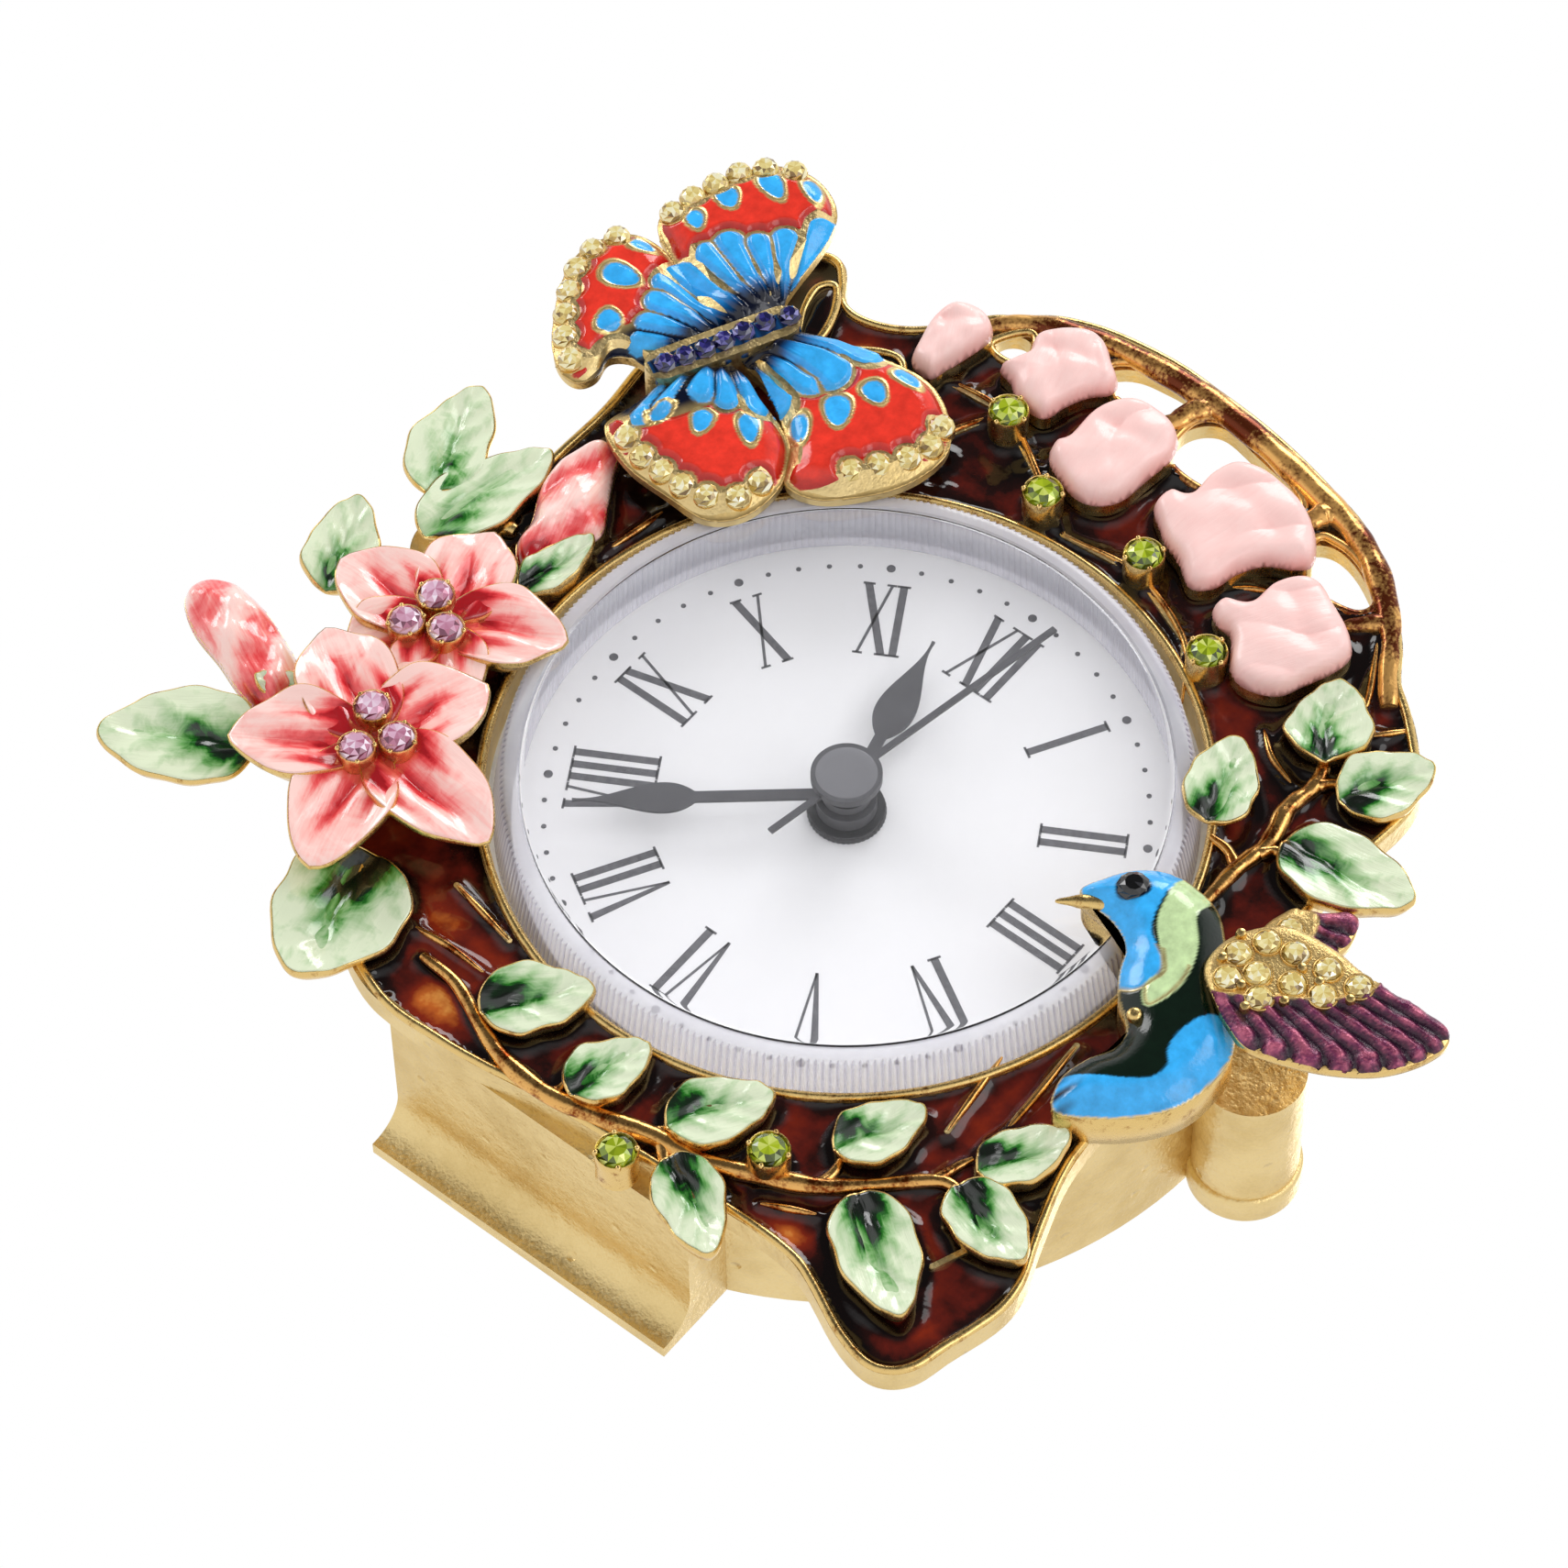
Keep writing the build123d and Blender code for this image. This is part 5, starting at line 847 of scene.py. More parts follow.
flower("upper_flower", (-38.5, -11.0), [(11.7, 105), (11.9, 30), (12.2, 180), (11.0, 310), (9.6, 242)], 8.8,
       5.0, 8.5, "flower_upper")
flower("lower_flower", (-34.0, -25.5), [(13.7, 149), (13.1, 215), (14.4, 288), (15.3, -6), (12.2, 71)], 9.2,
       6.0, 10.1, "flower_lower")

# %% [markdown]
# ## Height maps
# Bells, wings and the bird have outlines of any shape. For these a fine grid is laid over the outline,
# and the height of each grid point follows from how far it lies from the edge. Grid points that fall
# just outside are drawn onto the outline, so that the border runs smoothly.

# %% A grid over an outline
def edge_gap(points, line):
    """Distance to the nearest place of a closed line, and which one that is, a part of the points at a time."""
    found, gap = [], []
    for part in np.array_split(points, max(1, len(points) * len(line) // 2_000_000)):
        square = ((part[:, None] - line[None]) ** 2).sum(-1)
        found.append(square.argmin(1))
        gap.append(np.sqrt(square.min(1)))
    return np.concatenate(gap), np.concatenate(found)


def signed_gap(points, corners, count=300):
    """Distance to a smooth outline, negative inside it."""
    line = outline(corners, count)
    return np.where(within(points, line), -1, 1) * edge_gap(points, line)[0]


def patch(edge, step):
    """Grid places over a closed line, their distance to it and the triangles between them."""
    low, high = edge.min(0) - step, edge.max(0) + 2 * step
    across, up = np.arange(low[0], high[0], step), np.arange(low[1], high[1], step)
    places = np.stack(np.meshgrid(across, up), -1).reshape(-1, 2)
    inside = within(places, edge)
    gap, nearest_place = edge_gap(places, edge)
    border = ~inside & (gap < step)
    places = np.where(border[:, None], edge[nearest_place], places)
    gap = np.where(border, 0, gap)
    corner = np.arange(len(places)).reshape(len(up), len(across))
    a, b, c, d = corner[:-1, :-1], corner[:-1, 1:], corner[1:, 1:], corner[1:, :-1]
    faces = np.concatenate([np.stack([a, b, c], -1), np.stack([a, c, d], -1)]).reshape(-1, 3)
    faces = faces[(inside | border)[faces].all(1) & inside[faces].any(1)]
    used, compact = np.unique(faces, return_inverse=True)
    return places[used], gap[used], compact.reshape(-1, 3)


def pillow_wall(edge, lip, middle=None):
    """The gold wall below a pillow of enamel: straight up to its lip, which turns in below the enamel."""
    return dome(shifted(edge, -0.05), [(0, 0.9, FRAME_TOP - 0.3), (0, 1, FRAME_TOP), (0.05, 1, lip - 0.2),
                                       (0.5, 1, lip), (0.5, 0.6, lip)], middle)


SHELL = [("SOLIDIFY", {"thickness": 0.25 * MM, "offset": -1.0})]
print("a patch over the first window has", len(patch(window_lines[0], 0.5)[2]), "triangles")

# %% [markdown]
# ## Bell flowers and buds
# The five bells along the arch are low pillows of pearly pink over a gold wall. Folds run from the
# calyx to the rim of the bell. They are waves across that direction, stronger towards the rim.

# %% The bells
bell_corners = [
    [(-22.2, 40.1), (-24.6, 40.5), (-25.6, 43), (-26.2, 46), (-25.6, 48.2), (-23.6, 49.2), (-21.6, 48.8),
     (-20.5, 47.3), (-20.9, 44.5), (-21.5, 42.1)],
    [(-11.6, 42.8), (-14.1, 43.1), (-15.8, 44.3), (-17.6, 45), (-17.2, 46.4), (-16.6, 48), (-17.2, 50),
     (-15.8, 52.1), (-13.4, 53.5), (-11.6, 53.4), (-9.6, 51.9), (-7.9, 50.5), (-7.8, 49.1), (-9.2, 47.5),
     (-10.2, 45.3), (-10.6, 43.5)],
    [(-2.8, 37.5), (-5.1, 38.1), (-7.4, 39.3), (-8.2, 41), (-7.6, 42.5), (-7.6, 46), (-6.6, 48.5), (-4.6, 49.9),
     (-1.6, 49.9), (0.4, 48.8), (1.3, 46.7), (1, 43.5), (0.6, 40), (-0.8, 38.1)],
    [(8.9, 37.5), (6.9, 38.3), (5.2, 39.5), (3.4, 41.1), (3.6, 43.3), (5.3, 44.1), (5.4, 47), (6.4, 49.5),
     (8.9, 50.5), (11.9, 50.3), (14.9, 49.3), (17.4, 47.3), (18.8, 44.9), (17.8, 43.5), (15.4, 42.1), (14, 39.9),
     (13.2, 37.1), (11.4, 35.9)],
    [(17.9, 33.5), (15.9, 34), (14.7, 35), (15, 36.5), (17, 37.5), (17.4, 40.5), (18.9, 42.7), (20.9, 43.3),
     (23.4, 42.1), (25.9, 40.7), (27.6, 38.8), (27.4, 36.3), (26.2, 33.5), (25, 31.1), (22.4, 30), (20, 30.6)]]
BELL_TOP = FRAME_TOP + 4.1


def bell(corners, turn, seed):
    """A pillow: height grows with the distance to the edge, folds are waves across the bell's direction."""
    edge = outline(corners, 260)
    banks.append(edge)
    places, gap, faces = patch(edge, 0.22)
    middle = edge.mean(0)
    reach = np.abs(edge - middle).max()
    along, across = along_across(places, middle, turn, reach, reach)
    pillow = (1 - np.exp(-gap / 0.28)) * 1.7 + (1 - np.exp(-gap / 1.6)) * 0.8
    bent = across * 4.2 + 1.1 * np.sin(along * 2.6 + seed) + seed
    fold = (np.abs(np.sin(bent)) ** 0.6 - 0.7) * (0.16 + 0.26 * soft_step((along + 0.4) / 1.2))
    lump = 0.14 * np.sin(along * 7 + seed * 3) * np.sin(across * 8 + seed)
    hollow = -0.35 * np.exp(-(((along - 0.30) / 0.16) ** 2)) * soft_step((0.7 - np.abs(across)) / 0.4)
    level = BELL_TOP - 2.55 + pillow + (fold + hollow + lump) * soft_step(gap / 1.4)
    tone = 0.38 + 0.45 * np.exp(-gap / 0.22) - 0.3 * fold - 0.3 * hollow
    return pillow_wall(edge, BELL_TOP - 2.2), (at_level(places, level), faces, shading(along, across, seed, tone))


for number, (corners, turn) in enumerate(zip(bell_corners, (120, 105, 95, 80, 55)), 1):
    wall, pillow = bell(corners, turn, 1.3 * number)
    piece(f"bell_{number}_wall", [wall], *GILT)
    piece(f"bell_{number}_enamel", [pillow], bell_enamel, "bell_enamel", replaces=[f"bellflower_{number}"],
          modifiers=SHELL)

# %% The two buds and their leaves
bud_left_corners = [
    (-45, -27.2), (-49, -26.8), (-53, -25.4), (-57, -24.2), (-60, -22.2), (-60.3, -19.8), (-58, -18),
    (-54, -18.2), (-50, -19.6), (-46.5, -21.4), (-44.3, -24)]
bud_top_corners = [
    (-37.5, -0.8), (-39.8, 1), (-40.5, 4), (-42.5, 8), (-42.6, 12), (-41.2, 15), (-39.2, 15.2),
    (-38, 13), (-36.2, 10), (-34.5, 6.8), (-35.8, 3.5), (-36.2, 0.5)]


def bud(corners, turn, folds, top, seed, red_from):
    """A closed bud: a pillow whose folds wind round it, red at its foot and pale towards its tip."""
    edge = outline(corners, 240)
    banks.append(edge)
    places, gap, faces = patch(edge, 0.2)
    middle = edge.mean(0)
    along, across = along_across(places, middle, turn, 8.5, 3.6)
    twist = np.sin(across * folds + along * 5.5 + seed)
    pillow = (1 - np.exp(-gap / 0.5)) * 1.6 + (1 - np.exp(-gap / 1.6)) * 1.2
    lump = 0.28 * np.sin(along * 11 + 2 * across + seed) * np.sin(across * 6 - seed)
    level = top - 2.7 + pillow + (0.36 * twist + lump) * soft_step(gap / 1.1)
    tone = 0.30 - 0.30 * twist - 0.45 * lump + 0.60 * soft_step((red_from - along) / 0.7)
    return pillow_wall(edge, top - 2.1, middle), (at_level(places, level), faces, shading(along, across, seed, tone))


for name, (wall, pillow) in (("bud_left", bud(bud_left_corners, 155, 3.0, 7.4, 0.4, -0.35)),
                             ("bud_top", bud(bud_top_corners, 105, 4.0, 8.3, 2.2, -0.30))):
    piece(name + "_wall", [wall], *GILT)
    piece(name + "_enamel", [pillow], petal_enamel, "petal_enamel", replaces=[name], modifiers=SHELL)
leaves("sepal", [(-35.2, 1.5, 9, 4, 80, -0.1, 0, 2.7, LEAF_HIGH + 0.8),
                 (-45.5, -24.6, 6, 3.4, 195, -0.4, 0, 1.9, LEAF_HIGH + 0.9)], [])
bud_stem = tapered([(-38.5, -26.2), (-42.0, -25.9), (-45.5, -25.0)], 24, FRAME_TOP + 1.0, 2.4, 1.8)
piece("bud_stem", [bud_stem], *GILT)

# %% [markdown]
# ## Cut stones in their cups
# A cut stone is a flat table, a ring of sloping facets and a girdle. Foil behind it sends the light
# back unevenly, which is why each facet has a tone of its own: bright ones next to dark ones.

# %% A brilliant and its cup
def brilliant(middle, radius, base, height, sides=8, seed=0):
    """Rings of corners: foot, girdle, bezel turned by half a side, table. Each face has its own tone."""
    shares = np.array([0.55, 1.0, 0.98, 0.80, 0.52])
    levels = base + height * np.array([0.0, 0.15, 0.32, 0.74, 1.0])
    half_turns = np.array([0.0, 0.0, 0.0, 0.5, 0.0])
    turn = 2 * math.pi * (np.arange(sides)[None] + half_turns[:, None] + 0.37 * seed) / sides
    flat = np.asarray(middle) + radius * shares[:, None, None] * unit(turn)
    level = np.broadcast_to(levels[:, None, None], flat.shape[:2] + (1,))
    points, faces = skin(np.concatenate([flat, level], -1))
    number = np.arange(len(faces))
    spread = np.modf(np.abs(np.sin((number + 1) * 12.9898 + seed * 78.233)) * 43758.5453)[0]
    table = points[faces][:, :, 2].min(1) > base + 0.97 * height
    tone = np.where(table, 0.35 + 0.55 * spread, spread ** 1.2)
    return points, faces, {"facet": tone}


def cup(middle, radius, base, rim, around=28):
    """A turned cup from its base to its rim, whose lip folds over the stone's girdle."""
    banks.append(np.asarray(middle) + radius * fine_circle[::30])
    radii = np.array([1.12, 1.10, 1.10, 1.12, 1.13, 1.08, 1.00, 0.94, 0.86])
    levels = np.array([0.0, 0.1, 0.3, 0.72, 0.93, 1.0, 0.97, 0.86, 0.6])
    return turned(middle, radius * radii, base + (rim - base) * levels, around)


def prongs(middle, radius, rim, seed):
    """Four small beads on the lip that hold the stone."""
    spots = np.asarray(middle) + 0.98 * radius * unit(2 * math.pi * (np.arange(4) + 0.3 * seed) / 4)
    radii = np.array([0.9, 1.0, 0.75, 0.3]) * 0.16 * radius
    levels = rim + 0.12 * radius * np.array([-1, 0, 0.9, 1.2])
    return [turned(spot, radii, levels, 8) for spot in spots]


print("a stone of eight sides has", len(brilliant((0, 0), 1, 0, 1)[1]), "triangles")

# %% Stones of the frame and the flowers
green_places = [(-13.5, 41), (-5.2, 35.5), (6.4, 35.6), (17.5, 30.4), (19.8, -35.5), (9.6, -43.8)]
piece("green_stones", [brilliant(spot, 1.85, 6.3, 1.5, 12, number) for number, spot in enumerate(green_places)],
      green_stone, "green_stone", replaces=["green_crystals"], facets=True)
pink_upper = [(-40, -9.7), (-36.8, -12), (-40.2, -13.6)]
pink_lower = [(-35.5, -23.5), (-31.5, -24.7), (-33.7, -27.8)]
piece("pink_stones", [brilliant(spot, 1.65, 9.2, 1.5, 10, number + 11) for number, spot in enumerate(pink_upper)]
      + [brilliant(spot, 1.65, 10.8, 1.55, 10, number + 21) for number, spot in enumerate(pink_lower)],
      pink_stone, "pink_stone", replaces=["pink_crystals"], facets=True)
cups = [cup(spot, 1.75, FRAME_TOP - 0.6, 7.2) for spot in green_places]
cups += [cup(spot, 1.6, 7.6, 9.9) for spot in pink_upper] + [cup(spot, 1.6, 9.0, 11.55) for spot in pink_lower]
for number, spot in enumerate(green_places):
    cups += prongs(spot, 1.85, 7.15, number)
for number, spot in enumerate(pink_upper + pink_lower):
    cups += prongs(spot, 1.7, 9.85 if number < 3 else 11.45, number)
piece("stone_cups", cups, *GILT, replaces=["crystal_cups"])

# %% The rim at the back end of each screw boss
BOSS_PLACE = 45.6
rim_radii = [4.4, 5.0, 5.2, 5.25, 5.25, 5.2, 5.0, 4.4]
rim_levels = [-15.72, -15.7, -15.6, -15.3, -13.1, -12.8, -12.6, -12.55]
boss_rims = [turned((side * BOSS_PLACE, 0), rim_radii, rim_levels, 72) for side in (-1, 1)]
piece("boss_rims", boss_rims, gold_satin, "gold_casting")

# %% [markdown]
# ## The butterfly
# The wings are enamelled like old cloisonne: thin gold lines keep red and blue fields apart. Each wing is
# one height map with its colour worked out on the same grid. Every field is a signed distance, negative
# inside, which gives its paint, its rounded border and its height from one number.

# %% Painted castings
def painted_casting(name, rough, grain, depth=0.02):
    """Paint and metal come from the grid; noise clouds the enamel and roughens the gold."""
    material, shader = new_material(name, rgb(0.8, 0.6, 0.3), rough)
    paint = value_of(material, "paint").outputs["Vector"]
    metal = value_of(material, "metal").outputs["Fac"]
    cloud = board_noise(material, 0.8, 4.0, rough=0.6)
    shade = ramp(material, cloud, [(0.25, grey(0.72)), (0.75, grey(1.16))])
    tinted = node(material, "ShaderNodeVectorMath")
    tinted.operation = "MULTIPLY"
    link(material, paint, tinted.inputs[0])
    link(material, shade, tinted.inputs[1])
    link(material, tinted.outputs[0], shader.inputs["Base Color"])
    link(material, metal, shader.inputs["Metallic"])
    link(material, ramp(material, metal, [(0.0, grey(rough)), (1.0, grey(0.34))]), shader.inputs["Roughness"])
    bump(material, shader, board_noise(material, grain, 3.0), depth)
    return material


wing_paint = painted_casting("wing_paint", 0.10, 3.0)
feather_paint = painted_casting("feather_paint", 0.24, 4.0, 0.09)


def pigment(red, green, blue):
    """A screen colour as three linear numbers for the paint on a grid."""
    return np.array(rgb(red, green, blue)[:3])


RED, DEEP_RED = pigment(0.90, 0.22, 0.16), pigment(0.70, 0.09, 0.06)
SKY, MID_BLUE, NIGHT = pigment(0.22, 0.69, 0.97), pigment(0.06, 0.36, 0.62), pigment(0.02, 0.05, 0.14)
GOLD, DULL_GOLD = pigment(0.93, 0.81, 0.54), pigment(0.76, 0.60, 0.34)


def blend(first, second, share):
    """Mix of two paints by a share for each point."""
    share = np.asarray(share)[..., None]
    return first * (1 - share) + second * share


def cover(gap, blur):
    """Share of a field from the signed distance to it: 1 inside, a half on its edge and 0 outside."""
    return soft_step(0.5 - gap / blur)


def spot_gap(points, middle, degrees, half_length, half_width):
    """Signed distance to an egg-shaped spot: its reach less one, times its smaller half axis."""
    along, across = along_across(points, middle, degrees, half_length, half_width)
    return (np.hypot(along, across * (1 + 0.25 * along)) - 1) * min(half_length, half_width)


def stroke_gap(points, start, end, width, first_share=0.4):
    """Signed distance to a stroke that widens from its start, and the way along it."""
    start, end = np.asarray(start, float), np.asarray(end, float)
    run = end - start
    way = np.clip((points - start) @ run / (run @ run), 0, 1)
    gap = np.linalg.norm(points - start - way[:, None] * run, axis=1)
    return gap - width / 2 * (first_share + (1 - first_share) * way), way


print("gold as the grid paints it:", GOLD.round(3))

# %% The four wings and what is painted on them
wing_corners = [
    [(-36.2, 34.5), (-37.4, 38), (-38, 42), (-38.6, 45.5), (-40, 48.5), (-42.5, 50.2), (-45.5, 50.6),
     (-48.5, 49.3), (-50.6, 46.3), (-51.8, 42.5), (-52.9, 39), (-52.2, 36.8), (-50, 35.3), (-45, 33),
     (-37.8, 30.3)],
    [(-38.2, 29.8), (-46, 33.3), (-50, 34.9), (-53.5, 34.6), (-55.6, 32), (-56, 29), (-54.8, 25.5),
     (-52.8, 22.2), (-50.8, 19.6), (-48.3, 17.8), (-46.3, 17.8), (-45.4, 19.6), (-45.8, 21.6), (-44.3, 23),
     (-39.5, 23.8)],
    [(-35.5, 33.5), (-32, 35.8), (-27, 37.3), (-22.5, 38.1), (-19.3, 37.6), (-16.3, 35.6), (-14.4, 33),
     (-14.3, 30), (-15.5, 26.5), (-17.6, 23.6), (-20.5, 21), (-23.6, 20.6), (-25.5, 23.2), (-28.5, 26),
     (-33, 28.5), (-36, 29.5)],
    [(-36.5, 28), (-31.5, 26.6), (-27, 24.8), (-24.6, 22), (-23.8, 18.5), (-24.6, 15), (-27, 12.9),
     (-31, 12.8), (-35.5, 13), (-38.8, 14), (-41, 15.6), (-40.3, 18.5), (-39.8, 22), (-38.8, 25.5)]]
red_corners = [
    [(-39.2, 46.8), (-40.2, 48.6), (-42.5, 49.9), (-45, 50), (-47.6, 48.8), (-49.6, 46.3), (-50.8, 43),
     (-51.6, 39.8), (-51.2, 37.4), (-49.8, 36.2), (-47, 35.6), (-44, 35.2), (-40, 36), (-37.5, 38),
     (-37.6, 42)],
    [(-44, 35), (-49, 35), (-52, 34.6), (-53.6, 32.8), (-54, 30.8), (-53.2, 27.8), (-51.2, 25.6),
     (-49.8, 23), (-47.8, 21.4), (-46, 21), (-45.4, 22.8), (-44, 23.6), (-41.5, 24.5), (-40, 28),
     (-40, 32)],
    [(-34, 34.5), (-30, 36.5), (-26.5, 37.6), (-23, 38.1), (-20, 37.8), (-18.4, 36.4), (-17.5, 34),
     (-17.6, 31.8), (-19.5, 29.2), (-21.4, 26.8), (-22.4, 24.4), (-24.5, 22.9), (-26.4, 23.6), (-28, 25.6),
     (-31, 27.5), (-34.5, 29)],
    [(-35.5, 27.5), (-32, 26.2), (-29, 25.2), (-27, 23.6), (-26.6, 21.4), (-27.6, 19.6), (-30, 18),
     (-33, 16.6), (-36, 17), (-38.6, 16.6), (-39.6, 17.8), (-39.8, 20.5), (-39.5, 23.5), (-38.5, 25.6)]]
# Spots: x, y, turn in degrees, half length, half width.
blue_spots = [
    (-42.8, 48.5, -35, 1.4, 0.8), (-46.1, 46.4, -25, 1.8, 1), (-48.5, 42.7, -30, 1.3, 1),
    (-49.2, 38.7, -35, 1.1, 0.8), (-51.2, 33.3, 15, 1.2, 0.7), (-50.3, 29.1, 15, 1.8, 1.2), (-47.8, 24.3, 15, 1.1, 1.2),
    (-21.8, 36.4, -10, 1.5, 0.85), (-23, 33, -25, 1.4, 1), (-24.4, 29.2, -50, 1.8, 1.2),
    (-26.1, 25.7, -45, 1.5, 0.8), (-29.5, 22.5, -45, 1.7, 0.9), (-33.5, 20.5, -65, 1.3, 0.9),
    (-37.1, 19, 80, 1.2, 0.6)]
# Strokes: x and y where they leave the body, x and y of the far end, width.
blue_strokes = [
    (-36.2, 36.5, -39.3, 45.8, 1.9), (-37, 37, -41.3, 42.4, 1.5), (-38, 37, -42.8, 40.3, 1.5),
    (-38.5, 35.8, -45, 38.6, 1.7), (-39, 34.8, -46, 36.5, 1.4), (-39, 33, -46.8, 33.5, 1.7),
    (-39.5, 31.5, -46.8, 31.5, 1.6), (-40, 29.5, -45.8, 29.2, 1.6), (-41, 28, -44.9, 26.5, 1.4),
    (-41.5, 26, -44, 24.3, 1.3), (-33.5, 34, -26.8, 36.6, 1.7), (-33.5, 32, -28.3, 32.5, 2.6),
    (-33.5, 30, -28.8, 30.5, 1.8), (-34, 29, -29.6, 27.2, 1.6), (-35, 27.5, -31, 25.8, 1.6),
    (-36, 26.5, -33.5, 24.2, 1.4), (-37.5, 26, -35.8, 23.3, 1.5), (-38.7, 24.5, -38, 19.5, 1.3),
    (-39.8, 23.5, -38.5, 17.5, 1.2)]
edge_places = np.array([
    (-16.2, 34.3), (-15.6, 31.9), (-16.4, 29.5), (-18, 27.2), (-19.6, 25.1), (-25.3, 18.8), (-25.8, 16.3),
    (-28.1, 14.6), (-30.6, 14.2), (-33.1, 14.3), (-35.6, 14.5), (-38.1, 15.3), (-46, 49.6), (-48.4, 48.2),
    (-50, 46.2), (-50.9, 43.8), (-51.6, 41.2), (-51.9, 38.6), (-54.1, 33), (-54.9, 30.4), (-54.6, 27.7),
    (-53.4, 25.2), (-51.9, 22.9), (-50.2, 20.8), (-48.1, 19.1)])
body_start, body_end = np.array([-41.0, 22.5]), np.array([-34.6, 35.2])
WING_EDGE_LEVEL, WING_RISE, WING_BEVEL = 8.46, 1.3, 3.0   # level of the edge, rise inwards and over what width
RED_GROWTH, GOLD_EDGE, ROUND_STONE, ROUND_BODY = 3.0, 0.42, 1.30, 4.4   # how far red spreads and what it keeps clear

print(len(blue_spots), "spots,", len(blue_strokes), "strokes and", len(edge_places), "stones")

# %% One wing from its distances
def wing(corners):
    """Red field, blue strokes from the body, ringed blue spots and gold edge, each by its signed distance."""
    edge = shifted(outline(corners, 420), 0.1)
    places, gap, faces = patch(edge, 0.17)
    x, y = places.T
    red = np.min([signed_gap(places, panel, 200) for panel in red_corners], axis=0)
    near_body = stroke_gap(places, body_start, body_end, 3.0, 1.0)[0]
    red = np.max([red - RED_GROWTH, GOLD_EDGE - gap, ROUND_STONE - nearest(places, edge_places),
                  ROUND_BODY - near_body], axis=0)
    spots_found = np.min([spot_gap(places, row[:2], *row[2:]) for row in blue_spots], axis=0)
    strokes = [stroke_gap(places, row[:2], row[2:4], 1.8 * row[4]) for row in blue_strokes]
    found = np.array([found for found, way in strokes])
    ordered = np.sort(found, axis=0)
    whole, between = ordered[0], ordered[1] - ordered[0]
    stroke = np.maximum(whole, 0.14 - between / 2)
    way = np.take_along_axis(np.array([way for found, way in strokes]), found.argmin(0)[None], 0)[0]
    fan = soft_step((4.6 - near_body) / 1.2)
    red = np.maximum(red, -whole + 0.28)
    on_body, on_red, on_stroke = soft_step((5.4 - near_body) / 2.2), cover(red, 0.1), cover(stroke, 0.1)
    on_ring, on_spot = soft_step((0.42 - spots_found) / 0.08), cover(spots_found, 0.08)
    lines = np.sin(x * 2.1 + y * 1.3) * 0.5 + 0.5
    gold = blend(GOLD, DULL_GOLD, 0.5 * soft_step(np.exp(-gap / 0.4) + 0.3 * lines))
    thread = 0.5 + 0.5 * np.sin(found.argmin(0) * 1.7 + between * 9 + way * 3)
    blue = blend(NIGHT, MID_BLUE, soft_step(way / 0.25))
    blue = blend(blue, SKY, soft_step((way - 0.12) / 0.3) * (1 - 0.45 * thread * soft_step((0.75 - way) / 0.4)))
    paint = blend(gold, NIGHT, on_body * soft_step(stroke / 0.2 + 1))
    paint = blend(paint, blend(DEEP_RED, RED, soft_step(-red / 0.9)), on_red)
    paint = blend(blend(blend(paint, blue, on_stroke), gold, on_ring), SKY, on_spot)
    metal = np.maximum(1 - np.max([on_red, on_body, on_stroke], axis=0), on_ring)
    metal = np.minimum(metal, 1 - on_spot)
    level = WING_EDGE_LEVEL + WING_RISE * soft_step(gap / WING_BEVEL) ** 0.75
    level = level + 0.50 * soft_step(-red / 0.7) + 0.50 * soft_step(-stroke / 0.5)
    level = level + 0.16 * np.exp(-(((spots_found - 0.15) / 0.14) ** 2)) + 0.10 * soft_step(-spots_found / 0.4)
    level = level + 0.45 * soft_step((5.0 - near_body) / 2.0) - 0.12 * fan * soft_step(stroke / 0.15)
    level = level + 0.10 * np.sin(x * 0.8) * soft_step(gap / 3)
    return at_level(places, level), faces, {"paint": paint, "metal": 0.75 * metal}


for number, corners in enumerate(wing_corners, 1):
    piece(f"wing_{number}", [wing(corners)], wing_paint, "wing_enamel",
          replaces=["butterfly_enamel"] if number == 1 else (), modifiers=SHELL, corner=75)

# %% Body and feelers of the butterfly
BODY_PLACES, BODY_WIDTH = 40, 3.7
body_line = body_start + (body_end - body_start) * np.linspace(-0.02, 1.02, BODY_PLACES)[:, None]
bulge = BODY_WIDTH + 0.3 * np.sin(np.linspace(0, 44, BODY_PLACES))
bulge = bulge * np.sin(np.linspace(0.4, math.pi - 0.4, BODY_PLACES)) ** 0.35
body_skin = wire(at_level(body_line, 9.5), bulge, 1.9, sides=36)
rings = 0.5 + 0.5 * np.sin(body_skin[0][:, 0] * 2.6 + body_skin[0][:, 1] * 5.2)
fleck = soft_step((rings - 0.80) / 0.1) * soft_step((10.15 - body_skin[0][:, 2]) / 0.4)
body_paint = blend(blend(NIGHT, MID_BLUE, 0.6 * rings), GOLD, fleck)
piece("insect_skin", [(*body_skin, {"paint": body_paint, "metal": fleck})], wing_paint, "wing_enamel")
feelers = [tapered(corners, 60, FRAME_TOP + 0.9, 0.9, 0.55, False) for corners in (
    [(-34.4, 35.4), (-33.6, 38), (-34.6, 41.4), (-36.4, 43.8), (-37.6, 42.6), (-37, 39.8), (-35.6, 37.4)],
    [(-34, 35), (-31.6, 37.6), (-29, 39.8), (-26.6, 40.8), (-25, 39.8), (-25.6, 38.2), (-27, 38.6)])]
feelers.append(turned((-27.2, 38.7), [0.3, 0.6, 0.62, 0.35], FRAME_TOP + np.array([0.3, 0.6, 1.2, 1.5]), 20))
piece("feelers", feelers, *GILT)
loop = outline([(-34.2, 35.6), (-33.6, 38.0), (-34.6, 41.4), (-36.4, 43.6), (-37.4, 42.4), (-36.9, 39.8),
                (-35.6, 37.2)], 90)
drop = dome(loop, [(0, 1, FRAME_TOP - 0.4), (0, 1, FRAME_TOP + 0.7), (0.3, 1, FRAME_TOP + 0.95),
                   (0.5, 0.6, FRAME_TOP + 1.1)])
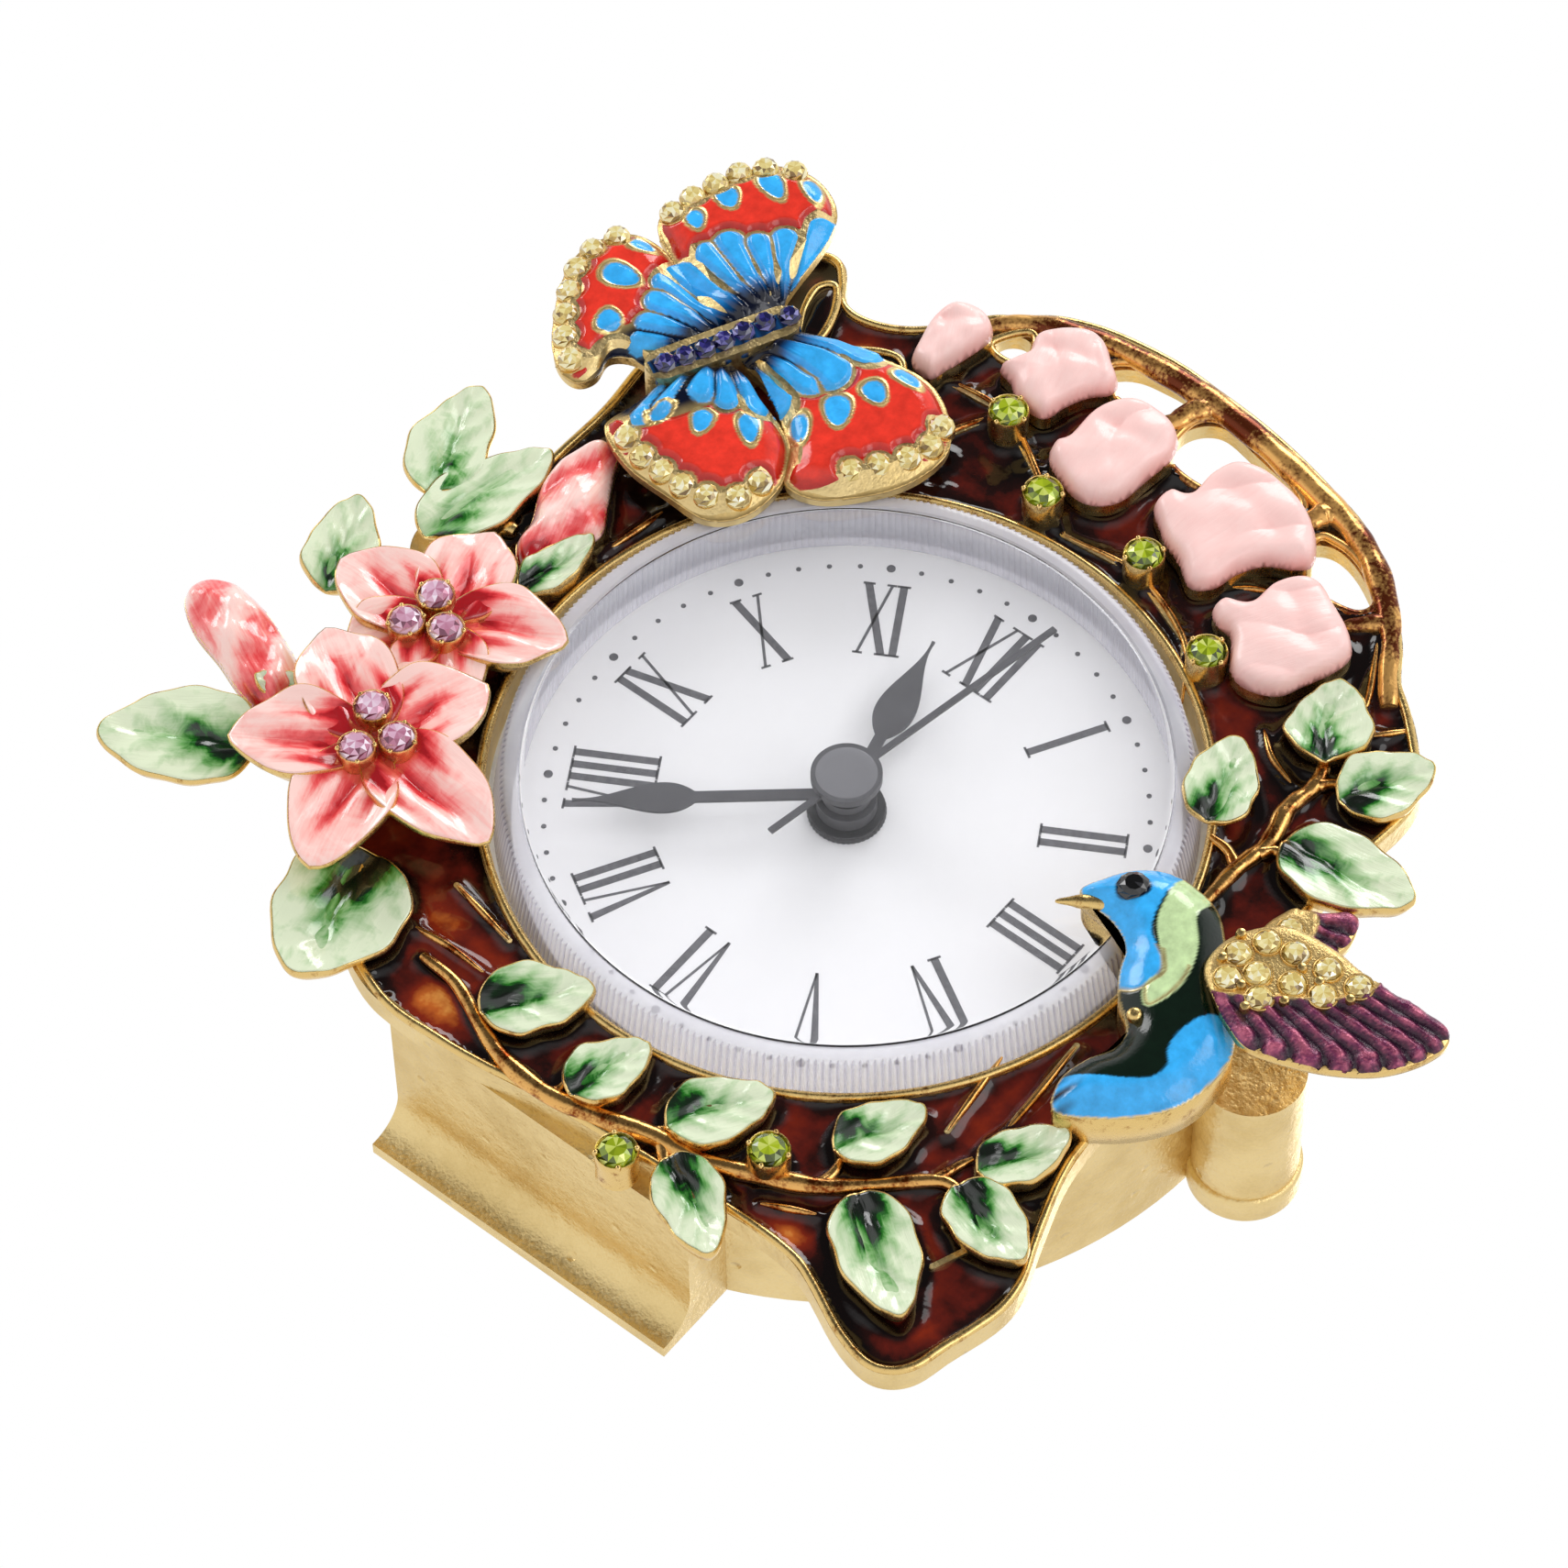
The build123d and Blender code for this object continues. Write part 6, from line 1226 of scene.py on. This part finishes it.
piece("feeler_glaze", [(*drop, {"tone": np.full(len(drop[0]), 0.05)})], frame_glaze, "brown_enamel")

# %% Stones of the butterfly
piece("wing_stones", [brilliant(spot, 1.30, 8.95, 1.15, 10, number) for number, spot in enumerate(edge_places)],
      pale_stone, "pale_stone", replaces=["butterfly_crystals"], facets=True)
piece("wing_settings", [cup(spot, 1.16, 8.2, 9.22, 18) for spot in edge_places], *GILT)
body_places = [(-34.8, 35), (-36.1, 33), (-37, 30.9), (-37.7, 28.9), (-38.5, 27.1), (-39.4, 25.3),
               (-40.3, 23.5)]
piece("body_stones", [brilliant(spot, 1.12, 10.2, 1.0, 8, number + 5) for number, spot in enumerate(body_places)],
      dark_stone, "dark_stone", replaces=["butterfly_body_crystals"], facets=True)

# %% [markdown]
# ## The bird
# The bird is painted in the same way: one height map for its body, with blue, pale green and almost
# black green fields, and one for each wing, where the feathers are long ridges of plum enamel. A gold
# wall carries each of them.

# %% The bird's body
def casting(edge, foot, head, middle=None):
    """The gold wall below an enamelled field: straight sides from its foot up to its head, a little rounded."""
    return dome(edge, [(0.3, 1, foot), (0, 1, foot + 0.3), (0, 1, head - 0.2), (0.2, 1, head),
                       (0.6, 0.7, head)], middle)


bird_corners = [
    (25.2, 1.6), (26, 4.2), (27.6, 6.5), (30, 8), (33, 8.2), (36, 7.3), (38.6, 4.8), (41, 1.8),
    (43.6, -1), (45.6, -3.5), (46, -7), (45.4, -10.3), (43.6, -13.2), (40.8, -15.8), (37.2, -17.8),
    (35.7, -15), (36.2, -12), (37.4, -9.5), (37, -7.2), (34.6, -5.2), (33, -3), (31.8, -0.6), (29.4, 0.8)]
pale_green_corners = [
    (31.8, 8.2), (34.5, 7.8), (35, 5), (37, 2.5), (38.2, -0.5), (38.2, -3.2), (37.4, -4.8), (36.2, -3.5),
    (36.6, -1.5), (35.5, 0), (33.2, 2.5), (32.3, 5)]
head_corners = [
    (24.5, 0.5), (25, 5), (28, 9), (31.8, 9), (31.6, 6.5), (32, 4), (33, 1.5), (35.6, -0.4),
    (36.4, -2.2), (35.4, -4.2), (32.5, -4), (30.5, -1.5)]
tail_corners = [
    (42.5, -2), (44.8, -1.5), (46.8, -4), (46.8, -8), (45.3, -12), (42.5, -15), (39.5, -17.5),
    (36.5, -19), (34.8, -16), (36, -14.6), (39, -13.2), (42, -11), (42.6, -9), (41.6, -7.5), (41.4, -5)]
LEAF_MINT, BOTTLE_GREEN = pigment(0.78, 0.88, 0.66), pigment(0.03, 0.10, 0.06)
EYE_PLACE = (29.0, 4.2)
edge = shifted(outline(bird_corners, 420), 0.12)
places, gap, faces = patch(edge, 0.18)
x, y = places.T
head, pale, tail = (signed_gap(places, corners) for corners in (head_corners, pale_green_corners, tail_corners))
paint = blend(BOTTLE_GREEN, SKY, cover(head, 0.15))
streak = 0.5 + 0.5 * np.sin(x * 3.5 - y * 2.2)
tail_paint = blend(SKY, NIGHT, soft_step((-13.6 - y) / 3) * soft_step((39 - x) / 2) * streak)
paint = blend(paint, tail_paint, cover(tail, 0.25))
paint = blend(paint, LEAF_MINT, soft_step((0.35 - pale) / 0.15))
paint = blend(paint, NIGHT, cover(spot_gap(places, EYE_PLACE, 20, 1.6, 1.5), 0.2))
rim = soft_step((0.20 - gap) / 0.1)
border = np.exp(-((np.minimum(np.abs(head), np.abs(pale)) / 0.14) ** 2)) * (y < 7.8)
metal = np.clip(rim + 0.8 * border * (y < 0.5), 0, 1)
paint = blend(paint, GOLD, metal)
level = 8.47 + 2.0 * (1 - (1 - np.clip(gap / 3.6, 0, 1)) ** 2) - 0.14 * border
piece("bird_skin", [(at_level(places, level), faces, {"paint": paint, "metal": metal})], wing_paint,
      "bird_enamel", modifiers=SHELL, corner=75)
piece("bird_wall", [casting(shifted(edge, -0.1), 4.0, 8.6, (39.5, -4.0))], *GILT, replaces=["bird_body"])
beak = tapered([(27.8, 2.2), (26.4, 1.3), (25.2, 0.4), (24.0, -0.6)], 24, 8.6, 1.9, 0.25, False)
piece("beak", [beak], *GILT)
eye = brilliant(EYE_PLACE, 1.6, 9.75, 1.1, 10, 2)
piece("bird_eye_stone", [eye], black_stone, "black_stone", replaces=["bird_eye"], facets=True)
bead = turned((37.0, -6.2), [0.6, 0.75, 0.6, 0.3], [9.0, 9.6, 9.95, 10.05], 16)
piece("bird_bead", [bead], *GILT)

# %% The feathers of the bird
near_wing_corners = [
    (39.4, 0.7), (39, 3.7), (40.2, 6.5), (42.6, 8.8), (47, 9.3), (52, 8.8), (56.5, 9), (59.6, 8.7),
    (60.3, 7.3), (59.4, 4.5), (57.4, 1.7), (54.5, -0.5), (51, -2.2), (47, -3.4), (44.6, -2.7), (42, -1.3)]
far_wing_corners = [
    (39.1, 10), (39.8, 13.2), (42, 14.4), (43.8, 16), (45.2, 15.8), (45.8, 13.4), (44.8, 10.8), (41.8, 10)]
plate_corners = [
    (39, 0), (38.6, 4), (40.2, 7.2), (42.6, 9.4), (47, 9.9), (51.6, 9.2), (52.4, 7.6), (50.6, 5), (48.6, 3.4),
    (46, 1.6), (44, 0.2), (41.6, -0.9)]
feathers = [
    (50.6, 8, 59.2, 8.3, 1.6), (50.4, 6.7, 59.4, 7, 1.6), (50, 5.3, 58.6, 5.4, 1.7), (49, 4.1, 57.6, 3.8, 1.7),
    (47.8, 2.9, 56, 2.2, 1.7), (46.4, 1.9, 54, 0.7, 1.6), (45, 0.8, 51.8, -0.7, 1.6),
    (43.6, -0.2, 49, -1.8, 1.5), (42.4, -0.9, 46.6, -2.6, 1.4)]
# Dark plum is painted shade for the grooves, rose a painted highlight for the ridge tops.
PLUM, PLUM_GROOVE_SHADE, ROSE_HIGHLIGHT = pigment(0.44, 0.14, 0.32), pigment(0.13, 0.03, 0.12), pigment(0.80, 0.42, 0.52)


def feathered(corners, strokes, plate, low, seed):
    """Ridges along the feathers beside a gold plate; plum on the ridges, nearly black between them as painted shade in
    the grooves, and rose on the ridge tops as painted highlight mixed with glitter.
    """
    def ridges(points):
        found = np.sort([stroke_gap(points, row[:2], row[2:4], row[4] * 1.3, 0.8)[0] for row in strokes], axis=0)
        return found[0], found[1] - found[0]

    edge = shifted(outline(corners, 360), 0.1)
    found, between = ridges(edge)
    edge = shifted(edge, (-0.6 * np.exp(-between / 0.4) * (found < 1.2))[:, None])
    places, gap, faces = patch(edge, 0.16)
    x, y = places.T
    found, between = ridges(places)
    ridge = soft_step(between / (1.7 + 0.5 * np.sin(x * 1.9 + found * 3)))
    fine = 0.5 + 0.5 * np.sin(y * 17 + x * 2.4 + seed)
    glitter = np.modf(np.abs(np.sin(x * 91.7 + y * 57.3)) * 917.3)[0] ** 5
    # Nearly black in the grooves between ridges: painted shade.
    paint = blend(PLUM_GROOVE_SHADE, PLUM, np.clip(ridge * (0.7 + 0.5 * fine), 0, 1))
    # Rose on the ridge tops is a painted highlight, with sparse glitter.
    highlight_patches = 0.5 + 0.5 * np.sin(x * 2.3 + 3 * np.sin(y * 1.7 + seed))
    rosy_glitter_and_highlight = 0.8 * ridge * glitter + 0.65 * highlight_patches * soft_step((ridge - 0.6) / 0.4)
    paint = blend(paint, ROSE_HIGHLIGHT, np.clip(rosy_glitter_and_highlight, 0, 1))
    plate_gap = signed_gap(places, plate)
    on_plate = cover(plate_gap, 0.2)
    paint = blend(paint, blend(GOLD, DULL_GOLD, fine * 0.6), on_plate)
    level = low + (1 - np.exp(-gap / 0.35)) * 0.75 + 0.50 * ridge * (1 - on_plate) + 0.25 * on_plate
    level = level + 0.30 * np.exp(-((plate_gap / 0.35) ** 2))
    metal = np.maximum(0.7 * on_plate, 0.35 * ridge)
    return at_level(places, level), faces, {"paint": paint, "metal": metal}


print(len(feathers), "feathers on the near wing")

# %% Build both wings and set their stones
wing_walls = [casting(outline(near_wing_corners, 240), 9.4, 10.6), casting(outline(far_wing_corners, 160), 4.0, 5.5)]
piece("bird_wing_walls", wing_walls, *GILT, replaces=["bird_wing", "bird_far_wing"])
far_feathers = [(42.6, 11.4, 46.0, 12.0, 1.2), (42.4, 12.6, 46.4, 13.6, 1.2), (42.0, 13.6, 45.4, 15.4, 1.2)]
piece("near_wing", [feathered(near_wing_corners, feathers, plate_corners, 10.45, 0.0)], feather_paint,
      "feather_enamel", modifiers=SHELL, corner=75)
far_plate_corners = [(38.6, 9.6), (38.8, 12.6), (41.2, 14.0), (42.8, 13.2), (43.2, 11.0), (42.0, 9.4)]
piece("far_wing", [feathered(far_wing_corners, far_feathers, far_plate_corners, 5.35, 2.0)], feather_paint,
      "feather_enamel", modifiers=SHELL, corner=75)
bird_places = [
    (40.9, 3.5), (42.2, 6), (44.8, 6.6), (48, 7), (51.2, 7.2), (41.7, 0.9), (43.5, 2.8), (46.5, 3.9),
    (49.3, 4.5), (45.1, 0.9)]
far_stone = (41.1, 11.3)
bird_stones = [brilliant(spot, 1.28, 11.1, 1.05, 10, number + 3) for number, spot in enumerate(bird_places)]
bird_stones.append(brilliant(far_stone, 1.15, 5.9, 1.05, 10, 9))
piece("bird_stones", bird_stones, pale_stone, "pale_stone", replaces=["bird_crystals"], facets=True)
bird_settings = [cup(spot, 1.25, 10.8, 11.65, 18) for spot in bird_places] + [cup(far_stone, 1.15, 5.4, 6.4, 18)]
bead_places = [(43.1, 0.9), (44.7, -0.7), (47.0, 1.9), (48.2, 5.4), (46.2, 5.6), (40.1, 2.2), (39.9, 5.2),
               (51.4, 5.6)]
bird_settings += [turned(spot, [0.5, 0.5, 0.42, 0.2], [11.0, 11.6, 11.9, 12.0], 14) for spot in bead_places]
piece("bird_settings", bird_settings, *GILT)

# %% [markdown]
# ## The glaze
# The glaze comes last, because it climbs every wall, leaf, bell and stem that stands in it, and it is
# painted darkest there, as shade. Its level and its tone both follow from the distance to the nearest of them.

# %% Glaze as a height map
GRID_STEP = 0.29
GLAZE_FLOOR = 3.58   # level of the glaze in the open
grid_x = np.arange(-46.5, 46.5, GRID_STEP)
grid_y = np.arange(-46.5, 58.0, GRID_STEP)
flat = np.stack(np.meshgrid(grid_x, grid_y), -1).reshape(-1, 2)
kept = within(flat, edge_line) & (np.linalg.norm(flat, axis=1) > BORE)
for line in window_lines:
    kept &= ~within(flat, line)
wall_places = np.vstack([edge_line[::2], bore_line, *[line[::2] for line in window_lines], *rib_lines])
gap, bank_gap = np.zeros(len(flat)), np.zeros(len(flat))
gap[kept] = nearest(flat[kept], wall_places)
bank_gap[kept] = nearest(flat[kept], np.vstack(banks))
ripple = 0.16 * np.sin(flat[:, 0] * 0.9 + 1.3 * np.sin(flat[:, 1] * 0.5)) * np.sin(flat[:, 1] * 0.8)
climb = 0.55 * np.exp(-np.maximum(gap - 0.3, 0) / 0.5)
climb = climb + 0.45 * np.exp(-(np.maximum(bank_gap - 0.35, 0) / 0.8) ** 1.5)
glaze_level = GLAZE_FLOOR + np.minimum(climb, 0.8) + ripple * np.clip(gap / 2, 0, 1)
# Places where the gold shines through: x, y, radius in mm and how much lighter the glaze is there.
amber_pools = np.array([
    (-13, -41.5, 4, 0.55), (24.5, -40.2, 3, 0.60), (38, 12, 3, 0.30), (30.5, -17, 6, 0.22),
    (-18, -33, 7, 0.20), (26, 24, 4, 0.20), (15, 39.5, 2.5, 0.50), (-36, 10, 4, 0.20),
    (36, -33.5, 4, 0.20), (-21, 44, 4, 0.15), (20, -29.5, 4, 0.25), (-30, 40.5, 3, 0.3),
    (9, -33, 3, 0.2), (-26, -28, 3, 0.15), (40.5, -40, 4, 0.15)])
pool_gap = np.linalg.norm(flat[:, None] - amber_pools[None, :, :2], axis=2)
pool_tone = (amber_pools[:, 3] * np.exp(-((pool_gap / amber_pools[:, 2]) ** 2))).sum(1)
# The tone falls to nearly black next to walls, leaves, bells, stems and cups: painted shade.
glaze_tone_and_shade = 0.02 + (0.30 * np.clip((gap - 0.5) / 1.8, 0, 1) + pool_tone) * soft_step((bank_gap - 0.3) / 1.0)
corner = np.arange(len(flat)).reshape(-1, len(grid_x))
quads = np.stack([corner[:-1, :-1], corner[:-1, 1:], corner[1:, 1:], corner[1:, :-1]], -1).reshape(-1, 4)
quads = quads[kept[quads].all(1)]
used, compact = np.unique(quads, return_inverse=True)
quads = compact.reshape(-1, 4)
glaze_faces = np.vstack([quads[:, [0, 1, 2]], quads[:, [0, 2, 3]]])
glaze_points = at_level(flat[used], glaze_level[used])
piece("frame_glaze", [(glaze_points, glaze_faces, {"tone": glaze_tone_and_shade[used]})], frame_glaze, "brown_enamel",
      replaces=["frame_enamel"], corner=80,
      modifiers=[("SOLIDIFY", {"thickness": 0.2 * MM, "offset": -1.0})])

# %% [markdown]
# ## Dial, hands and lens
# The numerals are printed on the dial. Print is very thin, so each stroke is a flat bar a few hundredths
# of a millimetre high: a slanted box from its foot to its head, finished with fine bars as serifs.

# %% Strokes of the numerals
print_low = -(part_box("dial")[0][1] - dial_middle[1]) / MM
print("the dial's face is at", print_low, "mm on the board")
PRINT_HEIGHT = 0.04
NUMERAL_FOOT, NUMERAL_HEAD, MINUTE_RING = 17.4, 25.2, 27.1   # distances from the dial's middle


def bar(start, end, width_start, width_end):
    """The four corners of a bar between two points; its width may change on the way."""
    ahead = (end - start) / np.linalg.norm(end - start)
    side = np.array([-ahead[1], ahead[0]])
    return np.array([start - side * width_start / 2, end - side * width_end / 2, end + side * width_end / 2,
                     start + side * width_start / 2])


# Bars of the letters, with the foot at 0 and the head at 1: x and y of both ends, then the width at both.
STEM, THIN, FINE = 0.72, 0.26, 0.22
LETTERS = {
    "I": [(0, 0, 0, 1, STEM, STEM), (-0.62, 0, 0.62, 0, FINE, FINE), (-0.62, 1, 0.62, 1, FINE, FINE)],
    "V": [(-0.95, 1, 0, 0, STEM, 0.30), (0.95, 1, 0, 0, THIN, 0.20), (-1.5, 1, -0.4, 1, FINE, FINE),
          (0.5, 1, 1.4, 1, FINE, FINE)],
    "X": [(-1.1, 1, 1.1, 0, STEM, STEM), (1.1, 1, -1.1, 0, THIN, THIN), (-1.6, 1, -0.5, 1, FINE, FINE),
          (0.6, 1, 1.5, 1, FINE, FINE), (-1.5, 0, -0.6, 0, FINE, FINE), (0.5, 0, 1.6, 0, FINE, FINE)]}
half_widths = {"I": 0.66, "V": 1.45, "X": 1.5}
numerals = ["XII", "I", "II", "III", "IV", "V", "VI", "VII", "VIII", "IX", "X", "XI"]


def numeral(text, hour):
    """Letters side by side, then turned so that their feet point to the middle of the dial."""
    outward = heading(90 - 30 * hour)
    sideways = outward[::-1] * [1, -1]
    reach = -sum(2 * half_widths[kind] for kind in text) / 2
    bars = []
    for kind in text:
        middle = reach + half_widths[kind]
        reach += 2 * half_widths[kind]
        for x0, y0, x1, y1, first, last in LETTERS[kind]:
            ends = [(middle + x) * sideways + (NUMERAL_FOOT + y * (NUMERAL_HEAD - NUMERAL_FOOT)) * outward
                    for x, y in ((x0, y0), (x1, y1))]
            bars.append(bar(*ends, first, last))
    return bars


def printed(corners):
    """A flat shape raised by the thickness of the print."""
    return skin(np.stack([at_level(corners, print_low - 0.01), at_level(corners, print_low + PRINT_HEIGHT)]))


flat_bars = [corners for hour, text in enumerate(numerals) for corners in numeral(text, hour)]
piece("numerals", [printed(corners) for corners in flat_bars], dial_print, "hand_black", corner=30)


def dot(minute):
    """A round dot, larger at the hours, that lies on the minute ring."""
    radius = 0.42 if minute % 5 == 0 else 0.24
    return MINUTE_RING * heading(90 - 6 * minute) + radius * unit(full_turn(16))


piece("minute_dots", [printed(dot(minute)) for minute in range(60)], dial_print, "hand_black", corner=30)

# %% [markdown]
# The lens is one moulding: a clear pane on a side wall with some three hundred fine ribs. The ribs
# scatter the light, so the wall looks pale lavender where the pane is as good as invisible.

# %% The ribbed side of the lens
RIBS = 300
RIB_SHAPE = np.array([0.0, 0.7, 1.0, 0.7])   # rise at four places from one rib to the next


def ribbed_ring(radius, level, rib=0.0, ribs=RIBS):
    """A circle whose radius swings out by the rib's height once for every rib."""
    reach = radius + rib * np.tile(RIB_SHAPE, ribs)
    return at_level(reach[:, None] * unit(full_turn(len(reach))), level)


# Section of the wall, from its outer foot round to its inner foot: radius, level and height of the ribs.
wall_rows = [
    (32.0, -1.55, 0), (32.0, 1.5, 0), (31.72, 1.9, 0.28), (31.42, 3.4, 0.34), (31.12, 5.0, 0.34),
    (30.84, 6.5, 0.34), (30.78, 6.8, 0.12), (30.6, 6.96, 0), (30.0, 7.0, 0), (29.6, 6.96, 0), (29.42, 6.7, 0),
    (29.40, 5.8, -0.12), (29.40, 3.0, -0.12), (29.40, 0.4, -0.12), (29.42, 0.02, 0), (30.4, 0.0, 0),
    (30.4, -1.55, 0)]
lens_wall = skin(np.stack([ribbed_ring(*row) for row in wall_rows]), loop=True)
# The rib crests are painted lighter than the troughs: a painted highlight along each rib.
crests = np.tile(RIB_SHAPE, RIBS)
rib_highlight = np.concatenate([crests if row[2] > 0.2 else np.full(len(crests), 0.8) for row in wall_rows])
wall_acrylic, wall_shader = new_material("wall_acrylic", rgb(0.95, 0.95, 0.98), 0.14, 0.0, 0.4)
wall_rays = node(wall_acrylic, "ShaderNodeLightPath").outputs["Is Shadow Ray"]
link(wall_acrylic, maths(wall_acrylic, "SUBTRACT", 0.46, maths(wall_acrylic, "MULTIPLY", wall_rays, 0.44)),
     wall_shader.inputs["Alpha"])
haze_and_rib_highlight = maths(wall_acrylic, "ADD", maths(wall_acrylic, "MULTIPLY", board_noise(wall_acrylic, 0.25, 3.0), 0.3),
             maths(wall_acrylic, "MULTIPLY", value_of(wall_acrylic, "tone").outputs["Fac"], 0.7))
link(wall_acrylic, ramp(wall_acrylic, haze_and_rib_highlight, [(0.2, rgb(0.62, 0.60, 0.70)), (0.8, rgb(0.97, 0.97, 1.0))]),
     wall_shader.inputs["Base Color"])
piece("lens_wall", [(*lens_wall, {"tone": rib_highlight})], wall_acrylic, "clear_acrylic", replaces=["lens"], corner=28)
pane = turned((0, 0), [28.9, 29.3, 29.36, 29.36, 29.3, 28.9], [6.2, 6.22, 6.3, 6.88, 6.96, 7.0], 240)
piece("lens_pane", [pane], acrylic, "clear_acrylic")

# %% [markdown]
# ## The hub
# Over the dial the hands sit on nested tubes, held by a knurled nut. A domed cap closes the seconds hand.

# %% Cap, tubes and nut
cap = turned((0, 0), [0.4, 2.9, 3.16, 3.24, 3.24, 3.12, 2.8, 2.0, 1.0, 0.3],
             [5.18, 5.2, 5.26, 5.4, 5.72, 5.9, 6.0, 6.06, 6.09, 6.1], 96)
glossy_black = grained("glossy_black", rgb(0.13, 0.13, 0.14), 0.16, spots=6, depth=0.002, spread=0.04, coat=0.3)
cap_grey = grained("cap_grey", rgb(0.43, 0.43, 0.44), 0.18, spots=0.3, depth=0.01, spread=0.03, coat=0.2)
piece("seconds_cap", [cap], cap_grey, "hand_black", body="seconds_works")
collar_rows = [(2.24, 3.45), (2.24, 3.5), (2.05, 3.56), (1.95, 3.6), (1.75, 3.62), (1.2, 3.62), (1.2, 3.45)]
collar = skin(np.stack([ribbed_ring(*row, ribs=24) for row in collar_rows]), loop=True)
piece("minute_collar", [collar], glossy_black, "hand_black", body="minute_works")
nut_rows = [(2.75, 0.02, 0), (3.5, 0.02, 0.1), (3.5, 0.35, 0.1), (3.42, 0.62, 0.08), (3.1, 0.78, 0), (2.75, 0.8, 0)]
nut = skin(np.stack([ribbed_ring(*row, ribs=48) for row in nut_rows]), loop=True)
piece("nut_knurl", [nut], glossy_black, "hand_black")

# %% [markdown]
# ## Light, floor and camera
# The clock stands on a pale floor. The reference view looks at the clock from in front, from the right
# and from below, as if it lay on its back, so the floor is drawn on its upper side only, and it
# neither throws light back nor shades anything. Surfaces are lit by an even pale sky and five lamps.
# A mirror-like face would show that sky as a white sheet, so mirrored rays see it dimmed towards the
# place that a flat face of the clock mirrors into the camera.

# %% World
world = bpy.data.worlds.new("studio")
bpy.context.scene.world = world
world.use_nodes = True
world.node_tree.nodes.clear()
world.node_tree.nodes.new("ShaderNodeOutputWorld").name = "World Output"
rays = node(world, "ShaderNodeLightPath").outputs
seen = maths(world, "MAXIMUM", rays["Is Camera Ray"], rays["Is Transmission Ray"])
toward = node(world, "ShaderNodeVectorMath")
toward.operation = "DOT_PRODUCT"
toward.inputs[1].default_value = (-0.355, -0.824, 0.441)   # where a flat face of the clock mirrors the camera
link(world, node(world, "ShaderNodeTexCoord").outputs["Generated"], toward.inputs[0])
dimmed = ramp(world, toward.outputs["Value"], [(0.0, grey(1.0)), (0.62, grey(0.85)), (0.86, grey(0.10))])
sky = node(world, "ShaderNodeMixRGB", Fac=rays["Is Glossy Ray"], Color1=grey(0.82), Color2=dimmed)
lit = node(world, "ShaderNodeBackground", Color=sky.outputs["Color"], Strength=0.95)
shown = node(world, "ShaderNodeBackground", Color=grey(1), Strength=1.0)
show_mix(world, seen, lit, shown, "World Output")
print("world with", len(world.node_tree.nodes), "nodes")

# %% Floor
floor_mesh = bpy.data.meshes.new("floor")
floor_mesh.from_pydata([(-1, -1, 0), (1, -1, 0), (1, 1, 0), (-1, 1, 0)], [], [(0, 1, 2, 3)])
floor = bpy.data.objects.new("floor", floor_mesh)
bpy.context.scene.collection.objects.link(floor)
floor_paint, floor_shader = new_material("floor_paint", rgb(0.96, 0.96, 0.96), 0.6)
below = node(floor_paint, "ShaderNodeNewGeometry").outputs["Backfacing"]
show_mix(floor_paint, below, floor_shader, node(floor_paint, "ShaderNodeBsdfTransparent"))
floor_mesh.materials.append(floor_paint)
floor.visible_shadow = floor.visible_diffuse = floor.visible_glossy = floor.visible_transmission = False
print("floor of", floor.dimensions[0], "m")

# %% Camera
CAMERA_TURN = (0.929518102, 0.630259101, 0.318681789)   # axis times angle, from clock to camera
CAMERA_STEP = (5.67676845, 2.58886867, 610.650684)      # millimetres, after that turn
FOCAL_PIXELS, PICTURE_PIXELS = 7363.12268, 1710.0
SENSOR_WIDTH = 36.0
turn = Vector(CAMERA_TURN)
to_camera = Matrix.Rotation(turn.length, 3, turn.normalized())
eye = -(to_camera.transposed() @ Vector(CAMERA_STEP)) * MM + Vector(dial_middle)
axes = Matrix((to_camera[0], -to_camera[1], -to_camera[2])).transposed()
camera_data = bpy.data.cameras.new("camera")
camera_data.sensor_width = SENSOR_WIDTH
camera_data.lens = FOCAL_PIXELS / PICTURE_PIXELS * SENSOR_WIDTH
camera = bpy.data.objects.new("camera", camera_data)
camera.matrix_world = Matrix.Translation(eye) @ axes.to_4x4()
bpy.context.scene.collection.objects.link(camera)
bpy.context.scene.camera = camera
print("camera at", eye[:], "lens", camera_data.lens)

# %% Lamps
CLOCK_MIDDLE = Vector((0, 0, 0.047))


def lamp(name, place, size, watts):
    """A round lamp that shines at the clock's middle; its size is in metres."""
    data = bpy.data.lights.new(name, "AREA")
    data.shape, data.size, data.energy = "DISK", size, watts
    made = bpy.data.objects.new(name, data)
    made.location = place
    made.rotation_euler = (CLOCK_MIDDLE - Vector(place)).to_track_quat("-Z", "Y").to_euler()
    bpy.context.scene.collection.objects.link(made)


lamp("key_lamp", (-0.45, -0.6, 1.3), 0.7, 6.6)
lamp("left_lamp", (-1.3, -0.55, 0.1), 0.6, 4.4)
lamp("side_lamp", (1.1, -0.8, 0.1), 0.6, 1.8)
lamp("fill_lamp", (0.75, -1.0, 1.0), 0.8, 3.6)
lamp("rim_lamp", (0.1, 1.0, 0.9), 0.8, 3.0)

bpy.context.scene.view_settings.view_transform = "Standard"
